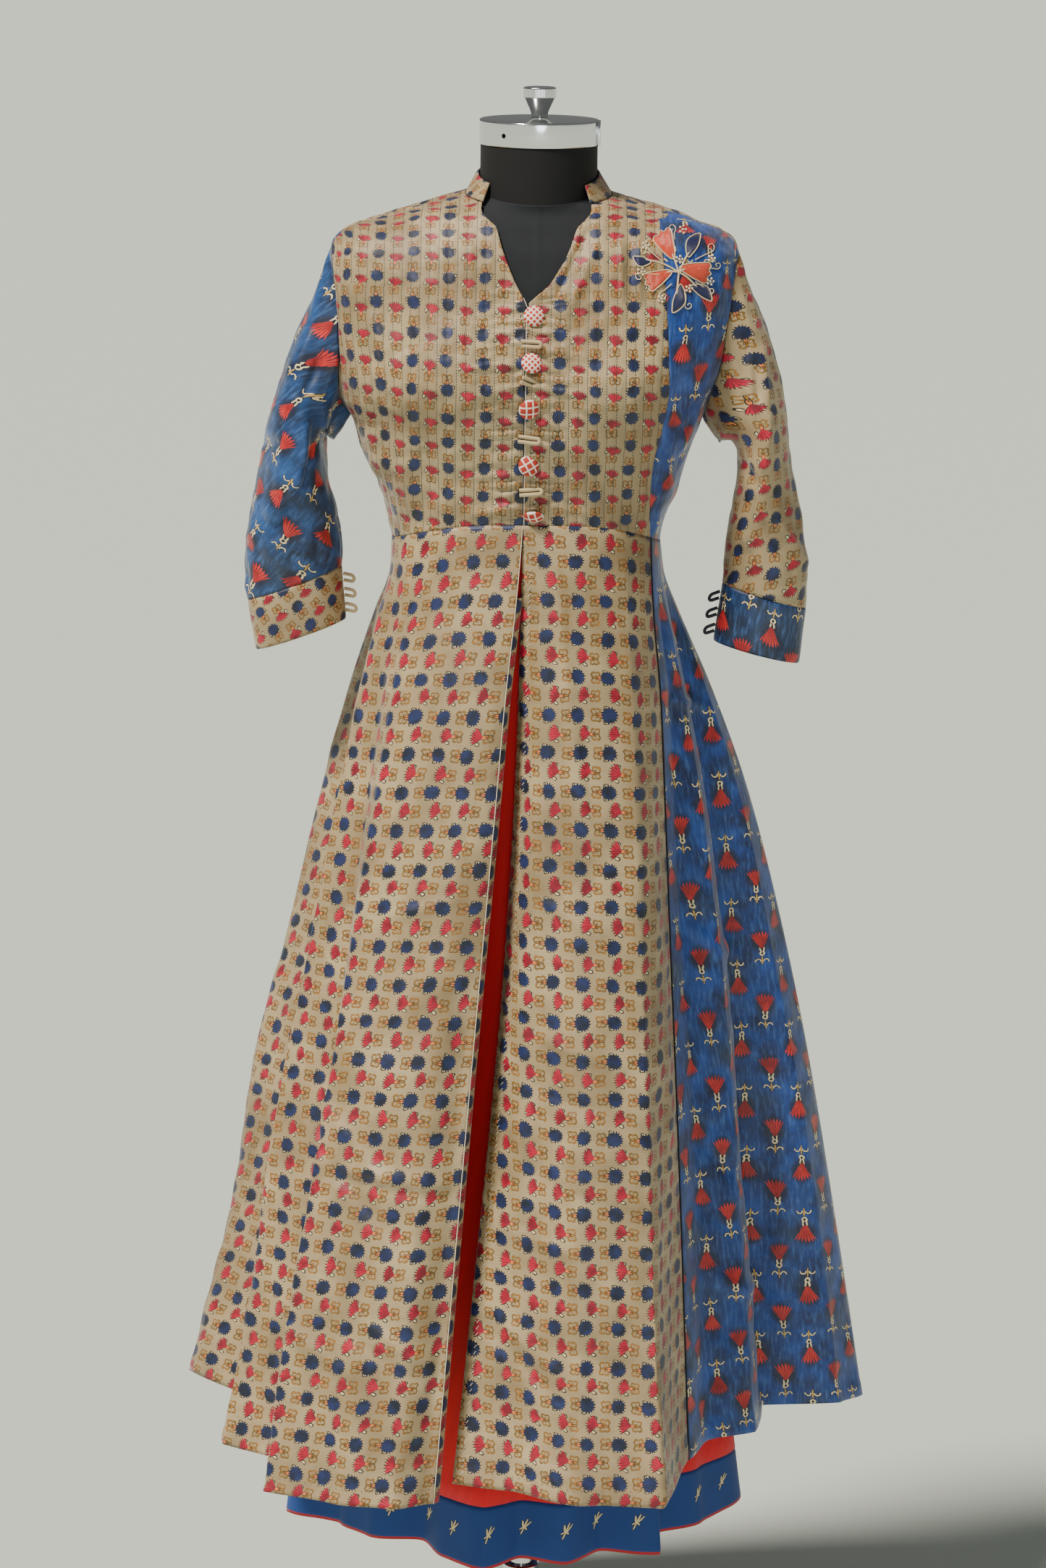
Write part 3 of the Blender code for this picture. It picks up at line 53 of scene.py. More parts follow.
CLOTH = 0.0009
SEAM_GAP = 0.0003
FORM_CLEARANCE = 0.0020
MM = 0.001
STITCH_SPACING = 0.0092

# Stand and form fittings
NECK_RADIUS = 0.0580
NECK_TOP = 1.6345
CAP_RADIUS = 0.0594
CAP_HEIGHT = 0.0245
CAP_DOME = 0.0022
POLE_RADIUS = 0.0127
LOWER_TUBE_RADIUS = 0.0155
LOWER_TUBE_BORE = 0.0132
LOWER_TUBE_TOP = 0.127
POLE_FOOT = 0.070
RING_RADIUS = 0.0185
RING_HEIGHT = 0.026
BASE_RADIUS = 0.165
BASE_THICKNESS = 0.009
BOSS_RADIUS = 0.0260
BOSS_RISE = 0.011
SOCKET_DEPTH = 0.040
FORM_INSET = 0.0030

# Body levels
NECK_SEAM_LEVEL = 1.5835
FORM_TOP_LEVEL = 1.5900
FORM_BOTTOM = 0.945
WAIST_FRONT = 1.2695
WAIST_SIDE_DIP = 0.027
PLACKET_X = -0.0115
UNDERARM_LEVEL = 1.367

FormSection = namedtuple("FormSection", "level half front back squareness lean")
FORM_SECTIONS = [
    FormSection(0.945, 0.132, 0.088, 0.100, 2.3, 0.0),
    FormSection(1.000, 0.146, 0.096, 0.110, 2.3, 0.0),
    FormSection(1.060, 0.150, 0.099, 0.113, 2.3, 0.0),
    FormSection(1.120, 0.140, 0.096, 0.104, 2.3, 0.0),
    FormSection(1.180, 0.124, 0.091, 0.090, 2.3, 0.0),
    FormSection(1.245, 0.1165, 0.090, 0.080, 2.2, 0.0),
    FormSection(1.300, 0.126, 0.096, 0.087, 2.2, 0.0),
    FormSection(1.360, 0.142, 0.106, 0.100, 2.3, 0.0),
    FormSection(1.405, 0.151, 0.112, 0.108, 2.4, 0.0),
    FormSection(1.450, 0.157, 0.107, 0.112, 2.6, 0.0),
    FormSection(1.490, 0.163, 0.097, 0.109, 2.8, 0.0),
    FormSection(1.520, 0.174, 0.088, 0.101, 2.9, 0.0005),
    FormSection(1.540, 0.186, 0.080, 0.092, 2.8, 0.001),
    FormSection(1.5487, 0.178, 0.075, 0.086, 2.6, 0.002),
    FormSection(1.5567, 0.158, 0.071, 0.080, 2.4, 0.003),
    FormSection(1.5645, 0.138, 0.068, 0.075, 2.3, 0.0045),
    FormSection(1.5700, 0.118, 0.0655, 0.072, 2.2, 0.006),
    FormSection(1.5760, 0.096, 0.063, 0.068, 2.1, 0.008),
    FormSection(1.5825, 0.074, 0.0605, 0.062, 2.05, 0.0095),
    FormSection(1.5900, 0.0585, 0.0585, 0.0585, 2.0, 0.012),
]

# How far the gown stands off the form: wearer's right, left, front, back.
Ease = namedtuple("Ease", "level right left front back")
GOWN_EASE = [
    Ease(1.200, 0.0200, 0.0045, 0.012, 0.012),
    Ease(1.245, 0.0235, 0.0070, 0.012, 0.012),
    Ease(1.270, 0.0255, 0.0105, 0.011, 0.014),
    Ease(1.300, 0.0287, 0.0157, 0.010, 0.014),
    Ease(1.330, 0.0362, 0.0162, 0.009, 0.012),
    Ease(1.360, 0.0357, 0.0187, 0.008, 0.010),
    Ease(1.385, 0.0467, 0.0217, 0.007, 0.008),
    Ease(1.405, 0.0497, 0.0277, 0.006, 0.006),
    Ease(1.437, 0.0487, 0.0357, 0.004, 0.003),
    Ease(1.475, 0.0457, 0.0362, 0.002, 0.001),
    Ease(1.512, 0.0350, 0.0270, 0.001, 0.0025),
    Ease(1.530, 0.0230, 0.0167, 0.0005, 0.0028),
    Ease(1.542, 0.0090, 0.0050, 0.0002, 0.0025),
    Ease(1.549, 0.0050, 0.0025, 0.0, 0.0020),
    Ease(1.557, 0.0005, 0.0005, 0.0, 0.0015),
    Ease(1.575, 0.0, 0.0, 0.0, 0.0005),
    Ease(1.600, 0.0, 0.0, 0.0, 0.0),
]
BUST_LEVEL = 1.408
BUST_TURN = 37.0
BUST_RISE = 0.015
BUST_SPREAD_TURN = 21.0
BUST_SPREAD_LEVEL = 0.050

# Seam lines of the bodice, row by row from the waist up; a level of 0.0 in the
# first row is the waist seam's own level, and the opening ends two rows below the shoulder.
BodiceRow = namedtuple(
    "BodiceRow", "opening_level opening_x_right opening_x_left princess_level princess_x "
                 "side_level armhole_front armhole_back")
BODICE_ROWS = [
    BodiceRow(0.0, -0.0115, -0.0115, 0.0, 0.1160, 0.0, 90, 90),
    BodiceRow(1.300, -0.0115, -0.0115, 1.290, 0.1140, 1.270, 90, 90),
    BodiceRow(1.335, -0.0115, -0.0115, 1.320, 0.1160, 1.303, 90, 90),
    BodiceRow(1.370, -0.0115, -0.0115, 1.350, 0.1215, 1.336, 90, 90),
    BodiceRow(1.405, -0.0115, -0.0115, 1.380, 0.1280, 1.367, 90, 90),
    BodiceRow(1.433, -0.0115, -0.0115, 1.405, 0.1305, 1.381, 83, 97),
    BodiceRow(1.461, -0.0115, -0.0115, 1.430, 0.1298, 1.401, 77.5, 103),
    BodiceRow(1.4880, -0.0110, -0.0080, 1.455, 0.1290, 1.430, 74.5, 106),
    BodiceRow(1.5050, -0.0209, 0.0117, 1.482, 0.1270, 1.460, 74.5, 106),
    BodiceRow(1.5310, -0.0318, 0.0276, 1.508, 0.1250, 1.490, 76.5, 104),
    BodiceRow(1.5620, -0.0414, 0.0387, 1.534, 0.1225, 1.517, 79.5, 101),
    BodiceRow(1.5820, -0.0480, 0.0440, 1.556, 0.1195, 1.536, 84, 96),
    BodiceRow(0.0, 0.0, 0.0, 1.5645, 0.1180, 1.544, 88, 92),
    BodiceRow(0.0, 0.0, 0.0, 1.5680, 0.1180, 1.5475, 90, 90),
]
COLLAR_TURN_RIGHT = -54.0
COLLAR_TURN_LEFT = 50.0
HALFWAY_NECK_TURN = 73.0
BACK_SHOULDER_SHARE = 6 / 22
COLLAR_HEIGHT = 0.0200
COLLAR_BACK_RISE = 0.003
COLLAR_TOP_RADIUS = 0.0606

# Hem of the gown: one row for each ridge, valley, edge and seam.
# crease 0 is a soft bend and 1 a pressed one; hang names a column of SKIRT_HANG.
Fold = namedtuple("Fold", "name waist_turn x y z crease hang")
SKIRT_FOLDS = [
    Fold("slit_left_edge", -5.0, -0.0700, -0.2300, 0.321, 0.3, "bowed"),
    Fold("left_front_dip", 6.0, -0.0150, -0.2400, 0.318, 0.2, "straight"),
    Fold("left_front_soft", 22.0, 0.0650, -0.2760, 0.316, 0.0, "straight"),
    Fold("left_front_crease", 48.0, 0.1400, -0.2780, 0.315, 1.0, "straight"),
    Fold("blue_seam", 67.0, 0.1680, -0.1600, 0.324, 0.3, "hip_front"),
    Fold("blue_valley", 73.0, 0.1880, -0.1180, 0.330, 0.0, "hip_front"),
    Fold("blue_ridge_one", 80.0, 0.2380, -0.0950, 0.332, 0.8, "hip_left"),
    Fold("blue_deep_valley", 85.0, 0.2480, -0.0200, 0.335, 0.2, "hip_left"),
    Fold("blue_ridge_two", 92.0, 0.3300, -0.0080, 0.335, 0.4, "hip_left"),
    Fold("back_left_seam", 99.0, 0.3560, 0.0330, 0.330, 0.5, "hip_left"),
    Fold("back_valley_one", 108.0, 0.2720, 0.0850, 0.330, 0.1, "hip_back"),
    Fold("back_ridge_one", 120.0, 0.2880, 0.1850, 0.322, 0.3, "hip_back"),
    Fold("back_valley_two", 134.0, 0.1950, 0.2050, 0.326, 0.0, "hip_back"),
    Fold("back_ridge_two", 148.0, 0.1720, 0.2950, 0.318, 0.4, "hip_back"),
    Fold("back_valley_three", 163.0, 0.0850, 0.2500, 0.322, 0.1, "hip_back"),
    Fold("centre_back_seam", 180.0, 0.0100, 0.3080, 0.315, 0.2, "hip_back"),
    Fold("back_valley_four", 198.0, -0.0820, 0.2560, 0.322, 0.1, "hip_back"),
    Fold("back_ridge_four", 212.0, -0.1620, 0.2950, 0.318, 0.5, "hip_back"),
    Fold("back_valley_five", 227.0, -0.2000, 0.2020, 0.326, 0.0, "hip_back"),
    Fold("back_ridge_five", 242.0, -0.2860, 0.1700, 0.324, 0.3, "hip_back"),
    Fold("side_valley", 254.0, -0.2700, 0.0950, 0.336, 0.1, "hip_right"),
    Fold("side_ridge", 262.0, -0.3510, 0.0500, 0.342, 0.7, "hip_right"),
    Fold("side_seam", 271.0, -0.2800, -0.0200, 0.334, 0.1, "hip_right"),
    Fold("right_ridge_two", 282.0, -0.3060, -0.1180, 0.320, 0.9, "hip_right"),
    Fold("right_valley", 292.0, -0.2420, -0.1620, 0.318, 0.1, "straight"),
    Fold("right_ridge_one", 303.0, -0.2590, -0.2260, 0.309, 0.9, "straight"),
    Fold("right_front_soft", 320.0, -0.1900, -0.2560, 0.308, 0.0, "straight"),
    Fold("right_front_full", 339.0, -0.1350, -0.2700, 0.308, 0.0, "straight"),
    Fold("slit_right_edge", 353.0, -0.0880, -0.2560, 0.309, 0.3, "straight"),
]
SKIRT_STEPS = 12
SKIRT_ROWS = 72

# How far the cloth has swung out from waist to hem at each part of its drop.
Hang = namedtuple("Hang", "drop straight bowed hip_front hip_left hip_right hip_back")
SKIRT_HANG = [
    Hang(0.000, 0.000, 0.000, 0.000, 0.000, 0.000, 0.000),
    Hang(0.035, 0.028, 0.006, 0.020, 0.020, 0.006, 0.030),
    Hang(0.085, 0.080, 0.020, 0.080, 0.095, 0.085, 0.115),
    Hang(0.170, 0.190, 0.040, 0.230, 0.245, 0.205, 0.260),
    Hang(0.290, 0.310, 0.095, 0.350, 0.420, 0.340, 0.390),
    Hang(0.450, 0.470, 0.220, 0.500, 0.590, 0.505, 0.540),
    Hang(0.600, 0.620, 0.400, 0.650, 0.720, 0.662, 0.670),
    Hang(0.800, 0.810, 0.690, 0.830, 0.865, 0.800, 0.830),
    Hang(1.000, 1.000, 1.000, 1.000, 1.000, 1.000, 1.000),
]
FOLD_START = 0.06

# Underskirt: hem points by turn and reach from the pole.
InnerFold = namedtuple("InnerFold", "turn reach z crease")
INNER_FOLDS = [
    InnerFold(-180, 0.200, 0.208, 0.2), InnerFold(-160, 0.172, 0.210, 0.0),
    InnerFold(-142, 0.215, 0.206, 0.3), InnerFold(-122, 0.185, 0.209, 0.0),
    InnerFold(-104, 0.243, 0.206, 0.3), InnerFold(-90, 0.247, 0.205, 0.4),
    InnerFold(-78, 0.192, 0.207, 0.1), InnerFold(-64, 0.176, 0.207, 0.3),
    InnerFold(-48, 0.137, 0.208, 0.0), InnerFold(-33, 0.150, 0.204, 0.3),
    InnerFold(-14, 0.163, 0.202, 0.3), InnerFold(0, 0.132, 0.206, 0.0),
    InnerFold(18, 0.150, 0.204, 0.3), InnerFold(36, 0.134, 0.206, 0.1),
    InnerFold(52, 0.182, 0.204, 0.4), InnerFold(66, 0.150, 0.207, 0.0),
    InnerFold(82, 0.190, 0.208, 0.1), InnerFold(100, 0.236, 0.212, 0.4),
    InnerFold(120, 0.190, 0.209, 0.0), InnerFold(142, 0.218, 0.206, 0.3),
    InnerFold(160, 0.175, 0.210, 0.0), InnerFold(180, 0.200, 0.208, 0.2),
]
INNER_STEPS = 10
INNER_TOP = 1.246
HIP_CLEARANCE = 0.0048
HIP_BLEND = 60.0
INNER_HANG_POWER = 1.25
WAIST_LAYER_GAP = 0.0013
BORDER_DEPTH = 0.066

# Sleeves: outer and inner edge seen from the front, then depth and set back.
SleeveRow = namedtuple("SleeveRow", "outer_x outer_z inner_x inner_z half_depth centre_y")
SLEEVE_RIGHT = [
    SleeveRow(-0.230, 1.473, -0.200, 1.358, 0.060, -0.001),
    SleeveRow(-0.2445, 1.434, -0.209, 1.350, 0.062, -0.002),
    SleeveRow(-0.257, 1.394, -0.2100, 1.336, 0.063, -0.004),
    SleeveRow(-0.268, 1.355, -0.2085, 1.317, 0.062, -0.006),
    SleeveRow(-0.2765, 1.315, -0.206, 1.295, 0.057, -0.008),
    SleeveRow(-0.2830, 1.272, -0.200, 1.271, 0.050, -0.010),
    SleeveRow(-0.2875, 1.230, -0.194, 1.246, 0.041, -0.012),
    SleeveRow(-0.2880, 1.202, -0.1928, 1.229, 0.035, -0.013),
    SleeveRow(-0.2872, 1.1779, -0.1925, 1.2131, 0.030, -0.014),
    SleeveRow(-0.2784, 1.1268, -0.1886, 1.1591, 0.027, -0.016),
]
SLEEVE_LEFT = [
    SleeveRow(0.2205, 1.479, 0.184, 1.358, 0.060, -0.001),
    SleeveRow(0.2325, 1.443, 0.194, 1.348, 0.062, -0.002),
    SleeveRow(0.2430, 1.404, 0.200, 1.334, 0.063, -0.004),
    SleeveRow(0.2505, 1.365, 0.2008, 1.315, 0.061, -0.006),
    SleeveRow(0.2560, 1.328, 0.1990, 1.294, 0.057, -0.008),
    SleeveRow(0.2615, 1.290, 0.1960, 1.272, 0.050, -0.010),
    SleeveRow(0.2680, 1.252, 0.1920, 1.250, 0.042, -0.012),
    SleeveRow(0.2745, 1.214, 0.1900, 1.224, 0.035, -0.013),
    SleeveRow(0.2740, 1.1761, 0.1893, 1.2009, 0.030, -0.014),
    SleeveRow(0.2678, 1.1197, 0.1818, 1.1416, 0.027, -0.016),
]
ARMHOLE_SHARES = (0.45, 0.12)
SLEEVE_ROUND = 120
SLEEVE_ROW_STEPS = 12

# Fastenings, by height on the bodice front; slant turns each button's check.
BUTTON_RADIUS = 0.0104
BUTTON_RISE = 0.0062
Fastening = namedtuple("Fastening", "x z slant")
BUTTONS = [
    Fastening(-0.0030, 1.4757, 48), Fastening(-0.0050, 1.4311, 42), Fastening(-0.0070, 1.3871, 4),
    Fastening(-0.0066, 1.3301, 30), Fastening(-0.0010, 1.2801, 14),
]
Loop = namedtuple("Loop", "x z length slope")
FRONT_LOOPS = [
    Loop(-0.0045, 1.4502, 0.020, 0.0), Loop(-0.0060, 1.4127, 0.021, -22.0),
    Loop(-0.0065, 1.3560, 0.021, -6.0), Loop(-0.0040, 1.3030, 0.022, 5.0),
]
LOOP_SEAT = 0.0009
LOOP_CORD_RADIUS = 0.0019
LOOP_HALF_WIDTH = 0.0025
CUFF_LOOP_REACH = 0.0110
CUFF_LOOP_SPREAD = 0.0033
CUFF_LOOP_CORD = 0.0017
CUFF_LOOP_SEAT = 0.00075
CUFF_LOOP_PLACES = (0.22, 0.50, 0.78)

# Creases: two ends in x and z, seen from the front or the back, then the
# half-width of the trough or ridge and how far it stands out (a trough is below zero).
Crease = namedtuple("Crease", "x0 z0 x1 z1 width rise")
BODICE_CREASES = [
    Crease(-0.078, 1.424, -0.019, 1.434, 0.0032, 0.0018),
    Crease(-0.064, 1.411, -0.015, 1.419, 0.0028, -0.0020),
    Crease(-0.070, 1.398, -0.018, 1.403, 0.0034, 0.0018),
    Crease(-0.060, 1.387, -0.015, 1.396, 0.0024, -0.0018),
    Crease(-0.054, 1.453, -0.019, 1.459, 0.0030, 0.0016),
    Crease(-0.060, 1.441, -0.016, 1.447, 0.0026, -0.0015),
    Crease(-0.058, 1.356, -0.018, 1.362, 0.0030, 0.0014),
    Crease(-0.070, 1.320, -0.026, 1.331, 0.0040, -0.0014),
    Crease(-0.063, 1.279, -0.020, 1.288, 0.0036, 0.0014),
    Crease(-0.045, 1.300, -0.016, 1.305, 0.0026, -0.0013),
    Crease(0.004, 1.446, 0.052, 1.436, 0.0034, 0.0016),
    Crease(0.006, 1.434, 0.050, 1.421, 0.0026, -0.0016),
    Crease(0.004, 1.408, 0.048, 1.400, 0.0030, 0.0015),
    Crease(0.008, 1.392, 0.064, 1.378, 0.0034, -0.0015),
    Crease(0.006, 1.350, 0.052, 1.344, 0.0032, 0.0014),
    Crease(0.010, 1.334, 0.057, 1.325, 0.0030, -0.0015),
    Crease(0.008, 1.292, 0.054, 1.281, 0.0034, 0.0014),
    Crease(0.034, 1.560, 0.004, 1.494, 0.0040, 0.0026),
    Crease(0.050, 1.560, 0.016, 1.490, 0.0036, -0.0022),
    Crease(0.060, 1.552, 0.030, 1.478, 0.0050, 0.0020),
    Crease(0.080, 1.553, 0.083, 1.488, 0.0028, 0.0018),
    Crease(0.090, 1.553, 0.092, 1.490, 0.0030, -0.0020),
    Crease(0.098, 1.553, 0.100, 1.488, 0.0026, 0.0018),
    Crease(-0.150, 1.505, -0.120, 1.440, 0.0080, -0.0030),
    Crease(-0.165, 1.480, -0.140, 1.410, 0.0060, 0.0026),
    Crease(-0.110, 1.345, -0.085, 1.285, 0.0100, -0.0026),
    Crease(-0.130, 1.330, -0.120, 1.270, 0.0070, 0.0024),
    Crease(0.140, 1.470, 0.155, 1.400, 0.0060, 0.0022),
    Crease(0.150, 1.440, 0.135, 1.360, 0.0050, -0.0020),
    Crease(0.118, 1.345, 0.138, 1.300, 0.0050, 0.0018),
    Crease(0.085, 1.345, 0.070, 1.280, 0.0090, -0.0024),
]
BACK_CREASES = [
    Crease(-0.130, 1.500, -0.060, 1.420, 0.0100, -0.0035),
    Crease(0.125, 1.495, 0.065, 1.430, 0.0110, -0.0032),
    Crease(-0.080, 1.330, -0.050, 1.270, 0.0080, 0.0030),
    Crease(0.075, 1.335, 0.045, 1.270, 0.0080, 0.0028),
    Crease(-0.020, 1.310, 0.030, 1.300, 0.0060, -0.0022),
    Crease(-0.110, 1.380, -0.020, 1.360, 0.0070, 0.0022),
    Crease(0.115, 1.400, 0.030, 1.372, 0.0070, 0.0022),
    Crease(-0.150, 1.430, -0.110, 1.370, 0.0060, -0.0024),
    Crease(0.145, 1.430, 0.120, 1.370, 0.0060, -0.0024),
]
SKIRT_CREASES = [
    Crease(-0.110, 1.235, -0.060, 1.120, 0.0070, -0.0024),
    Crease(-0.085, 1.240, -0.045, 1.150, 0.0060, 0.0022),
    Crease(0.020, 1.238, 0.035, 1.100, 0.0080, 0.0026),
    Crease(0.060, 1.240, 0.085, 1.090, 0.0080, -0.0024),
    Crease(-0.150, 0.880, -0.060, 0.910, 0.0050, 0.0020),
    Crease(0.010, 0.905, 0.075, 0.868, 0.0050, 0.0022),
    Crease(0.004, 0.868, 0.065, 0.846, 0.0045, -0.0020),
    Crease(0.012, 0.770, 0.100, 0.742, 0.0050, 0.0024),
    Crease(0.002, 0.722, 0.080, 0.700, 0.0046, -0.0022),
    Crease(0.030, 0.700, 0.130, 0.660, 0.0060, 0.0022),
    Crease(-0.030, 0.580, 0.060, 0.560, 0.0055, 0.0022),
    Crease(-0.250, 0.480, -0.170, 0.430, 0.0070, 0.0028),
    Crease(-0.120, 0.400, -0.060, 0.340, 0.0060, 0.0024),
    Crease(-0.020, 0.360, 0.080, 0.330, 0.0070, 0.0026),
    Crease(0.160, 0.860, 0.225, 0.800, 0.0060, 0.0026),
    Crease(0.170, 0.640, 0.260, 0.560, 0.0070, -0.0026),
    Crease(0.190, 0.500, 0.290, 0.440, 0.0070, 0.0028),
    Crease(-0.213, 0.640, -0.055, 0.624, 0.0060, 0.0026),
    Crease(-0.205, 0.626, -0.070, 0.612, 0.0050, -0.0024),
    Crease(-0.235, 0.685, -0.119, 0.560, 0.0080, -0.0030),
    Crease(-0.215, 0.705, -0.100, 0.585, 0.0070, 0.0026),
    Crease(-0.175, 0.497, -0.089, 0.446, 0.0060, 0.0026),
    Crease(-0.185, 0.480, -0.100, 0.430, 0.0060, -0.0024),
    Crease(-0.053, 0.488, 0.056, 0.399, 0.0070, -0.0026),
    Crease(-0.040, 0.500, 0.070, 0.415, 0.0060, 0.0024),
    Crease(0.020, 0.640, 0.120, 0.605, 0.0060, 0.0022),
    Crease(0.030, 0.470, 0.125, 0.440, 0.0060, -0.0020),
    Crease(-0.110, 1.060, -0.060, 0.960, 0.0080, -0.0026),
    Crease(0.030, 1.120, 0.060, 0.960, 0.0100, 0.0026),
    Crease(0.140, 1.090, 0.190, 1.060, 0.0050, 0.0030),
    Crease(0.146, 1.075, 0.180, 1.040, 0.0050, -0.0030),
]
BACK_SKIRT_CREASES = [
    Crease(-0.190, 0.660, -0.060, 0.630, 0.0070, 0.0026),
    Crease(0.060, 0.610, 0.200, 0.640, 0.0070, 0.0026),
    Crease(-0.120, 0.500, 0.010, 0.460, 0.0070, -0.0026),
    Crease(0.110, 0.520, 0.210, 0.450, 0.0070, -0.0026),
    Crease(-0.020, 0.820, 0.100, 0.790, 0.0080, 0.0022),
]
SLEEVE_CREASES = [
    Crease(-0.226, 1.363, -0.228, 1.317, 0.0040, 0.0030),
    Crease(-0.228, 1.317, -0.243, 1.289, 0.0042, 0.0034),
    Crease(-0.243, 1.289, -0.270, 1.262, 0.0042, 0.0034),
    Crease(-0.270, 1.262, -0.284, 1.236, 0.0040, 0.0028),
    Crease(-0.218, 1.345, -0.230, 1.290, 0.0040, -0.0026),
    Crease(-0.240, 1.276, -0.262, 1.252, 0.0046, -0.0026),
    Crease(-0.205, 1.440, -0.232, 1.385, 0.0060, -0.0030),
    Crease(-0.222, 1.455, -0.245, 1.400, 0.0060, 0.0024),
    Crease(-0.214, 1.300, -0.200, 1.262, 0.0040, 0.0024),
    Crease(-0.275, 1.330, -0.255, 1.345, 0.0050, -0.0022),
    Crease(0.222, 1.442, 0.230, 1.381, 0.0036, 0.0028),
    Crease(0.230, 1.381, 0.229, 1.339, 0.0036, 0.0032),
    Crease(0.229, 1.339, 0.226, 1.318, 0.0034, 0.0024),
    Crease(0.216, 1.430, 0.221, 1.350, 0.0040, -0.0026),
    Crease(0.239, 1.273, 0.275, 1.217, 0.0044, 0.0030),
    Crease(0.226, 1.268, 0.262, 1.214, 0.0048, -0.0026),
    Crease(0.205, 1.405, 0.232, 1.370, 0.0050, 0.0020),
    Crease(0.204, 1.330, 0.222, 1.300, 0.0044, -0.0024),
    Crease(0.205, 1.262, 0.215, 1.235, 0.0040, 0.0022),
]


def rounded_slopes(keys, values):
    """Slopes that carry a smooth line through the rows without overshoot."""
    steps = [(b - a) / (q - p) for a, b, p, q in zip(values, values[1:], keys, keys[1:])]
    slopes = [steps[0]]
    for before, after in zip(steps, steps[1:]):
        slopes.append(0.0 if before * after <= 0 else 2.0 * before * after / (before + after))
    return slopes + [steps[-1]]


@lru_cache(maxsize=None)
def table_column(rows_name, key, column):
    rows = TABLES[rows_name]
    keys = [getattr(row, key) for row in rows]
    values = [getattr(row, column) for row in rows]
    return keys, values, rounded_slopes(keys, values)


@lru_cache(maxsize=200000)
def table_value(rows_name, key, column, at):
    """Smooth value of a table's column at a key."""
    keys, values, slopes = table_column(rows_name, key, column)
    if at <= keys[0]:
        return values[0]
    if at >= keys[-1]:
        return values[-1]
    low = max(i for i in range(len(keys) - 1) if keys[i] <= at)
    span = keys[low + 1] - keys[low]
    t = (at - keys[low]) / span
    start = (2 * t**3 - 3 * t**2 + 1) * values[low] + (t**3 - 2 * t**2 + t) * span * slopes[low]
    end = (3 * t**2 - 2 * t**3) * values[low + 1] + (t**3 - t**2) * span * slopes[low + 1]
    return start + end


TABLES = {"form": FORM_SECTIONS, "ease": GOWN_EASE, "hang": SKIRT_HANG}


def bust_rise(turn, level):
    side = (abs(turn) - BUST_TURN) / BUST_SPREAD_TURN
    height = (level - BUST_LEVEL) / BUST_SPREAD_LEVEL
    return BUST_RISE * math.exp(-side * side - height * height)


def body_point(turn, level, ease=False):
    """Point on the form, or on the gown's resting surface where ease is asked for."""
    turn = (turn + 180.0) % 360.0 - 180.0
    angle = math.radians(turn)
    across, along = math.sin(angle), math.cos(angle)
    half = table_value("form", "level", "half", level)
    depth = table_value("form", "level", "front" if along > 0 else "back", level)
    if ease:
        half += table_value("ease", "level", "left" if across > 0 else "right", level)
        depth += table_value("ease", "level", "front" if along > 0 else "back", level)
    power = table_value("form", "level", "squareness", level)
    radius = ((abs(across) / half) ** power + (abs(along) / depth) ** power) ** (-1.0 / power)
    radius += bust_rise(turn, level)
    lean = table_value("form", "level", "lean", level)
    return Vector((radius * across, -radius * along, level - lean * along))


def gown_rest(turn, level):
    return body_point(turn, level, True)


def surface_normal(surface, turn, level):
    step_turn, step_level = 0.4, 0.0008
    round_way = surface(turn + step_turn, level) - surface(turn - step_turn, level)
    up_way = surface(turn, level + step_level) - surface(turn, level - step_level)
    return round_way.cross(up_way).normalized()


@lru_cache(maxsize=None)
def gown_normal(turn, level):
    normal = surface_normal(gown_rest, turn, level)
    normal.z *= min(max((level - 1.275) / 0.05, 0.0), 1.0)
    return normal.normalized()


def gown_point(turn, level, out=0.0):
    """Outer face of the bodice cloth, moved out along its normal."""
    return gown_rest(turn, level) + gown_normal(turn, level) * (FORM_CLEARANCE + WALL + out)


def waist_level(turn):
    return WAIST_FRONT - WAIST_SIDE_DIP * math.sin(math.radians(turn)) ** 4


@lru_cache(maxsize=None)
def turn_at_x(x, level):
    """Turn on the front of the bodice whose outer point lies at x."""
    low, high = -90.0, 90.0
    for _ in range(20):
        middle = (low + high) / 2.0
        if gown_point(middle, level).x < x:
            low = middle
        else:
            high = middle
    return (low + high) / 2.0


def opening_edge(side):
    """Wearer's right or left front edge: placket, neckline, then collar seam."""
    places = []
    for row in BODICE_ROWS[:-2]:
        x = row.opening_x_right if side < 0 else row.opening_x_left
        level = row.opening_level or waist_level(0.0)
        places.append((turn_at_x(x, level), level))
    end = COLLAR_TURN_RIGHT if side < 0 else COLLAR_TURN_LEFT
    places[-1] = (end, NECK_SEAM_LEVEL)
    places.append((side * HALFWAY_NECK_TURN, NECK_SEAM_LEVEL))
    places.append((side * 90.0, NECK_SEAM_LEVEL))
    return places


def outer_edge(side, back=False):
    """Side seam, armhole and shoulder tip."""
    return [(side * (row.armhole_back if back else row.armhole_front),
             row.side_level or waist_level(90.0)) for row in BODICE_ROWS]


def princess_edge():
    """Seam between the beige front and the blue side panel."""
    places = []
    for row in BODICE_ROWS[:-1]:
        level = row.princess_level or waist_level(turn_at_x(row.princess_x, waist_level(60.0)))
        places.append((turn_at_x(row.princess_x, level), level))
    places.append((90.0, BODICE_ROWS[-1].princess_level))
    return places


def along_edge(edge, share):
    """Turn and level part of the way up a seam line."""
    place = share * (len(edge) - 1)
    index = min(int(place), len(edge) - 2)
    t = place - index
    return (edge[index][0] * (1 - t) + edge[index + 1][0] * t,
            edge[index][1] * (1 - t) + edge[index + 1][1] * t)


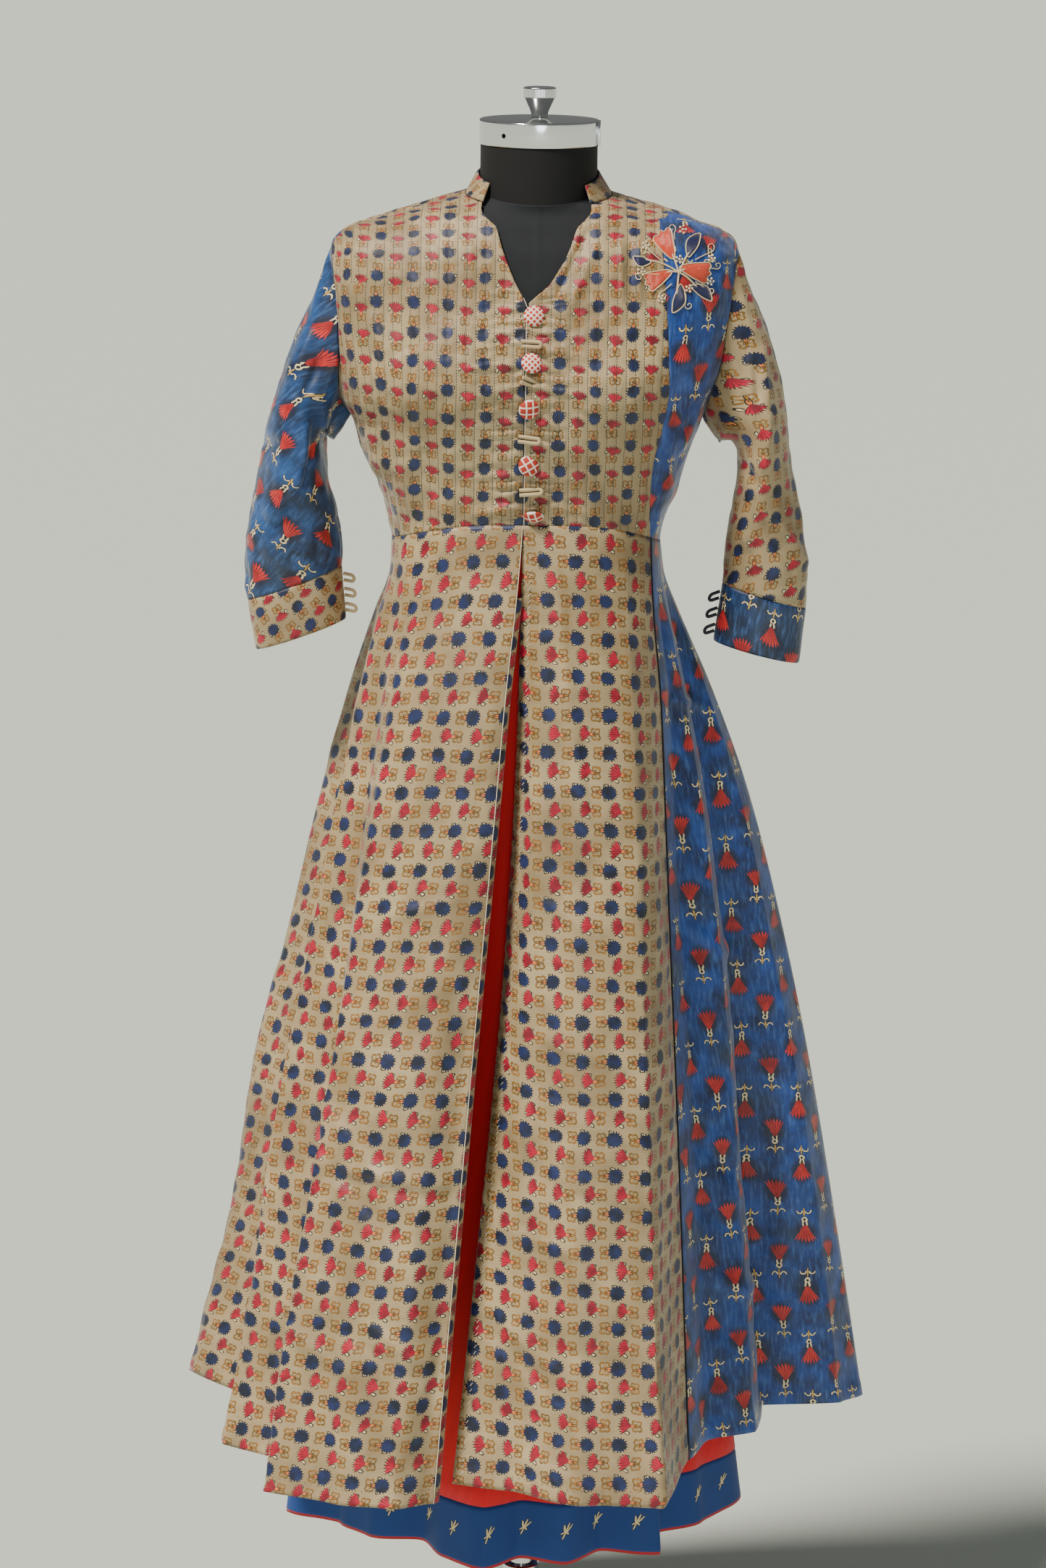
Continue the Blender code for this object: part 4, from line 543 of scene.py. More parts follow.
def front_place(start_edge, end_edge):
    """Turn and level across a front piece, from one seam line to the other."""
    def place(s, t):
        start, end = along_edge(start_edge, t), along_edge(end_edge, t)
        turn = start[0] * (1 - s) + end[0] * s
        level = start[1] * (1 - s) + end[1] * s
        first_row = 1.0 / (len(start_edge) - 1)
        if t < first_row:
            level += (waist_level(turn) - (start_edge[0][1] * (1 - s) + end_edge[0][1] * s)) * (
                1.0 - t / first_row)
        return turn, level
    return place


def back_place():
    """Turn and level across the back piece, between the side seams, the waist and the neck."""
    right, left = outer_edge(-1, back=True), outer_edge(1, back=True)
    foot, crown = right[0][1], right[-1][1]

    def top(u):
        if u < BACK_SHOULDER_SHARE:
            return (-90.0, crown + (NECK_SEAM_LEVEL - crown) * u / BACK_SHOULDER_SHARE)
        if u > 1.0 - BACK_SHOULDER_SHARE:
            return (-270.0, crown + (NECK_SEAM_LEVEL - crown) * (1.0 - u) / BACK_SHOULDER_SHARE)
        neck = (u - BACK_SHOULDER_SHARE) / (1.0 - 2.0 * BACK_SHOULDER_SHARE)
        return (-90.0 - 180.0 * neck, NECK_SEAM_LEVEL)

    def bottom(u):
        turn = -90.0 - 180.0 * u
        return (turn, waist_level(turn))

    def place(u, t):
        start = along_edge(right, t)
        end = along_edge(left, t)
        v = (start[1] - foot) / (crown - foot)
        end = (end[0] - 360.0, end[1])
        found = []
        for axis in (0, 1):
            across = (1 - u) * start[axis] + u * end[axis]
            up = (1 - v) * bottom(u)[axis] + v * top(u)[axis]
            corners = (1 - u) * ((1 - v) * bottom(0)[axis] + v * top(0)[axis])
            corners += u * ((1 - v) * bottom(1)[axis] + v * top(1)[axis])
            found.append(across + up - corners)
        return tuple(found)
    return place


def grid_of(place, columns, rows):
    """Points of a sheet, row by row from its foot, as an array."""
    return np.array([[place(j / columns, i / rows) for j in range(columns + 1)]
                     for i in range(rows + 1)], float)


def refined(points, times, axis):
    """Sheet with more rows or columns, on smooth curves through the points it had."""
    points = np.moveaxis(points, axis, 0)
    padded = np.concatenate([2.0 * points[:1] - points[1:2], points, 2.0 * points[-1:] - points[-2:-1]])
    before, start, end, after = padded[:-3], padded[1:-2], padded[2:-1], padded[3:]
    parts = []
    for step in range(times):
        t = step / times
        parts.append(0.5 * (2.0 * start + (end - before) * t
                            + (2.0 * before - 5.0 * start + 4.0 * end - after) * t**2
                            + (3.0 * start - before - 3.0 * end + after) * t**3))
    finer = np.stack(parts, axis=1).reshape(-1, *points.shape[1:])
    return np.moveaxis(np.concatenate([finer, points[-1:]]), 0, axis)


def grid_normals(points, outward):
    """Unit normals of a sheet, turned to the side that outward points to."""
    across = np.gradient(points, axis=1)
    if np.allclose(points[:, 0], points[:, -1]):
        across[:, 0] = across[:, -1] = points[:, 1] - points[:, -2]
    normals = np.cross(across, np.gradient(points, axis=0))
    normals /= np.linalg.norm(normals, axis=2, keepdims=True) + 1e-12
    agree = np.sum(normals * outward, axis=2).mean()
    return normals if agree > 0 else -normals


def crease_relief(points, creases, front):
    """Soft troughs and ridges, each fading out at its two ends, on the front or the back."""
    x, y, z = points[..., 0], points[..., 1], points[..., 2]
    relief = np.zeros(x.shape)
    facing = 1.0 / (1.0 + np.exp((y if front else -y) / 0.008))
    for crease in creases:
        along = np.array([crease.x1 - crease.x0, crease.z1 - crease.z0])
        length = np.hypot(*along)
        along /= length
        dx, dz = x - crease.x0, z - crease.z0
        run = (dx * along[0] + dz * along[1]) / length
        aside = (dz * along[0] - dx * along[1]) / crease.width
        fade = np.clip(run * (1.0 - run) * 4.0, 0.0, 1.0) ** 0.6
        relief += crease.rise * np.exp(-aside**2) * fade
    return relief * facing


def ripple(points, size, stretch, height, seed):
    """Small uneven hills in the cloth, size apart, drawn out upwards by stretch."""
    relief = np.zeros(points.shape[:2])
    for i, row in enumerate(points):
        for j, (x, y, z) in enumerate(row):
            relief[i, j] = noise.noise(Vector((x / size, y / size, z / size / stretch + seed)))
    return relief * height


def cloth_uv(points, middle_column):
    """Cloth measure of each point in metres: across from a column, and up from the foot."""
    across = np.linalg.norm(np.diff(points, axis=1), axis=2)
    across = np.concatenate([np.zeros((len(points), 1)), np.cumsum(across, axis=1)], axis=1)
    across -= across[:, middle_column:middle_column + 1]
    up = np.linalg.norm(np.diff(points[:, middle_column], axis=0), axis=1)
    up = np.concatenate([[0.0], np.cumsum(up)])
    return np.stack([across, np.broadcast_to(up[:, None], across.shape)], axis=2)


def sheet_mesh(name, points, uv, closed_round=False):
    """Grid primitive laid on the points, with its cloth measure as its UV map."""
    rows, columns = points.shape[0] - 1, points.shape[1] - 1
    mesh = bmesh.new()
    bmesh.ops.create_grid(mesh, x_segments=columns, y_segments=rows, size=1.0)
    layer = mesh.loops.layers.uv.new("cloth")
    places = {}
    for vert in mesh.verts:
        column = round((vert.co.x + 1.0) / 2.0 * columns)
        row = round((vert.co.y + 1.0) / 2.0 * rows)
        places[vert] = (row, column)
    for face in mesh.faces:
        for loop in face.loops:
            loop[layer].uv = uv[places[loop.vert]]
        face.smooth = True
    for vert, place in places.items():
        vert.co = points[place]
    if closed_round:
        bmesh.ops.remove_doubles(mesh, verts=mesh.verts[:], dist=1e-6)
    data = bpy.data.meshes.new(name)
    mesh.to_mesh(data)
    mesh.free()
    return data


def flip_if_inward(data, outward_of):
    """Turn the faces over where the sheet's first side is its inner side."""
    agree = sum(face.normal.dot(outward_of(face.center)) for face in data.polygons)
    if agree < 0:
        data.flip_normals()


def add_piece(name, data, material, body, replaced, slot, thickness=0.0):
    """Finished piece: its material, its wall, the body it moves with and what it stands for."""
    piece = bpy.data.objects.new(name, data)
    bpy.context.scene.collection.objects.link(piece)
    if material is not None:
        data.materials.append(material)
    if thickness:
        wall = piece.modifiers.new("wall", "SOLIDIFY")
        wall.thickness = thickness
        wall.offset = -1.0
    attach(piece, body)
    if replaced:
        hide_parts(*replaced)
    return piece


def away_from_body(centre):
    return Vector((centre.x, centre.y, 0.0)).normalized()


def add_cloth(name, points, relief, uv, material, slot, replaced, closed_round=False,
              outward=None, thickness=CLOTH):
    """Cloth sheet on its solid's form: relief moves it in and out, a wall gives it thickness."""
    outward = outward or away_from_body
    directions = np.array([[outward(Vector(point)) for point in row] for row in points])
    moved = points + grid_normals(points, directions) * relief[..., None]
    data = sheet_mesh(name, moved, uv, closed_round)
    flip_if_inward(data, outward)
    return add_piece(name, data, material, "form", replaced, slot, thickness)


# Colours and material nodes


def colour(hex_code):
    """Linear colour of an sRGB hex code."""
    parts = [int(hex_code[i:i + 2], 16) / 255.0 for i in (1, 3, 5)]
    linear = [c / 12.92 if c <= 0.04045 else ((c + 0.055) / 1.055) ** 2.4 for c in parts]
    return (*linear, 1.0)


def add_node(tree, kind, inputs=None, **settings):
    """One node with its settings, its values and its links."""
    node = tree.nodes.new(kind)
    for name, value in settings.items():
        setattr(node, name, value)
    for key, value in (inputs or {}).items():
        if isinstance(value, bpy.types.NodeSocket):
            tree.links.new(value, node.inputs[key])
        else:
            node.inputs[key].default_value = value
    return node


def new_material(name, roughness, sheen=0.0, metallic=0.0):
    material = bpy.data.materials.new(name)
    material.use_nodes = True
    shader = material.node_tree.nodes["Principled BSDF"]
    shader.inputs["Roughness"].default_value = roughness
    shader.inputs["Metallic"].default_value = metallic
    shader.inputs["Sheen Weight"].default_value = sheen
    shader.inputs["Sheen Roughness"].default_value = 0.4
    return material, material.node_tree, shader


def over(tree, below, above, mask):
    """Colour above where the mask is 1, colour below elsewhere."""
    mix = add_node(tree, "ShaderNodeMix", {0: mask, 6: below, 7: above}, data_type="RGBA")
    return mix.outputs[2]


def cloth_millimetres(tree, turn=0.0):
    """The piece's own cloth measure in millimetres, turned for cloth cut the other way."""
    uv = add_node(tree, "ShaderNodeUVMap", uv_map="cloth")
    place = add_node(tree, "ShaderNodeMapping", {
        "Vector": uv.outputs["UV"], "Rotation": (0.0, 0.0, math.radians(turn)),
        "Scale": (1000.0, 1000.0, 1000.0)}, vector_type="POINT")
    return place.outputs["Vector"]


def repeat_cells(tree, place, pitch_x, pitch_y, stagger):
    """Millimetres from the middle of each repeat, and 1 on every other row."""
    axes = add_node(tree, "ShaderNodeSeparateXYZ", {"Vector": place})
    row = add_node(tree, "ShaderNodeMath", {0: axes.outputs["Y"], 1: pitch_y}, operation="DIVIDE")
    row = add_node(tree, "ShaderNodeMath", {0: row.outputs[0]}, operation="FLOOR")
    odd = add_node(tree, "ShaderNodeMath", {0: row.outputs[0], 1: 2.0}, operation="FLOORED_MODULO")
    shift = add_node(tree, "ShaderNodeMath", {
        0: odd.outputs[0], 1: pitch_x * stagger, 2: axes.outputs["X"]}, operation="MULTIPLY_ADD")
    local = []
    for value, pitch in ((shift.outputs[0], pitch_x), (axes.outputs["Y"], pitch_y)):
        wrapped = add_node(tree, "ShaderNodeMath", {0: value, 1: pitch}, operation="FLOORED_MODULO")
        centred = add_node(tree, "ShaderNodeMath", {0: wrapped.outputs[0], 1: pitch / 2}, operation="SUBTRACT")
        local.append(centred.outputs[0])
    return local[0], local[1], odd.outputs[0]


def inside(tree, place, x, y, half_length, half_width, turn):
    """A shape's own coordinates, 1 long at its rim."""
    return add_node(tree, "ShaderNodeMapping", {
        "Vector": place, "Location": (x, y, 0.0), "Rotation": (0.0, 0.0, math.radians(turn)),
        "Scale": (half_length, half_width, 1.0)}, vector_type="TEXTURE").outputs["Vector"]


def ellipse(tree, place, x, y, half_length, half_width, turn=0.0):
    local = inside(tree, place, x, y, half_length, half_width, turn)
    reach = add_node(tree, "ShaderNodeVectorMath", {0: local}, operation="LENGTH")
    return add_node(tree, "ShaderNodeMath", {0: reach.outputs["Value"], 1: 1.0}, operation="LESS_THAN").outputs[0]


def curl(tree, place, x, y, radius, thickness, turn, opening=-0.45):
    """Open ring, cut off behind its opening; turn points the closed side."""
    local = inside(tree, place, x, y, radius, radius, turn)
    reach = add_node(tree, "ShaderNodeVectorMath", {0: local}, operation="LENGTH")
    band = add_node(tree, "ShaderNodeMath", {
        0: reach.outputs["Value"], 1: 1.0, 2: thickness / radius / 2.0}, operation="COMPARE")
    side = add_node(tree, "ShaderNodeSeparateXYZ", {"Vector": local})
    closed = add_node(tree, "ShaderNodeMath", {0: side.outputs["X"], 1: opening}, operation="GREATER_THAN")
    return add_node(tree, "ShaderNodeMath", {0: band.outputs[0], 1: closed.outputs[0]}, operation="MULTIPLY").outputs[0]


def fan(tree, place, x, y, radius, half_angle, turn, rays, scallop):
    """Fan of petals from its apex: mask of the fan, and of the dark lines between petals."""
    local = inside(tree, place, x, y, radius, radius, turn)
    axes = add_node(tree, "ShaderNodeSeparateXYZ", {"Vector": local})
    reach = add_node(tree, "ShaderNodeVectorMath", {0: local}, operation="LENGTH").outputs["Value"]
    angle = add_node(tree, "ShaderNodeMath", {0: axes.outputs["Y"], 1: axes.outputs["X"]}, operation="ARCTAN2")
    beat = add_node(tree, "ShaderNodeMath", {
        0: angle.outputs[0], 1: rays * math.pi / math.radians(half_angle)}, operation="MULTIPLY")
    wave = add_node(tree, "ShaderNodeMath", {0: beat.outputs[0]}, operation="COSINE").outputs[0]
    rim = add_node(tree, "ShaderNodeMath", {0: wave, 1: scallop, 2: 1.0 - scallop}, operation="MULTIPLY_ADD")
    near = add_node(tree, "ShaderNodeMath", {0: reach, 1: rim.outputs[0]}, operation="LESS_THAN")
    spread = add_node(tree, "ShaderNodeMath", {
        0: angle.outputs[0], 1: 0.0, 2: math.radians(half_angle)}, operation="COMPARE")
    mask = add_node(tree, "ShaderNodeMath", {0: near.outputs[0], 1: spread.outputs[0]}, operation="MULTIPLY")
    between = add_node(tree, "ShaderNodeMath", {0: wave, 1: -0.72}, operation="LESS_THAN")
    lines = add_node(tree, "ShaderNodeMath", {0: between.outputs[0], 1: mask.outputs[0]}, operation="MULTIPLY")
    return mask.outputs[0], lines.outputs[0]


def woven_bump(tree, place, shader, thread, depth, slub=0.0):
    """Raised threads both ways, drawn coarse enough to show, over a slight slub."""
    heights = []
    for axis in ("X", "Y"):
        wave = add_node(tree, "ShaderNodeTexWave", {
            "Vector": place, "Scale": math.pi / 10.0 / thread, "Distortion": 0.6, "Detail": 1.0},
            bands_direction=axis)
        heights.append(wave.outputs["Fac"])
    woven = add_node(tree, "ShaderNodeMath", {0: heights[0], 1: heights[1]}, operation="MAXIMUM")
    unevenness = add_node(tree, "ShaderNodeTexNoise", {"Vector": place, "Scale": 0.11, "Detail": 4.0})
    height = add_node(tree, "ShaderNodeMath", {
        0: unevenness.outputs["Fac"], 1: slub, 2: woven.outputs[0]}, operation="MULTIPLY_ADD")
    bump = add_node(tree, "ShaderNodeBump", {
        "Height": height.outputs[0], "Distance": depth, "Strength": 0.5})
    tree.links.new(bump.outputs["Normal"], shader.inputs["Normal"])


def beige_ground(tree, place):
    """Undyed tussar silk: warm beige with paler and greener patches and fine slub lines."""
    patches = add_node(tree, "ShaderNodeTexNoise", {"Vector": place, "Scale": 0.013, "Detail": 4.0})
    share = add_node(tree, "ShaderNodeMapRange", {0: patches.outputs["Fac"], 1: 0.34, 2: 0.66}).outputs[0]
    tone = over(tree, colour("#8d7856"), colour("#b7a27c"), share)
    stretched = add_node(tree, "ShaderNodeMapping", {
        "Vector": place, "Scale": (0.02, 0.9, 1.0)}, vector_type="POINT")
    slub = add_node(tree, "ShaderNodeTexNoise", {
        "Vector": stretched.outputs["Vector"], "Scale": 1.0, "Detail": 2.0})
    lines = add_node(tree, "ShaderNodeMapRange", {
        0: slub.outputs["Fac"], 1: 0.52, 2: 0.75, 3: 0.0, 4: 0.32})
    return over(tree, tone, colour("#8a7349"), lines.outputs[0])


def hand_blocked(tree, place, drift, fray):
    """Print a little out of true, as wooden blocks leave it: rows drift and edges fray (mm)."""
    wander = add_node(tree, "ShaderNodeTexNoise", {"Vector": place, "Scale": 0.022, "Detail": 1.0})
    moved = add_node(tree, "ShaderNodeVectorMath", {
        0: wander.outputs["Color"], 1: (drift, drift, 0.0), 2: place}, operation="MULTIPLY_ADD")
    rough = add_node(tree, "ShaderNodeTexNoise", {"Vector": place, "Scale": 0.42, "Detail": 2.0})
    frayed = add_node(tree, "ShaderNodeVectorMath", {
        0: rough.outputs["Color"], 1: (fray, fray, 0.0), 2: moved.outputs[0]}, operation="MULTIPLY_ADD")
    return frayed.outputs[0]


def both(tree, first, second):
    """Where two masks overlap."""
    return add_node(tree, "ShaderNodeMath", {0: first, 1: second}, operation="MULTIPLY").outputs[0]


def buta_print(tree, ground, place, pitch_x, pitch_y, stagger, scale=1.0):
    """Small flower sprigs in rows: red ones and slate ones turn opposite ways."""
    place = hand_blocked(tree, place, 9.0, 1.6)
    x, y, odd = repeat_cells(tree, place, pitch_x, pitch_y, stagger)
    even = add_node(tree, "ShaderNodeMath", {0: 1.0, 1: odd}, operation="SUBTRACT").outputs[0]
    way = add_node(tree, "ShaderNodeMath", {0: odd, 1: -2.0, 2: 1.0}, operation="MULTIPLY_ADD")
    facing = add_node(tree, "ShaderNodeMath", {0: x, 1: way.outputs[0]}, operation="MULTIPLY")
    local = add_node(tree, "ShaderNodeCombineXYZ", {"X": facing.outputs[0], "Y": y})
    local = add_node(tree, "ShaderNodeMapping", {
        "Vector": local.outputs["Vector"], "Scale": (1 / scale, 1 / scale, 1.0)}, vector_type="POINT")
    local = local.outputs["Vector"]
    dye = add_node(tree, "ShaderNodeTexNoise", {"Vector": place, "Scale": 0.07, "Detail": 3.0})
    strength = add_node(tree, "ShaderNodeMapRange", {0: dye.outputs["Fac"], 1: 0.38, 2: 0.62}).outputs[0]
    olive, cream = colour("#2c2a1a"), colour("#d9c49a")
    gold = over(tree, colour("#c47c10"), colour("#8a6210"), strength)
    tone = ground
    for y_side in (-1.0, 1.0):
        sepal = ellipse(tree, local, -2.6, y_side * 6.6, 2.9, 2.0, y_side * 24.0)
        tone = over(tree, tone, olive, sepal)
        tone = over(tree, tone, cream, ellipse(tree, local, -2.8, y_side * 6.6, 1.9, 1.1, y_side * 24.0))
        stalk = ellipse(tree, local, 5.6, y_side * 1.6, 2.8, 0.9, y_side * 34.0)
        tone = over(tree, tone, olive, stalk)
        for loop_x, loop_y, reach, lean in ((4.9, 4.0, 1.7, 125.0), (9.4, 3.3, 2.1, 40.0)):
            outer = curl(tree, local, loop_x, y_side * loop_y, reach, 1.6, y_side * lean, -0.30)
            inner = curl(tree, local, loop_x, y_side * loop_y, reach, 0.8, y_side * lean, -0.20)
            tone = over(tree, tone, olive, outer)
            tone = over(tree, tone, gold, inner)
        tone = over(tree, tone, gold, ellipse(tree, local, 6.2, y_side * 2.0, 2.6, 0.5, y_side * 34.0))
    tone = over(tree, tone, olive, ellipse(tree, local, 8.0, 0.0, 3.4, 1.2))
    tone = over(tree, tone, gold, ellipse(tree, local, 8.0, 0.0, 2.6, 0.6))
    tone = over(tree, tone, olive, ellipse(tree, local, 2.8, 0.0, 3.7, 2.2))
    tone = over(tree, tone, colour("#e0803e"), ellipse(tree, local, 2.8, 0.0, 3.0, 1.5))
    tone = over(tree, tone, olive, ellipse(tree, local, 4.6, 0.0, 1.0, 0.6))
    spikes, _ = fan(tree, local, 1.6, 0.0, 13.2, 54.0, 168.0, 9.0, 0.17)
    petals, folds = fan(tree, local, 1.6, 0.0, 11.6, 50.0, 168.0, 5.0, 0.07)
    tone = over(tree, tone, colour("#43151d"), both(tree, spikes, even))
    crimson = over(tree, colour("#c41034"), colour("#7d0a22"), strength)
    tone = over(tree, tone, crimson, both(tree, petals, even))
    tone = over(tree, tone, colour("#6d0f20"), both(tree, folds, even))
    spikes, _ = fan(tree, local, -5.4, 0.0, 8.4, 180.0, 0.0, 17.0, 0.13)
    disc, _ = fan(tree, local, -5.4, 0.0, 7.0, 180.0, 0.0, 9.0, 0.05)
    tone = over(tree, tone, colour("#10182c"), both(tree, spikes, odd))
    slate = over(tree, colour("#1a2857"), colour("#10182b"), strength)
    return over(tree, tone, slate, both(tree, disc, odd))


def stitch_lines(tree, tone, place, spacing, stitch):
    """Running stitch in dark thread: upright lines, each thread showing and hiding in turn."""
    axes = add_node(tree, "ShaderNodeSeparateXYZ", {"Vector": place})
    across = add_node(tree, "ShaderNodeMath", {0: axes.outputs["X"], 1: spacing}, operation="FLOORED_MODULO")
    line = add_node(tree, "ShaderNodeMath", {
        0: across.outputs[0], 1: spacing / 2.0, 2: 0.40}, operation="COMPARE")
    row = add_node(tree, "ShaderNodeMath", {0: axes.outputs["X"], 1: spacing}, operation="DIVIDE")
    row = add_node(tree, "ShaderNodeMath", {0: row.outputs[0]}, operation="FLOOR")
    offset = add_node(tree, "ShaderNodeMath", {
        0: row.outputs[0], 1: stitch * 0.37, 2: axes.outputs["Y"]}, operation="MULTIPLY_ADD")
    along = add_node(tree, "ShaderNodeMath", {0: offset.outputs[0], 1: stitch}, operation="FLOORED_MODULO")
    shown = add_node(tree, "ShaderNodeMath", {0: along.outputs[0], 1: stitch * 0.62}, operation="LESS_THAN")
    mask = add_node(tree, "ShaderNodeMath", {0: line.outputs[0], 1: shown.outputs[0]}, operation="MULTIPLY")
    return over(tree, tone, colour("#2a3226"), mask.outputs[0])


def hem_stitch_line(tree, tone, height):
    """Small stitches that hold the hem, seen as short dark marks in a line."""
    axes = add_node(tree, "ShaderNodeSeparateXYZ", {"Vector": cloth_millimetres(tree)})
    line = add_node(tree, "ShaderNodeMath", {0: axes.outputs["Y"], 1: height, 2: 0.35}, operation="COMPARE")
    along = add_node(tree, "ShaderNodeMath", {0: axes.outputs["X"], 1: 7.0}, operation="FLOORED_MODULO")
    shown = add_node(tree, "ShaderNodeMath", {0: along.outputs[0], 1: 1.6}, operation="LESS_THAN")
    mask = add_node(tree, "ShaderNodeMath", {0: line.outputs[0], 1: shown.outputs[0]}, operation="MULTIPLY")
    return over(tree, tone, colour("#5b4a35"), mask.outputs[0])


def beige_silk(name, turn=0.0, pitch_x=31.0, pitch_y=19.0, stitched=False, scale=1.0, hem_stitch=False):
    """Printed tussar silk: a soft lustre, roughness about 0.5, with a faint sheen."""
    material, tree, shader = new_material(name, 0.52, sheen=0.25)
    place = cloth_millimetres(tree, turn)
    tone = buta_print(tree, beige_ground(tree, place), place, pitch_x, pitch_y, 0.5, scale)
    if hem_stitch:
        tone = hem_stitch_line(tree, tone, 15.0)
    if stitched:
        tone = stitch_lines(tree, tone, cloth_millimetres(tree), STITCH_SPACING / MM, 2.6)
    tree.links.new(tone, shader.inputs["Base Color"])
    woven_bump(tree, place, shader, 0.9, 0.00012, 1.5)
    return material


def blue_ground(tree, place, light, dark):
    """Hand-dyed blue: royal blue washed over navy and slate in soft clouds, with brushed streaks."""
    clouds = add_node(tree, "ShaderNodeTexNoise", {
        "Vector": place, "Scale": 0.026, "Detail": 4.0, "Roughness": 0.62})
    washed = add_node(tree, "ShaderNodeMapRange", {0: clouds.outputs["Fac"], 1: 0.36, 2: 0.62}).outputs[0]
    tone = over(tree, colour(dark), colour(light), washed)
    smoke = add_node(tree, "ShaderNodeTexNoise", {"Vector": place, "Scale": 0.017, "Detail": 3.0})
    smoky = add_node(tree, "ShaderNodeMapRange", {
        0: smoke.outputs["Fac"], 1: 0.52, 2: 0.70, 3: 0.0, 4: 0.75}).outputs[0]
    tone = over(tree, tone, colour("#2b3849"), smoky)
    streaks = add_node(tree, "ShaderNodeMapping", {
        "Vector": place, "Scale": (0.30, 0.06, 1.0)}, vector_type="POINT")
    streak = add_node(tree, "ShaderNodeTexNoise", {
        "Vector": streaks.outputs["Vector"], "Scale": 1.0, "Detail": 4.0})
    faint = add_node(tree, "ShaderNodeMapRange", {
        0: streak.outputs["Fac"], 1: 0.48, 2: 0.80, 3: 0.0, 4: 0.42}).outputs[0]
    return over(tree, tone, colour("#5f8fd6"), faint)


def bell_print(tree, ground, place):
    """Red bell flowers on cream stems with two curls, columns upright and hanging in turn."""
    place = hand_blocked(tree, place, 8.0, 2.0)
    turned = add_node(tree, "ShaderNodeMapping", {
        "Vector": place, "Rotation": (0.0, 0.0, math.radians(90.0))}, vector_type="POINT")
    along, aside, odd = repeat_cells(tree, turned.outputs["Vector"], 66.0, 27.5, 0.5)
    way = add_node(tree, "ShaderNodeMath", {0: odd, 1: -2.0, 2: 1.0}, operation="MULTIPLY_ADD")
    facing = add_node(tree, "ShaderNodeMath", {0: along, 1: way.outputs[0]}, operation="MULTIPLY")
    local = add_node(tree, "ShaderNodeCombineXYZ", {"X": facing.outputs[0], "Y": aside}).outputs["Vector"]
    navy, cream, gold = colour("#0c1226"), colour("#f0dcae"), colour("#dcae57")
    dye = add_node(tree, "ShaderNodeTexNoise", {"Vector": place, "Scale": 0.06, "Detail": 3.0})
    strength = add_node(tree, "ShaderNodeMapRange", {0: dye.outputs["Fac"], 1: 0.38, 2: 0.62}).outputs[0]
    halo = add_node(tree, "ShaderNodeVectorMath", {
        0: inside(tree, local, -6.5, 0.0, 15.0, 13.5, 0.0)}, operation="LENGTH").outputs["Value"]
    halo = add_node(tree, "ShaderNodeMapRange", {0: halo, 1: 1.0, 2: 0.62, 3: 0.0, 4: 0.8}).outputs[0]
    tone = over(tree, ground, colour("#1c1a28"), halo)
    petals, folds = fan(tree, local, 4.0, 0.0, 20.5, 31.0, 180.0, 6.0, 0.10)
    tone = over(tree, tone, over(tree, colour("#dd2f2c"), colour("#a3161e"), strength), petals)
    tone = over(tree, tone, colour("#4c0d16"), folds)
    tone = over(tree, tone, navy, ellipse(tree, local, 6.2, 0.0, 4.9, 3.3))
    tone = over(tree, tone, cream, curl(tree, local, 7.4, 0.0, 2.2, 1.5, 0.0, -0.9))
    for side in (-1.0, 1.0):
        tone = over(tree, tone, cream, ellipse(tree, local, 3.9, side * 1.8, 3.0, 0.8, side * -14.0))
    tone = over(tree, tone, navy, ellipse(tree, local, 15.8, 0.0, 5.4, 1.3))
    tone = over(tree, tone, gold, ellipse(tree, local, 15.8, 0.0, 4.9, 0.7))
    for side in (-1.0, 1.0):
        tone = over(tree, tone, navy, curl(tree, local, 17.2, side * 4.4, 2.9, 2.2, 180.0, 0.0))
        tone = over(tree, tone, cream, curl(tree, local, 17.2, side * 4.4, 2.9, 1.2, 180.0, 0.0))
    return tone


def blue_silk(name, light="#3462ad", dark="#1b3468", turn=0.0):
    """Printed mulberry silk: smoother than the beige, so its folds catch a longer highlight."""
    material, tree, shader = new_material(name, 0.46, sheen=0.3)
    place = cloth_millimetres(tree, turn)
    tree.links.new(bell_print(tree, blue_ground(tree, place, light, dark), place), shader.inputs["Base Color"])
    woven_bump(tree, place, shader, 0.9, 0.0001, 1.0)
    return material


def red_cotton():
    """Dyed cotton lawn: matte, a strong red with slightly darker streaks along its folds."""
    material, tree, shader = new_material("red_cotton_lawn", 0.78, sheen=0.15)
    place = cloth_millimetres(tree)
    streaks = add_node(tree, "ShaderNodeMapping", {"Vector": place, "Scale": (0.12, 0.006, 1.0)}, vector_type="POINT")
    streak = add_node(tree, "ShaderNodeTexNoise", {"Vector": streaks.outputs["Vector"], "Scale": 1.0, "Detail": 3.0})
    tree.links.new(over(tree, colour("#f0061a"), colour("#c00414"), streak.outputs["Fac"]), shader.inputs["Base Color"])
    woven_bump(tree, place, shader, 0.8, 0.00012)
    return material


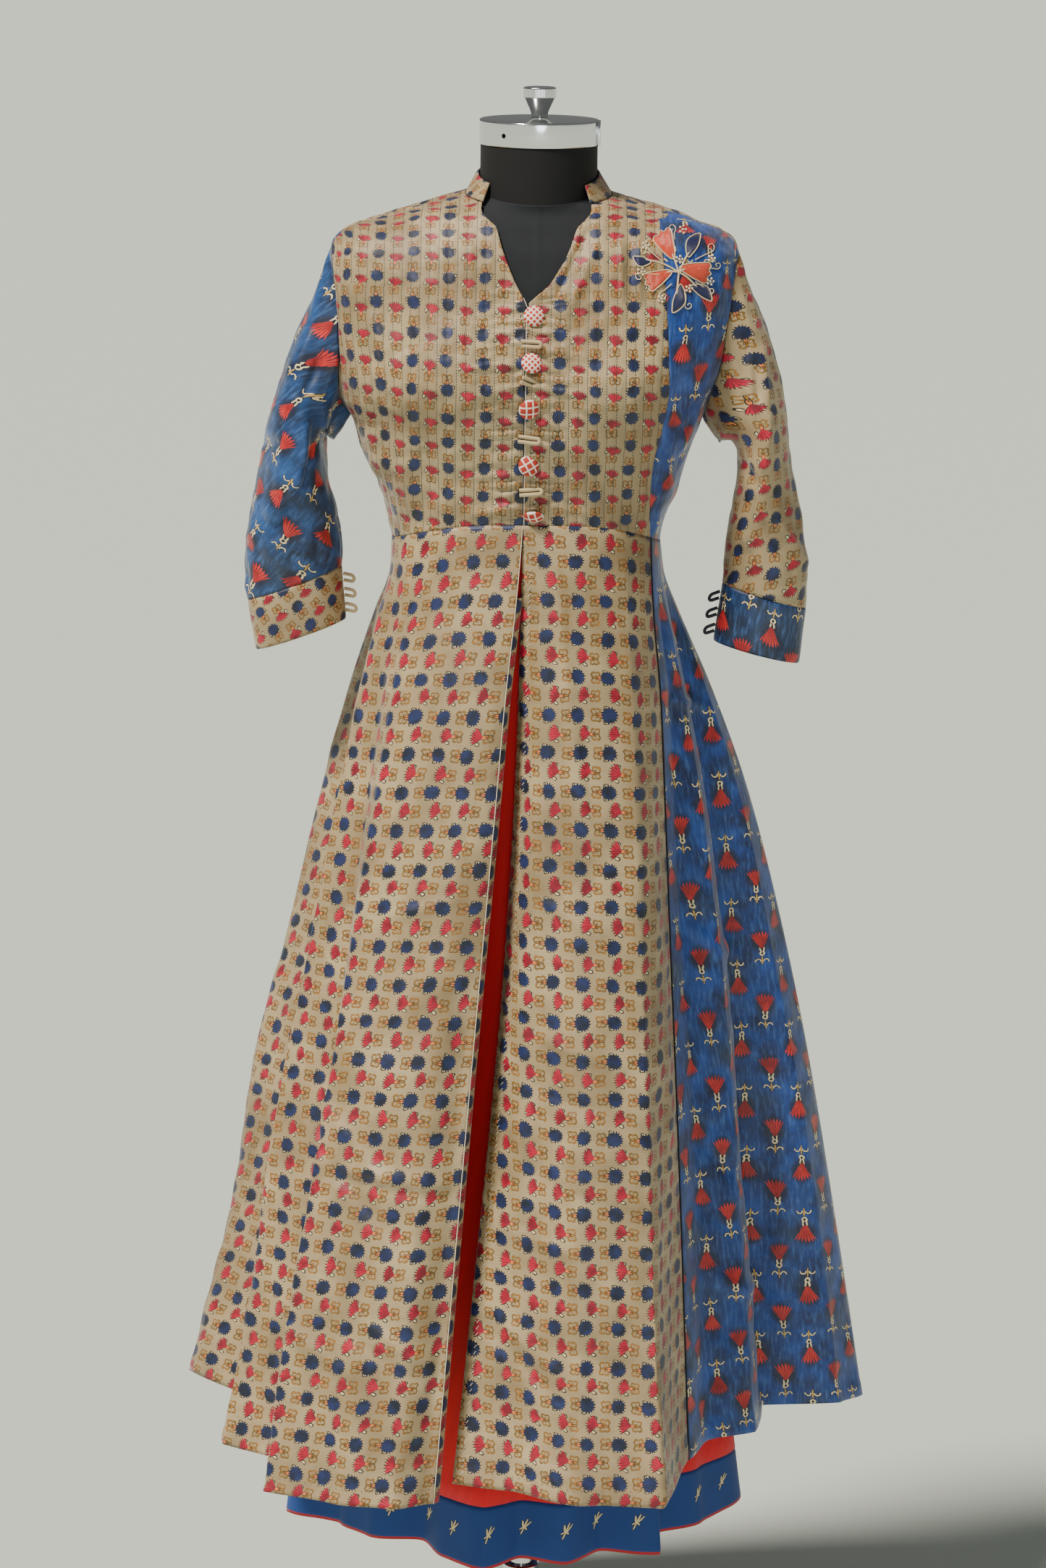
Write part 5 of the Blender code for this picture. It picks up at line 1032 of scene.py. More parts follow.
def border_cotton():
    """Royal blue cotton band with slender cream sprigs and a thin red edge at its foot."""
    material, tree, shader = new_material("blue_border_cotton", 0.72, sheen=0.15)
    place = cloth_millimetres(tree)
    patches = add_node(tree, "ShaderNodeTexNoise", {"Vector": place, "Scale": 0.03, "Detail": 3.0})
    tone = over(tree, colour("#0f4490"), colour("#123a7a"), patches.outputs["Fac"])
    axes = add_node(tree, "ShaderNodeSeparateXYZ", {"Vector": place})
    foot = add_node(tree, "ShaderNodeMath", {0: axes.outputs["Y"], 1: 3.0}, operation="LESS_THAN")
    tone = over(tree, tone, colour("#b01822"), foot.outputs[0])
    lifted = add_node(tree, "ShaderNodeMapping", {"Vector": place, "Location": (0.0, 7.0, 0.0)}, vector_type="POINT")
    x, y, _ = repeat_cells(tree, lifted.outputs["Vector"], 44.0, 80.0, 0.0)
    local = add_node(tree, "ShaderNodeCombineXYZ", {"X": x, "Y": y}).outputs["Vector"]
    prongs = ((-2.6, 2.6, 4.6, 0.9, 118.0), (2.6, 2.6, 4.6, 0.9, 62.0), (0.0, 3.2, 5.4, 1.0, 90.0),
              (0.0, -4.6, 3.4, 0.8, 90.0), (-2.2, -1.6, 2.2, 0.8, 30.0), (2.2, -1.6, 2.2, 0.8, -30.0))
    for rim, shade in ((0.7, "#0d1730"), (0.0, "#e6d3a2")):
        for prong_x, prong_y, half_length, half_width, turn in prongs:
            prong = ellipse(tree, local, prong_x, prong_y, half_length + rim, half_width + rim, turn)
            tone = over(tree, tone, colour(shade), prong)
    tree.links.new(tone, shader.inputs["Base Color"])
    woven_bump(tree, place, shader, 0.8, 0.00012)
    return material


def plain_cloth(name, shade, deeper, roughness, thread=0.8, sheen=0.2):
    """Plain woven or knitted cloth with slightly uneven dye."""
    material, tree, shader = new_material(name, roughness, sheen=sheen)
    place = add_node(tree, "ShaderNodeTexCoord").outputs["Object"]
    place = add_node(tree, "ShaderNodeMapping", {"Vector": place, "Scale": (1000.0, 1000.0, 1000.0)}).outputs["Vector"]
    patches = add_node(tree, "ShaderNodeTexNoise", {"Vector": place, "Scale": 0.06, "Detail": 5.0})
    tree.links.new(over(tree, colour(shade), colour(deeper), patches.outputs["Fac"]), shader.inputs["Base Color"])
    woven_bump(tree, place, shader, thread, 0.0001)
    return material


def checked_cloth(name, pitch, line, ground):
    """Coral cotton with a white woven check, stretched over the button moulds."""
    material, tree, shader = new_material(name, 0.7, sheen=0.15)
    place = cloth_millimetres(tree)
    axes = add_node(tree, "ShaderNodeSeparateXYZ", {"Vector": place})
    tone = colour(ground)
    for axis in ("X", "Y"):
        across = add_node(tree, "ShaderNodeMath", {0: axes.outputs[axis], 1: pitch}, operation="FLOORED_MODULO")
        thread = add_node(tree, "ShaderNodeMath", {
            0: across.outputs[0], 1: pitch / 2.0, 2: line / 2.0}, operation="COMPARE")
        tone = over(tree, tone, colour("#f1e6d8"), thread.outputs[0])
    tree.links.new(tone, shader.inputs["Base Color"])
    woven_bump(tree, place, shader, 0.5, 0.0001)
    return material


def satin_stitch(name, shade, deeper):
    """Satin stitch in silk floss: close parallel threads, each painted lighter on its crown and deeper between threads,
    as painted highlight and painted shade over the same bump.
    """
    material, tree, shader = new_material(name, 0.38, sheen=0.35)
    place = cloth_millimetres(tree)
    threads = add_node(tree, "ShaderNodeTexWave", {
        "Vector": place, "Scale": math.pi / 10.0 / 0.55, "Distortion": 0.4}, bands_direction="Y")
    # Colour follows the thread wave: painted highlight on each thread's crown, painted shade in the grooves between
    # threads.
    tree.links.new(over(tree, colour(deeper), colour(shade), threads.outputs["Fac"]), shader.inputs["Base Color"])
    bump = add_node(tree, "ShaderNodeBump", {"Height": threads.outputs["Fac"], "Distance": 0.0002, "Strength": 0.8})
    tree.links.new(bump.outputs["Normal"], shader.inputs["Normal"])
    return material


def metal(name, shade, roughness):
    """Chromed or painted steel with faint polishing marks."""
    material, tree, shader = new_material(name, roughness, metallic=1.0)
    shader.inputs["Base Color"].default_value = colour(shade)
    place = add_node(tree, "ShaderNodeTexCoord").outputs["Object"]
    marks = add_node(tree, "ShaderNodeTexNoise", {"Vector": place, "Scale": 60.0, "Detail": 4.0})
    worn = add_node(tree, "ShaderNodeMapRange", {
        0: marks.outputs["Fac"], 1: 0.3, 2: 0.7, 3: roughness * 0.7, 4: roughness * 1.5})
    tree.links.new(worn.outputs[0], shader.inputs["Roughness"])
    return material


# Bodice


SHOULDER_BREAK = 1.500
MEASURE_TURNS = np.arange(-285.0, 106.0, 3.0)
MEASURE_LEVELS = np.arange(1.235, 1.505, 0.005)


def level_measures():
    """Arc length round the gown from turn 0, for each level and turn."""
    girth = []
    for level in MEASURE_LEVELS:
        ring = np.array([gown_rest(turn, level) for turn in MEASURE_TURNS])
        steps = np.linalg.norm(np.diff(ring, axis=0), axis=1)
        arc = np.concatenate([[0.0], np.cumsum(steps)])
        girth.append(arc - np.interp(0.0, MEASURE_TURNS, arc))
    return np.array(girth)


LEVEL_MEASURES = level_measures()


def around_gown(turn, level):
    """Distance round the cloth from centre front, at a level below the shoulder break."""
    place = (level - MEASURE_LEVELS[0]) / (MEASURE_LEVELS[1] - MEASURE_LEVELS[0])
    low = int(min(max(place, 0.0), len(MEASURE_LEVELS) - 2))
    t = min(max(place - low, 0.0), 1.0)
    lower = np.interp(turn, MEASURE_TURNS, LEVEL_MEASURES[low])
    upper = np.interp(turn, MEASURE_TURNS, LEVEL_MEASURES[low + 1])
    return lower * (1.0 - t) + upper * t


def bodice_uv(places, points):
    """Cloth measure on the bodice: threads hang straight down from the shoulder."""
    rows, columns = len(places), len(places[0])
    uv = np.zeros((rows, columns, 2))
    middle_turn = np.mean([turn for turn, _ in places[rows // 2]])
    side = 1.0 if middle_turn > -90.0 else -1.0
    start = -88.0 if side > 0 else -268.0
    turns = np.arange(start, start + 177.0, 2.0)
    break_x = np.array([gown_rest(turn, SHOULDER_BREAK).x for turn in turns]) * side
    break_u = np.array([around_gown(turn, SHOULDER_BREAK) for turn in turns])
    for j in range(columns):
        rise = places[0][j][1]
        for i in range(rows):
            turn, level = places[i][j]
            if level <= SHOULDER_BREAK:
                uv[i, j] = (around_gown(turn, level), level)
                rise = level
            else:
                if i:
                    rise += float(np.linalg.norm(points[i, j] - points[i - 1, j]))
                uv[i, j] = (np.interp(points[i, j, 0] * side, break_x, break_u), rise)
    return uv


def edge_distance(uv):
    """Cloth distance from each point to its piece's nearest edge."""
    rows, columns = uv.shape[:2]
    across = np.linalg.norm(np.diff(uv, axis=1), axis=2)
    across = np.concatenate([np.zeros((rows, 1)), np.cumsum(across, axis=1)], axis=1)
    up = np.linalg.norm(np.diff(uv, axis=0), axis=2)
    up = np.concatenate([np.zeros((1, columns)), np.cumsum(up, axis=0)], axis=0)
    return np.minimum(np.minimum(across, across[:, -1:] - across), np.minimum(up, up[-1:] - up))


def seam_sink(uv, depth=0.0004, width=0.0010):
    """Slight hollow along a piece's own edges, where its seams are stitched."""
    return -depth * np.exp(-(edge_distance(uv) / width)**2)


def seam_held(uv, width=0.006):
    """0 at a piece's own edges, where seams hold the cloth, and 1 away from them."""
    return 1.0 - np.exp(-(edge_distance(uv) / width)**2)


def channel_relief(uv, rise):
    """Cloth puffed a little between lines of running stitch."""
    line = np.abs(np.sin(math.pi * (uv[..., 0] / STITCH_SPACING - 0.5)))
    uneven = 0.75 + 0.25 * np.sin(uv[..., 1] * 900.0 + np.floor(uv[..., 0] / STITCH_SPACING) * 2.1)
    return rise * (line**0.7 - 1.0) * uneven


def placket_puckers(points, uv):
    """Fine puckers that the placket's stitching pulls into the cloth on both sides of it."""
    reach = np.abs(points[..., 0] - PLACKET_X)
    held = np.exp(-(reach / 0.030)**2) * (points[..., 2] < 1.500)
    wave = np.sin(uv[..., 1] * 470.0 + 1.9 * np.sin(uv[..., 1] * 120.0) + reach * 70.0)
    second = np.sin(uv[..., 1] * 830.0 + 2.3 * np.sin(uv[..., 1] * 210.0 + 1.0) - reach * 110.0)
    return held * (0.0015 * wave + 0.0007 * second)


def bodice_piece(name, place, columns, rows, material, slot, node, creases, front, channels):
    places = [[place(j / columns, i / rows) for j in range(columns + 1)] for i in range(rows + 1)]
    points = np.array([[gown_point(turn, level) for turn, level in row] for row in places], float)
    uv = bodice_uv(places, points)
    relief = 1.25 * crease_relief(points, creases, front)
    relief += ripple(points, 0.045, 2.2, 0.0030, 3.0) + ripple(points, 0.018, 0.8, 0.0016, 8.0)
    if channels:
        relief += 1.4 * placket_puckers(points, uv)
    relief *= seam_held(uv)
    if channels:
        relief += channel_relief(uv, 0.0008)
    return add_cloth(name, points, np.maximum(relief, -0.0021) + seam_sink(uv), uv, material, slot, (node,))


# Skirt


@lru_cache(maxsize=None)
def placket_turn():
    return turn_at_x(PLACKET_X, WAIST_FRONT)


@lru_cache(maxsize=None)
def waist_point(turn):
    return gown_point(turn, waist_level(turn))


def bend(t, crease_start, crease_end):
    """Share of the way from one fold row to the next; a crease leaves at an angle."""
    start_slope, end_slope = 1.35 * crease_start, 1.35 * crease_end
    rise = (3 * t**2 - 2 * t**3) + start_slope * (t**3 - 2 * t**2 + t)
    return rise + end_slope * (t**3 - t**2)


def skirt_point(place, drop):
    """Outer face of the gown's skirt; place counts fold rows, drop is 0 at the waist."""
    index = min(int(place), len(SKIRT_FOLDS) - 2)
    t = place - index
    a, b = SKIRT_FOLDS[index], SKIRT_FOLDS[index + 1]
    turn = a.waist_turn + (b.waist_turn - a.waist_turn) * t
    if index == 0:
        turn += (placket_turn() - SKIRT_FOLDS[0].waist_turn) * (1.0 - t)
    if index == len(SKIRT_FOLDS) - 2:
        turn += (placket_turn() + 360.0 - SKIRT_FOLDS[-1].waist_turn) * t
    waist = waist_point(turn)
    share = bend(t, a.crease, b.crease)
    turn_a, turn_b = math.atan2(a.x, -a.y), math.atan2(b.x, -b.y)
    if turn_b < turn_a - 1.0:
        turn_b += 2.0 * math.pi
    hem_turn = turn_a + (turn_b - turn_a) * t
    reach_a, reach_b = math.hypot(a.x, a.y), math.hypot(b.x, b.y)
    mean = reach_a + (reach_b - reach_a) * t
    growth = max(0.0, (drop - FOLD_START) / (1.0 - FOLD_START))
    reach = mean + (reach_b - reach_a) * (share - t) * growth
    hem = Vector((reach * math.sin(hem_turn), -reach * math.cos(hem_turn), a.z + (b.z - a.z) * share))
    swing_a = table_value("hang", "drop", a.hang, drop)
    swing_b = table_value("hang", "drop", b.hang, drop)
    point = waist.lerp(hem, swing_a * (1.0 - t) + swing_b * t)
    point.z = waist.z + (hem.z - waist.z) * drop
    return point


def fold_index(name):
    return next(i for i, fold in enumerate(SKIRT_FOLDS) if fold.name == name)


def skirt_grid(start, end):
    """Points of a skirt panel from its hem up, between two named fold rows."""
    first, last = fold_index(start), fold_index(end)
    columns = (last - first) * SKIRT_STEPS

    def place(s, t):
        return skirt_point(first + s * (last - first), 1.0 - t)
    return grid_of(place, columns, SKIRT_ROWS)


def skirt_relief(points, uv):
    """Creases, long soft ripples that grow towards the hem, and a hem turned up inside."""
    drop = np.linspace(1.0, 0.0, len(points))[:, None]
    relief = 1.3 * crease_relief(points, SKIRT_CREASES, True)
    relief += 1.3 * crease_relief(points, BACK_SKIRT_CREASES, False)
    relief += ripple(points, 0.055, 7.0, 0.0070, 1.0) * drop**0.7
    relief += ripple(points, 0.026, 1.2, 0.0022, 5.0) * drop**0.3
    relief *= seam_held(uv)
    hem = uv[..., 1] - uv[0:1, :, 1]
    relief += 0.0007 / (1.0 + np.exp(np.clip((hem - 0.016) / 0.0012, -30.0, 30.0)))
    floor = -0.0004 - 0.0030 * np.clip((drop - 0.35) / 0.2, 0.0, 1.0)
    return np.maximum(relief, floor) + seam_sink(uv)


def slit_pucker(uv, from_end):
    """Small puckers that the slit's hand stitching pulls into the panel beside it."""
    reach = np.abs(uv[..., 0] - (uv[:, -1:, 0] if from_end else uv[:, :1, 0]))
    wave = np.sin(uv[..., 1] * 2.0 * math.pi / 0.0125 + 2.2 * np.sin(uv[..., 1] * 75.0))
    return 0.0012 * wave * np.exp(-((reach - 0.006) / 0.006)**2)


def turned_edge(grid, at_end, width, depth, steps):
    """Narrow strip that carries on past a panel's edge and curls back behind it."""
    edge, before = (grid[:, -1], grid[:, -2]) if at_end else (grid[:, 0], grid[:, 1])
    onward = edge - before
    onward /= np.linalg.norm(onward, axis=1, keepdims=True)
    inward = np.cross(onward, np.array([0.0, 0.0, 1.0]))
    inward *= np.sign(np.sum(inward * -edge, axis=1))[:, None]
    lines = []
    for step in range(steps + 1):
        t = step / steps
        lines.append(edge + onward * width * t + inward * (0.0012 + depth * t * t))
    return np.stack(lines, axis=1)


# Underskirt


def underskirt_point(place, height):
    index = min(int(place), len(INNER_FOLDS) - 2)
    t = place - index
    a, b = INNER_FOLDS[index], INNER_FOLDS[index + 1]
    share = bend(t, a.crease, b.crease)
    turn = a.turn + (b.turn - a.turn) * t
    reach = a.reach + (b.reach - a.reach) * share
    hem_z = a.z + (b.z - a.z) * share
    angle = math.radians(turn)
    hem = Vector((reach * math.sin(angle), -reach * math.cos(angle), hem_z))
    waist = inner_waist(turn)
    drop = (waist.z - height) / (waist.z - hem_z)
    point = waist.lerp(hem, max(drop, 0.0)**INNER_HANG_POWER)
    if drop > 0.0 and height > FORM_BOTTOM:
        hanging = math.hypot(point.x, point.y)
        hip = body_point(round(math.degrees(math.atan2(point.x, -point.y)), 1), height)
        held = math.hypot(hip.x, hip.y) + HIP_CLEARANCE
        reach = (hanging**HIP_BLEND + held**HIP_BLEND) ** (1.0 / HIP_BLEND)
        point.x *= reach / hanging
        point.y *= reach / hanging
    point.z = height
    return point


@lru_cache(maxsize=None)
def inner_waist(turn):
    """Waist of the underskirt, just inside the gown's waist seam."""
    return gown_point(turn, INNER_TOP, -WALL - WAIST_LAYER_GAP)


def inner_hem_height(place):
    index = min(int(place), len(INNER_FOLDS) - 2)
    a, b = INNER_FOLDS[index], INNER_FOLDS[index + 1]
    return a.z + (b.z - a.z) * bend(place - index, a.crease, b.crease)


# Sleeves


def armhole_places(side):
    """Turn and level round the armhole seam: up the front from the underarm, down the back."""
    first = next(i for i, row in enumerate(BODICE_ROWS) if row.side_level == UNDERARM_LEVEL)
    front = outer_edge(side)[first:]
    back = outer_edge(side, back=True)[first:]
    return front + back[-2::-1]


def sleeve_row(table, place):
    """Values of a sleeve table between two of its rows, rounded through them."""
    index = min(int(place), len(table) - 2)
    t = place - index
    values = []
    for column in range(6):
        before, a, b, after = (table[min(max(index + k, 0), len(table) - 1)][column] for k in (-1, 0, 1, 2))
        values.append(0.5 * (2 * a + (b - before) * t + (2 * before - 5 * a + 4 * b - after) * t**2
                             + (3 * a - before - 3 * b + after) * t**3))
    return SleeveRow(*values)


def sleeve_place(side, table):
    """Surface of a sleeve: s round from the underarm, t down from the armhole to the hem."""
    places = armhole_places(side)
    head = [gown_point(turn, level) for turn, level in places[:-1]]
    centre = sum(head, Vector()) / len(head)

    def place(s, t):
        turn, level = along_edge(places, s)
        seam = gown_point(turn, level)
        row = sleeve_row(table, max(t * len(table) - 1.0, 0.0))
        outer = Vector((row.outer_x, row.centre_y, row.outer_z))
        inner = Vector((row.inner_x, row.centre_y, row.inner_z))
        middle, arm = (outer + inner) / 2.0, (outer - inner) / 2.0
        angle = 2.0 * math.pi * s
        oval = middle - arm * math.cos(angle) + Vector((0.0, -row.half_depth * math.sin(angle), 0.0))
        depth = t * len(table) - 1.0
        shares = (*ARMHOLE_SHARES, 0.0)
        low = min(max(int(depth), 0), len(shares) - 1)
        high = min(low + 1, len(shares) - 1)
        share = shares[low] + (shares[high] - shares[low]) * min(max(depth - low, 0.0), 1.0)
        point = oval.lerp(seam + middle - centre, share)
        return seam.lerp(point, min(t * len(table), 1.0))
    return place


def away_from_arm(side, table):
    """Outward direction from the middle line of an arm."""
    middles = [Vector(((row.outer_x + row.inner_x) / 2, row.centre_y, (row.outer_z + row.inner_z) / 2))
               for row in table]

    def outward(point):
        middle = min(middles, key=lambda place: (place - point).length)
        return (point - middle).normalized()
    return outward


# Small pieces


def surface_tree(*pieces):
    """Search tree over the cloth of some pieces, for seating trims on it."""
    verts, faces = [], []
    for piece in pieces:
        offset = len(verts)
        verts += [vert.co.copy() for vert in piece.data.vertices]
        faces += [[offset + index for index in face.vertices] for face in piece.data.polygons]
    return BVHTree.FromPolygons(verts, faces)


def seat_on(tree, x, z, out):
    """Place, right, up and outward directions where a line from the front meets the cloth."""
    hit, normal, _, _ = tree.ray_cast(Vector((x, -1.0, z)), Vector((0.0, 1.0, 0.0)))
    if hit is None:
        hit, normal, _, _ = tree.find_nearest(Vector((x, -0.08, z)))
    if normal.y > 0:
        normal.negate()
    right = Vector((0.0, 0.0, 1.0)).cross(-normal).normalized()
    if right.x < 0:
        right.negate()
    up = normal.cross(right).normalized()
    if up.z < 0:
        up.negate()
    return hit + normal * out, right, up, normal


def finish_mesh(mesh, name, sharp_angle=50.0):
    """Mesh with merged doubles, outward faces and smooth rounds."""
    bmesh.ops.remove_doubles(mesh, verts=mesh.verts[:], dist=1e-6)
    bmesh.ops.recalc_face_normals(mesh, faces=mesh.faces[:])
    data = bpy.data.meshes.new(name)
    mesh.to_mesh(data)
    mesh.free()
    data.shade_smooth()
    data.set_sharp_from_angle(angle=math.radians(sharp_angle))
    return data


def turned_mesh(profile, steps, centre=(0.0, 0.0, 0.0), axis=(0.0, 0.0, 1.0), right=(1.0, 0.0, 0.0)):
    """Full turn of a profile of reach and rise about an axis."""
    mesh = bmesh.new()
    centre, axis, right = Vector(centre), Vector(axis), Vector(right)
    verts = [mesh.verts.new(centre + right * reach + axis * rise) for reach, rise in profile]
    edges = [mesh.edges.new(pair) for pair in zip(verts, verts[1:])]
    bmesh.ops.spin(mesh, geom=verts + edges, cent=centre, axis=axis, angle=2.0 * math.pi,
                   steps=steps, use_merge=True)
    return mesh


def turned_piece(name, profile, material, body, node, slot, steps=96, sharp_angle=35.0):
    data = finish_mesh(turned_mesh(profile, steps), name, sharp_angle)
    return add_piece(name, data, material, body, (node,) if node else (), slot)


def cord_piece(name, points, radius, material, body, replaced, slot, closed=False, sides=3):
    """Round cord through points, rounded between them."""
    data = bpy.data.curves.new(name, "CURVE")
    data.dimensions = "3D"
    data.bevel_depth = radius
    data.bevel_resolution = sides
    data.resolution_u = 4
    data.use_fill_caps = True
    spline = data.splines.new("NURBS")
    spline.points.add(len(points) - 1)
    spline.order_u = 4
    spline.use_endpoint_u = not closed
    spline.use_cyclic_u = closed
    for place, point in zip(spline.points, points):
        place.co = (*point, 1.0)
    return add_piece(name, data, material, body, replaced, slot)


def hairpin(origin, along, across, length, half_width):
    """Loop that goes out along one side, round its end and back."""
    start = origin - along * (length / 2.0)
    bend_centre = origin + along * (length / 2.0 - half_width)
    points = [start + across * half_width, start.lerp(bend_centre, 0.5) + across * half_width]
    for step in range(9):
        angle = math.pi / 2.0 - math.pi * step / 8.0
        points.append(bend_centre + along * half_width * math.cos(angle) + across * half_width * math.sin(angle))
    points += [start.lerp(bend_centre, 0.5) - across * half_width, start - across * half_width]
    return points


def button_piece(number, fastening, tree, material):
    """Cloth stretched over a domed mould, its check at its own slant."""
    centre, right, up, normal = seat_on(tree, fastening.x, fastening.z, 0.0003)
    profile = [(BUTTON_RADIUS * 0.80, -0.0002), (BUTTON_RADIUS * 0.97, 0.0006)]
    for step in range(9):
        angle = math.radians(8.0 + 82.0 * step / 8.0)
        profile.append((BUTTON_RADIUS * math.cos(angle), BUTTON_RISE * (0.12 + 0.88 * math.sin(angle))))
    profile[-1] = (0.0, profile[-1][1])
    mesh = turned_mesh(profile, 40, centre, normal, right)
    bmesh.ops.remove_doubles(mesh, verts=mesh.verts[:], dist=1e-6)
    layer = mesh.loops.layers.uv.new("cloth")
    slant = math.radians(fastening.slant)
    for face in mesh.faces:
        for loop in face.loops:
            aside = (loop.vert.co - centre).dot(right)
            above = (loop.vert.co - centre).dot(up)
            loop[layer].uv = (aside * math.cos(slant) + above * math.sin(slant),
                              above * math.cos(slant) - aside * math.sin(slant))
    name = f"covered_button_{number}"
    data = finish_mesh(mesh, name, 60.0)
    return add_piece(name, data, material, "form", (f"button_{number}",), "button_cloth")


# Embroidered spray: petals and leaves by place, length, width and direction.
Motif = namedtuple("Motif", "name x z length width heading")
SPRAY = [
    Motif("bell_top", 0.1260, 1.5430, 0.026, 0.020, 118),
    Motif("bell_middle", 0.1540, 1.5190, 0.029, 0.020, -14),
    Motif("bell_low", 0.1180, 1.5130, 0.026, 0.019, 205),
    Motif("leaf_top", 0.1530, 1.5420, 0.024, 0.012, 60),
    Motif("leaf_right", 0.1600, 1.4970, 0.026, 0.011, -35),
    Motif("leaf_low", 0.1360, 1.4930, 0.028, 0.012, -105),
    Motif("leaf_left", 0.1020, 1.5300, 0.018, 0.009, 165),
]
BELL_OUTLINE = [(-0.50, 0.10), (-0.15, 0.30), (0.15, 0.42), (0.38, 0.50), (0.50, 0.34), (0.44, 0.17), (0.56, 0.0)]
LEAF_OUTLINE = [(-0.50, 0.0), (-0.25, 0.36), (0.05, 0.50), (0.32, 0.32), (0.50, 0.0)]
SPRAY_HEART = (0.1380, 1.5180)
LEAF_BEND = 0.45
TENDRILS = ((0.1040, 1.5380, 150.0, 0.0050), (0.1310, 1.5570, 80.0, 0.0046), (0.1690, 1.5400, 40.0, 0.0050),
            (0.1760, 1.5230, 10.0, 0.0040), (0.1700, 1.4990, -50.0, 0.0042), (0.1480, 1.4860, -80.0, 0.0046),
            (0.1230, 1.4960, -130.0, 0.0046), (0.0990, 1.5140, 200.0, 0.0040))


def motif_outline(motif):
    """Bell flowers widen to three lobes; leaves are pointed at both ends."""
    heading = math.radians(motif.heading)
    along, across = (math.cos(heading), math.sin(heading)), (-math.sin(heading), math.cos(heading))
    shape = BELL_OUTLINE if motif.name.startswith("bell") else LEAF_OUTLINE
    outline = []
    for u, v in shape + [(u, -v) for u, v in shape[::-1] if v != 0.0]:
        du, dv = u * motif.length, v * motif.width
        if motif.name.startswith("leaf"):
            dv += LEAF_BEND * motif.length * (0.25 - u * u)
        outline.append((motif.x + along[0] * du + across[0] * dv, motif.z + along[1] * du + across[1] * dv))
    return outline


def rounded_outline(outline, share):
    """Point on a closed outline, rounded through its corners."""
    count = len(outline)
    place = (share % 1.0) * count
    index = int(place) % count
    t = place - int(place)
    values = []
    for axis in (0, 1):
        before, a, b, after = (outline[(index + k) % count][axis] for k in (-1, 0, 1, 2))
        values.append(0.5 * (2 * a + (b - before) * t + (2 * before - 5 * a + 4 * b - after) * t**2
                             + (3 * a - before - 3 * b + after) * t**3))
    return values


def spray_pad(motif, tree, material):
    """Raised satin-stitched petal or leaf, domed towards its middle."""
    outline = motif_outline(motif)
    middle_x = sum(x for x, _ in outline) / len(outline)
    middle_z = sum(z for _, z in outline) / len(outline)
    heading = math.radians(motif.heading)

    def place(s, t):
        x, z = rounded_outline(outline, s)
        shrink = 1.0 - t
        dome = 0.0002 + 0.0016 * math.sin(min(t * 2.2, 1.0) * math.pi / 2.0)
        return seat_on(tree, middle_x + (x - middle_x) * shrink, middle_z + (z - middle_z) * shrink, dome)[0]
    points = grid_of(place, 48, 8)
    x, z = points[..., 0] - motif.x, points[..., 2] - motif.z
    uv = np.stack([x * math.cos(heading) + z * math.sin(heading),
                   z * math.cos(heading) - x * math.sin(heading)], axis=2)
    name = "stitched_" + motif.name
    data = sheet_mesh(name, points, uv, closed_round=True)
    flip_if_inward(data, lambda _: seat_on(tree, middle_x, middle_z, 0.0)[3])
    return add_piece(name, data, material, "form", ("spray_" + motif.name,), "spray_thread")


# Finishes

skirt_silk = beige_silk("tussar_silk_printed", hem_stitch=True)
bodice_silk = beige_silk("tussar_silk_stitched", turn=90.0, pitch_x=26.5, pitch_y=18.0, stitched=True, scale=0.84)
sleeve_silk = beige_silk("tussar_silk_sleeve", turn=90.0, pitch_x=27.0, pitch_y=19.0, scale=0.9)
cuff_silk = beige_silk("tussar_silk_cuff", turn=62.0, pitch_x=24.0, pitch_y=16.0, scale=0.8)
panel_silk = blue_silk("mulberry_silk_panel", light="#1a4899", dark="#0e2152")
sleeve_silk_painted_shade = blue_silk("mulberry_silk_sleeve_painted_shade", light="#1e4d88", dark="#0c1c38", turn=38.0)
# The right sleeve's blue is the side panels' print made darker and greyer: painted shade for a sleeve that hangs in
# shadow.
cuff_blue = blue_silk("mulberry_silk_cuff", light="#15335f", dark="#0b1730")
red_lawn = red_cotton()
border = border_cotton()
check = checked_cloth("coral_check_cotton", 6.6, 1.5, "#b5301c")
fine_check = checked_cloth("coral_fine_check_cotton", 4.2, 1.5, "#c4301c")
loop_beige = plain_cloth("tussar_silk_rouleau", "#cdb890", "#ab956c", 0.6, 0.5)
loop_dark = plain_cloth("navy_silk_rouleau", "#1b2233", "#10151f", 0.6, 0.5)
piping_dark = plain_cloth("navy_cotton_piping", "#191d2a", "#0e1119", 0.75, 0.5)
piping_pale = plain_cloth("cream_cotton_piping", "#efe6d2", "#d9cba9", 0.7, 0.5)
coral_floss = satin_stitch("coral_silk_floss", "#ee5a3c", "#bb3320")
navy_floss = satin_stitch("navy_silk_floss", "#16215a", "#0b1236")
cream_floss = satin_stitch("cream_silk_floss", "#f3e8cf", "#d8c39a")
jersey = plain_cloth("charcoal_cotton_jersey", "#1c2125", "#121619", 0.9, 0.9, sheen=0.06)
neck_cloth = plain_cloth("black_cotton_twill", "#060607", "#0b0b0d", 0.85, 0.7, sheen=0.02)
chrome = metal("chromed_steel", "#d6d8d8", 0.12)
dark_steel = metal("painted_steel", "#2b2c2f", 0.4)
black_hole = metal("blackened_screw", "#141414", 0.5)

# Bodice, collar and sleeves

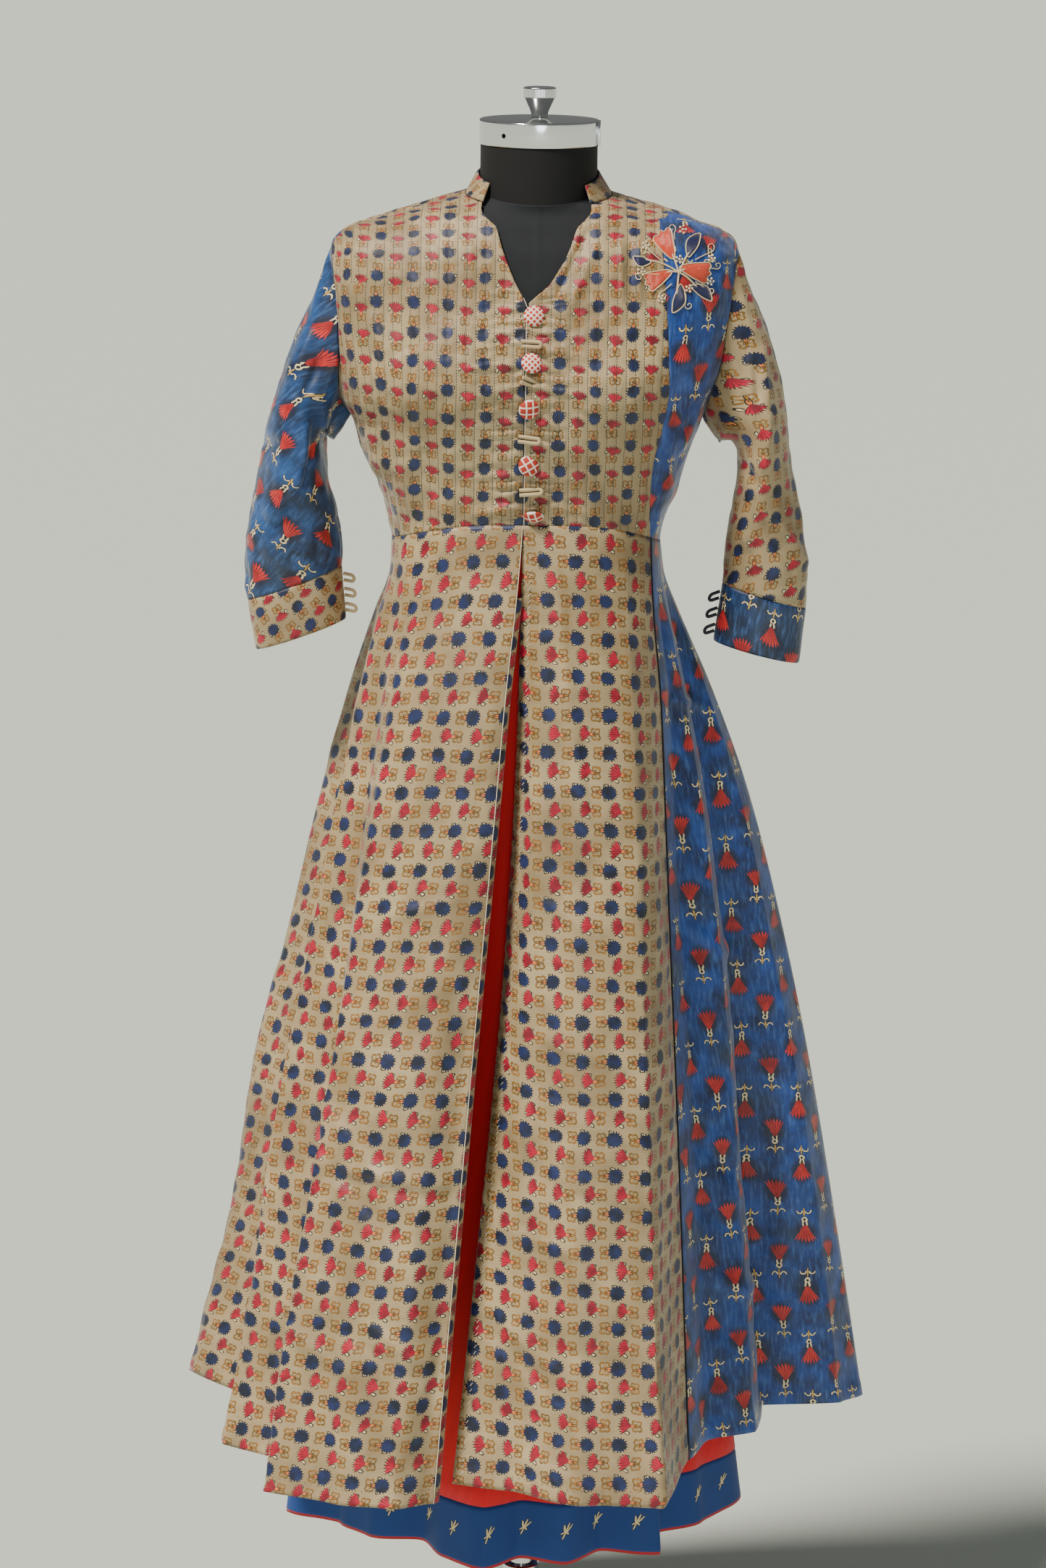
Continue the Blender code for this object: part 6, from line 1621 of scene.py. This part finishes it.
opening_right, opening_left = opening_edge(-1), opening_edge(1)
side_right, side_left, princess = outer_edge(-1), outer_edge(1), princess_edge()
front_right = bodice_piece("gown_front_right", front_place(opening_right, side_right), 120, 190, bodice_silk,
                           "beige_silk", "bodice_front_right", BODICE_CREASES, True, True)
front_left = bodice_piece("gown_front_left", front_place(opening_left, princess), 80, 190, bodice_silk,
                          "beige_silk", "bodice_front_left", BODICE_CREASES, True, True)
side_panel = bodice_piece("gown_side_panel", front_place(princess, side_left), 48, 140, panel_silk,
                          "blue_silk", "bodice_side_left", BODICE_CREASES, True, False)
back = bodice_piece("gown_back", back_place(), 150, 91, bodice_silk,
                    "beige_silk", "bodice_back", BACK_CREASES, False, False)


def collar_place(s, t):
    """Stand collar from its neck seam up, round from one open end to the other."""
    turn = COLLAR_TURN_LEFT + s * (360.0 + COLLAR_TURN_RIGHT - COLLAR_TURN_LEFT)
    seat = gown_point(turn, NECK_SEAM_LEVEL)
    angle = math.radians(turn)
    height = COLLAR_HEIGHT - COLLAR_BACK_RISE * math.cos(angle)
    top = Vector((COLLAR_TOP_RADIUS * math.sin(angle), -COLLAR_TOP_RADIUS * math.cos(angle), seat.z + height))
    foot = seat + (top - seat).normalized() * SEAM_GAP
    return foot.lerp(top, t)


collar_points = grid_of(collar_place, 160, 10)
collar_uv = cloth_uv(collar_points, 80)
collar = add_cloth("gown_collar", collar_points,
                   seam_sink(collar_uv, 0.0005, 0.0012) + ripple(collar_points, 0.02, 1.0, 0.0006, 2.0),
                   collar_uv, bodice_silk, "beige_silk", ("collar",), thickness=WALL)


def crinkle(points, low, high):
    """Fine upright crinkles in the lower sleeve."""
    z = points[..., 2]
    share = 1.0 / (1.0 + np.exp((z - high) / 0.012)) / (1.0 + np.exp((low - z) / 0.006))
    return ripple(points, 0.0075, 4.5, 0.0016, 6.0) * share


def arm_uv(points, middle_column):
    """Cloth measure on a sleeve: across round the arm, and up along the arm's own line."""
    arm = np.mean(points[-1], axis=0) - np.mean(points[0], axis=0)
    arm /= np.linalg.norm(arm)
    steps = np.diff(points, axis=1)
    along = steps @ arm
    across = np.sqrt(np.maximum(np.sum(steps * steps, axis=2) - along * along, 0.0))
    across = np.concatenate([np.zeros((len(points), 1)), np.cumsum(across, axis=1)], axis=1)
    across -= across[:, middle_column:middle_column + 1]
    return np.stack([across, (points - points[0, 0]) @ arm], axis=2)


def sleeve_pieces(name, side, table, body_silk, body_slot, band_silk, band_slot):
    place = sleeve_place(side, table)
    outward = away_from_arm(side, table)
    share = (len(table) - 1) / len(table)
    rows = (len(table) - 1) * SLEEVE_ROW_STEPS
    points = grid_of(lambda s, t: place(s, t * share), SLEEVE_ROUND, rows)
    uv = arm_uv(points, SLEEVE_ROUND // 2)
    measure = cloth_uv(points, SLEEVE_ROUND // 2)[..., 1]
    relief = 1.3 * crease_relief(points, SLEEVE_CREASES, True) + ripple(points, 0.035, 2.4, 0.0034, 4.0)
    relief += ripple(points, 0.014, 1.2, 0.0012, 9.0)
    if side < 0:
        relief += crinkle(points, 1.16, 1.285)
    fade = np.clip(np.minimum(measure, measure[-1:] - measure) / 0.012, 0.0, 1.0)
    body = add_cloth("gown_sleeve_" + name, points, relief * fade, uv, body_silk, body_slot,
                     ("sleeve_" + name,), True, outward)
    band = grid_of(lambda s, t: place(0.002 + 0.996 * s, share + (1.0 - share) * t), SLEEVE_ROUND, 14)
    band_uv = cloth_uv(band, SLEEVE_ROUND // 2)
    band_relief = seam_sink(band_uv, 0.0007, 0.0016) + ripple(band, 0.02, 2.0, 0.0009, 7.0) + 0.0004
    cuff = add_cloth("gown_cuff_" + name, band, band_relief, band_uv, band_silk, band_slot,
                     ("cuff_" + name,), False, outward, WALL)
    return body, cuff, points, band


sleeve_right = sleeve_pieces("right", -1, SLEEVE_RIGHT, sleeve_silk_painted_shade, "blue_silk", cuff_silk, "beige_silk")
sleeve_left = sleeve_pieces("left", 1, SLEEVE_LEFT, sleeve_silk, "beige_silk", cuff_blue, "blue_silk")

# Skirt and underskirt

skirt_panels = {}
for name, start, end, material, slot in (
        ("front_left", "slit_left_edge", "blue_seam", skirt_silk, "beige_silk"),
        ("side_left", "blue_seam", "back_left_seam", panel_silk, "blue_silk"),
        ("back_left", "back_left_seam", "centre_back_seam", skirt_silk, "beige_silk"),
        ("back_right", "centre_back_seam", "side_seam", skirt_silk, "beige_silk"),
        ("front_right", "side_seam", "slit_right_edge", skirt_silk, "beige_silk")):
    points = refined(skirt_grid(start, end), 2 if name.startswith("back") else 3, 0)
    if name.startswith("front"):
        points = refined(points, 2, 1)
    uv = cloth_uv(points, points.shape[1] // 2)
    relief = skirt_relief(points, uv)
    if name == "front_left":
        relief += slit_pucker(uv, False)
    piece = add_cloth("gown_skirt_" + name, points, relief, uv, material, slot,
                      ("skirt_" + name,))
    skirt_panels[name] = (piece, points)

hem_low = min(fold.z for fold in INNER_FOLDS)
seam_height = hem_low + BORDER_DEPTH
folds = len(INNER_FOLDS) - 1
inner_points = grid_of(
    lambda s, t: underskirt_point(s * folds, seam_height + (INNER_TOP - seam_height) * t),
    folds * INNER_STEPS, 60)
inner_uv = cloth_uv(inner_points, 0)
inner_drop = np.linspace(1.0, 0.0, len(inner_points))[:, None]
underskirt = add_cloth("gown_underskirt", inner_points,
                       ripple(inner_points, 0.03, 6.0, 0.0022, 12.0) * inner_drop - 0.0006 * (1 - inner_drop),
                       inner_uv, red_lawn, "red_cotton", ("underskirt",), True)


def border_place(s, t):
    low = underskirt_point(s * folds, inner_hem_height(s * folds))
    return low.lerp(underskirt_point(s * folds, seam_height), t)


border_points = grid_of(border_place, folds * INNER_STEPS, 12)
border_uv = cloth_uv(border_points, 0)
border_band = add_cloth("gown_underskirt_border", border_points,
                        ripple(border_points, 0.03, 6.0, 0.0022, 12.0) + seam_sink(border_uv, 0.0005, 0.0012),
                        border_uv, border, "border_cotton", ("underskirt_border",), True)

# Facing inside the slit, its hand stitches, and piping beside the blue panel

shown = int(len(skirt_panels["front_right"][1]) * 0.93)
facing_points = turned_edge(skirt_panels["front_right"][1], True, 0.0060, 0.0050, 8)[:shown]
facing_uv = cloth_uv(facing_points, 0)
add_cloth("slit_facing_dark", facing_points, np.zeros(facing_points.shape[:2]), facing_uv, skirt_silk,
          "beige_silk", (), thickness=0.0005)

# Pale cord along the right panel's edge at the slit: painted highlight where that edge catches the light.
slit_edge = skirt_panels["front_right"][1][:, -1]
cord_piece("slit_edge_painted_highlight", [Vector(point) for point in slit_edge[::2]], 0.0004, piping_pale, "form", (),
           "beige_silk")

stitch_tree = surface_tree(skirt_panels["front_left"][0])
left_edge = skirt_panels["front_left"][1][:, 0]
stitches = bpy.data.curves.new("slit_hand_stitches", "CURVE")
stitches.dimensions = "3D"
stitches.bevel_depth = 0.00035
stitches.bevel_resolution = 0
stitches.use_fill_caps = True
edge_levels = left_edge[:, 2]
stitch_level = float(edge_levels[0]) + 0.012
while stitch_level < WAIST_FRONT - 0.03:
    x = float(np.interp(stitch_level, edge_levels, left_edge[:, 0])) + 0.0085
    spline = stitches.splines.new("POLY")
    spline.points.add(2)
    for point, (dx, dz) in zip(spline.points, ((-0.0011, -0.0016), (0.0, 0.0), (0.0011, 0.0016))):
        point.co = (*seat_on(stitch_tree, x + dx, stitch_level + dz, 0.0003)[0], 1.0)
    stitch_level += 0.0062
add_piece("slit_hand_stitches", stitches, piping_pale, "form", (), "beige_silk")

blue_edge = skirt_panels["side_left"][1][:, 0]
cord_piece("panel_piping", [Vector(point) + away_from_body(Vector(point)) * 0.0006 for point in blue_edge[::3]],
           0.0008, piping_dark, "form", (), "loop_dark")

# Buttons, loops and spray

cloth_tree = surface_tree(front_right, front_left, side_panel)
for number, fastening in enumerate(BUTTONS, start=1):
    button_piece(number, fastening, cloth_tree, fine_check if number < 3 else check)
for number, loop in enumerate(FRONT_LOOPS, start=1):
    centre, right, up, _ = seat_on(cloth_tree, loop.x, loop.z, LOOP_CORD_RADIUS)
    slope = math.radians(loop.slope)
    along = right * math.cos(slope) + up * math.sin(slope)
    across = up * math.cos(slope) - right * math.sin(slope)
    cord_piece(f"rouleau_loop_{number}", hairpin(centre, along, across, loop.length, LOOP_HALF_WIDTH),
               LOOP_CORD_RADIUS, loop_beige, "form", (f"front_loop_{number}",), "loop_beige")
for name, side, table, band, material, slot in (
        ("right", -1, SLEEVE_RIGHT, sleeve_right[3], loop_beige, "loop_beige"),
        ("left", 1, SLEEVE_LEFT, sleeve_left[3], loop_dark, "loop_dark")):
    top, hem = Vector(band[0, 0]), Vector(band[-1, 0])
    outward = away_from_arm(side, table)(top.lerp(hem, 0.5))
    outward = Vector((-side * abs(outward.x), 0.0, outward.z)).normalized()
    down = (hem - top).normalized()
    for number, share in enumerate(CUFF_LOOP_PLACES, start=1):
        seat = top.lerp(hem, share) + outward * (CUFF_LOOP_SEAT + CUFF_LOOP_REACH / 2.0)
        cord_piece(f"cuff_rouleau_{name}_{number}",
                   hairpin(seat, outward, down, CUFF_LOOP_REACH, CUFF_LOOP_SPREAD),
                   CUFF_LOOP_CORD, material, "form", (f"cuff_loop_{name}_{number}",), slot)
for motif in SPRAY:
    spray_pad(motif, cloth_tree, coral_floss if motif.name.startswith("bell") else navy_floss)
    outline = motif_outline(motif)
    rim = [seat_on(cloth_tree, *rounded_outline(outline, step / 40.0), 0.0008)[0] for step in range(40)]
    cord_piece("couched_" + motif.name, rim, 0.0006, cream_floss, "form", (), "spray_thread", closed=True)
    stem = []
    for step in range(9):
        t = step / 8.0
        x = SPRAY_HEART[0] + (motif.x - SPRAY_HEART[0]) * t
        z = SPRAY_HEART[1] + (motif.z - SPRAY_HEART[1]) * t + 0.003 * math.sin(t * math.pi)
        stem.append(seat_on(cloth_tree, x, z, 0.0006)[0])
    cord_piece("stem_" + motif.name, stem, 0.0009, cream_floss, "form", (), "spray_thread")
for number, (x, z, heading, size) in enumerate(TENDRILS, start=1):
    curl_points = [seat_on(cloth_tree, (SPRAY_HEART[0] + x) / 2.0, (SPRAY_HEART[1] + z) / 2.0, 0.0016)[0]]
    for step in range(14):
        angle = math.radians(heading - 150.0 + 30.0 * step)
        reach = size * (1.0 - step / 18.0)
        curl_points.append(seat_on(cloth_tree, x + reach * math.cos(angle), z + reach * math.sin(angle), 0.0007)[0])
    cord_piece(f"tendril_{number}", curl_points, 0.0005, cream_floss, "form", (), "spray_thread")

BEAD_CLUSTERS = ((0.1050, 1.5430), (0.1010, 1.5190), (0.1420, 1.5560), (0.1700, 1.5300), (0.1480, 1.5020),
                 (0.1210, 1.4930), (0.1380, 1.5300), (0.1690, 1.5080))
beads = bmesh.new()
for x, z in BEAD_CLUSTERS:
    for step in range(6):
        angle = step * 2.0 * math.pi / 5.0
        reach = 0.0 if step == 5 else 0.0030
        centre = seat_on(cloth_tree, x + reach * math.cos(angle), z + reach * math.sin(angle), 0.0009)[0]
        bmesh.ops.create_icosphere(beads, subdivisions=2, radius=0.0013, matrix=Matrix.Translation(centre))
bead_data = finish_mesh(beads, "spray_beads", 80.0)
add_piece("spray_beads", bead_data, plain_cloth("cream_glass_beads", "#f2e6cc", "#d9c4a0", 0.35), "form", (),
          "spray_thread")
# Pale cord along the overlapping front's edge at the placket: painted highlight where that edge catches the light.
placket_edge = []
for step in range(60):
    z = 1.2700 + (1.4850 - 1.2700) * step / 59.0
    placket_edge.append(seat_on(cloth_tree, PLACKET_X + 0.0012, z, 0.0002)[0])
cord_piece("placket_painted_highlight_cord", placket_edge, 0.0004, piping_pale, "form", (), "beige_silk")
# Dark navy cord beside the pale one: painted shade for the narrow gap where the two fronts meet, not a real cord.
placket_gap_shade_line = [seat_on(cloth_tree, point.x - 0.0010, point.z, 0.0002)[0] for point in placket_edge]
cord_piece("placket_gap_painted_shade_cord", placket_gap_shade_line, 0.0005, piping_dark, "form", (), "loop_dark")

# Dress form and stand


def torso_place(s, t):
    """Form's surface, drawn in a little under the gown."""
    level = FORM_BOTTOM + (FORM_TOP_LEVEL - FORM_BOTTOM) * t
    turn = 360.0 * s
    point = body_point(turn, level)
    inset = FORM_INSET * min((level - FORM_BOTTOM) / 0.02, 1.0) * min((FORM_TOP_LEVEL - level) / 0.006, 1.0)
    seam = min(abs(turn), abs(turn - 360.0))
    return point - surface_normal(body_point, turn, level) * (inset - 0.0006 * math.exp(-(seam / 0.7)**2))


torso_mesh = bmesh.new()
torso_points = grid_of(torso_place, 160, 100)
torso_mesh.from_mesh(sheet_mesh("torso", torso_points, cloth_uv(torso_points, 0), closed_round=True))
bmesh.ops.holes_fill(torso_mesh, edges=[edge for edge in torso_mesh.edges if edge.is_boundary], sides=0)
torso = add_piece("jersey_torso", finish_mesh(torso_mesh, "jersey_torso", 50.0), jersey, "form",
                  ("form_torso",), "form_jersey")

neck_foot = FORM_TOP_LEVEL + SEAM_GAP
neck_mesh = turned_mesh([(0.0, NECK_TOP), (NECK_RADIUS, NECK_TOP), (NECK_RADIUS, neck_foot), (0.0, neck_foot)], 120)
for vert in neck_mesh.verts:
    if vert.co.z < (neck_foot + NECK_TOP) / 2:
        vert.co.z += FORM_SECTIONS[-1].lean * vert.co.y / NECK_RADIUS
add_piece("neck_block", finish_mesh(neck_mesh, "neck_block"), neck_cloth, "form", ("form_neck",), "neck_cover")
neck_line = []
for step in range(48):
    angle = 2.0 * math.pi * step / 48
    neck_line.append((NECK_RADIUS * math.sin(angle), -NECK_RADIUS * math.cos(angle),
                      neck_foot - FORM_SECTIONS[-1].lean * math.cos(angle)))
cord_piece("neck_edge_cord", neck_line, 0.0007, piping_dark, "form", (), "neck_cover", closed=True)

cap_low = NECK_TOP + SEAM_GAP
cap_top = cap_low + CAP_HEIGHT
turned_piece("polished_cap", [
    (0.0, cap_top + CAP_DOME), (CAP_RADIUS * 0.35, cap_top + CAP_DOME * 0.93),
    (CAP_RADIUS * 0.7, cap_top + CAP_DOME * 0.6), (CAP_RADIUS * 0.92, cap_top + CAP_DOME * 0.15),
    (CAP_RADIUS - 0.0016, cap_top), (CAP_RADIUS - 0.0006, cap_top - 0.0005), (CAP_RADIUS, cap_top - 0.0016),
    (CAP_RADIUS, cap_top - 0.0020), (CAP_RADIUS, cap_top - 0.0026),
    (CAP_RADIUS, cap_low + 0.0008), (CAP_RADIUS - 0.0005, cap_low), (0.0, cap_low)],
    chrome, "form", "neck_cap", "polished_metal", 160)
knob_seat = cap_top + CAP_DOME + SEAM_GAP
knob_top = knob_seat + 0.0290
knob_mesh = turned_mesh([
    (0.0, knob_top), (0.0120, knob_top), (0.0140, knob_top), (0.0156, knob_top - 0.0005),
    (0.0162, knob_top - 0.0012), (0.0162, knob_top - 0.0018),
    (0.0162, knob_top - 0.0060), (0.0162, knob_top - 0.0094), (0.0162, knob_top - 0.0100),
    (0.0156, knob_top - 0.0108), (0.0153, knob_top - 0.0113),
    (0.0128, knob_top - 0.0160), (0.0100, knob_top - 0.0215), (0.0084, knob_seat + 0.0030),
    (0.0084, knob_seat), (0.0, knob_seat)], 240)
for vert in knob_mesh.verts:
    reach = math.hypot(vert.co.x, vert.co.y)
    if reach > 0.0160:
        ridge = 1.0 - 0.016 * (0.5 - 0.5 * math.cos(60.0 * math.atan2(vert.co.y, vert.co.x)))
        vert.co.x *= ridge
        vert.co.y *= ridge
add_piece("turned_knob", finish_mesh(knob_mesh, "turned_knob", 40.0), chrome, "form", ("finial_knob",),
          "polished_metal")
tab_mesh = bmesh.new()
bmesh.ops.create_cube(tab_mesh, size=1.0)
bmesh.ops.scale(tab_mesh, vec=(0.0026, 0.0058, CAP_HEIGHT + 0.0010), verts=tab_mesh.verts)
bmesh.ops.bevel(tab_mesh, geom=tab_mesh.edges[:], offset=0.0005, segments=2, profile=0.5, affect="EDGES")
tab_turn = math.radians(76.0)
tab_reach = CAP_RADIUS + 0.0012
tab_place = Vector((tab_reach * math.sin(tab_turn), -tab_reach * math.cos(tab_turn), cap_low + CAP_HEIGHT / 2.0))
bmesh.ops.rotate(tab_mesh, cent=(0.0, 0.0, 0.0), matrix=Matrix.Rotation(tab_turn - math.pi / 2.0, 3, "Z"),
                 verts=tab_mesh.verts)
bmesh.ops.translate(tab_mesh, vec=tab_place, verts=tab_mesh.verts)
add_piece("cap_tab", finish_mesh(tab_mesh, "cap_tab", 40.0), chrome, "form", (), "polished_metal")
screw_turn = math.radians(-36.0)
screw_place = Vector((CAP_RADIUS * math.sin(screw_turn), -CAP_RADIUS * math.cos(screw_turn), cap_low + 0.011))
screw_axis = Vector((math.sin(screw_turn), -math.cos(screw_turn), 0.0))
screw = turned_mesh([(0.0, 0.0004), (0.0019, 0.0004), (0.0024, 0.0), (0.0024, -0.0008), (0.0, -0.0008)], 24,
                    screw_place, screw_axis, Vector((0.0, 0.0, 1.0)))
add_piece("cap_screw", finish_mesh(screw, "cap_screw"), black_hole, "form", (), "dark_metal")
turned_piece("steel_pole", [
    (0.0, FORM_BOTTOM + 0.010), (POLE_RADIUS, FORM_BOTTOM + 0.010), (POLE_RADIUS, POLE_FOOT), (0.0, POLE_FOOT)],
    chrome, "form", "pole", "polished_metal", 64)
tube_foot = BASE_THICKNESS + BOSS_RISE + SEAM_GAP
turned_piece("steel_tube", [
    (LOWER_TUBE_BORE, LOWER_TUBE_TOP), (LOWER_TUBE_RADIUS, LOWER_TUBE_TOP), (LOWER_TUBE_RADIUS, tube_foot),
    (LOWER_TUBE_BORE, tube_foot), (LOWER_TUBE_BORE, LOWER_TUBE_TOP)],
    chrome, "stand", "lower_tube", "polished_metal", 64)
ring_low = LOWER_TUBE_TOP + SEAM_GAP
ring_top = ring_low + RING_HEIGHT
turned_piece("steel_ring", [
    (LOWER_TUBE_BORE, ring_top), (RING_RADIUS - 0.0015, ring_top), (RING_RADIUS, ring_top - 0.0015),
    (RING_RADIUS, ring_low + 0.0015), (RING_RADIUS - 0.0015, ring_low), (LOWER_TUBE_BORE, ring_low),
    (LOWER_TUBE_BORE, ring_top)], chrome, "stand", "clamp_ring", "polished_metal", 64)
boss_top = BASE_THICKNESS + BOSS_RISE
turned_piece("steel_base", [
    (0.0, boss_top), (BOSS_RADIUS - 0.002, boss_top), (BOSS_RADIUS, boss_top - 0.002),
    (BOSS_RADIUS, BASE_THICKNESS), (BASE_RADIUS - 0.003, BASE_THICKNESS), (BASE_RADIUS, BASE_THICKNESS - 0.003),
    (BASE_RADIUS, 0.0), (0.0, 0.0)], dark_steel, "stand", "base_plate", "dark_metal", 160)

# Floor, light and camera

floor_mesh = bmesh.new()
bmesh.ops.create_grid(floor_mesh, x_segments=1, y_segments=1, size=40.0)
floor_data = bpy.data.meshes.new("floor")
floor_mesh.to_mesh(floor_data)
floor_mesh.free()
floor = bpy.data.objects.new("floor", floor_data)
bpy.context.scene.collection.objects.link(floor)
floor_paint, _, floor_shader = new_material("pale_floor", 0.9)
floor_shader.inputs["Base Color"].default_value = colour("#c6cec5")
floor_data.materials.append(floor_paint)


def area_light(name, place, aim, size, power, shade):
    data = bpy.data.lights.new(name, "AREA")
    data.shape = "DISK"
    data.size = size
    data.energy = power
    data.color = colour(shade)[:3]
    lamp = bpy.data.objects.new(name, data)
    bpy.context.scene.collection.objects.link(lamp)
    lamp.location = place
    lamp.rotation_euler = (Vector(aim) - Vector(place)).to_track_quat("-Z", "Y").to_euler()


area_light("fill_light", (0.3, -5.2, 1.2), (0.0, 0.0, 0.7), 1.6, 28.0, "#f2f5ff")
sun_data = bpy.data.lights.new("key_light", "SUN")
sun_data.energy = 5.6
sun_data.angle = math.radians(11.0)
sun_data.color = colour("#fff7ec")[:3]
key_light = bpy.data.objects.new("key_light", sun_data)
bpy.context.scene.collection.objects.link(key_light)
key_light.rotation_euler = Vector((0.56, 0.46, -1.15)).to_track_quat("-Z", "Y").to_euler()
world = bpy.data.worlds.new("studio")
world.use_nodes = True
sky = world.node_tree.nodes["Background"]
sky.inputs["Color"].default_value = colour("#dfe3e0")
sky.inputs["Strength"].default_value = 0.24
bpy.context.scene.world = world

camera_data = bpy.data.cameras.new("camera")
camera_data.lens = 115.537
camera_data.sensor_width = 36.0
camera = bpy.data.objects.new("camera", camera_data)
bpy.context.scene.collection.objects.link(camera)
camera.location = (-0.00805, -5.0, 2.05)
tilt = Matrix.Rotation(math.radians(78.0), 4, "X") @ Matrix.Rotation(math.radians(0.718), 4, "Z")
camera.rotation_euler = tilt.to_euler()
bpy.context.scene.camera = camera
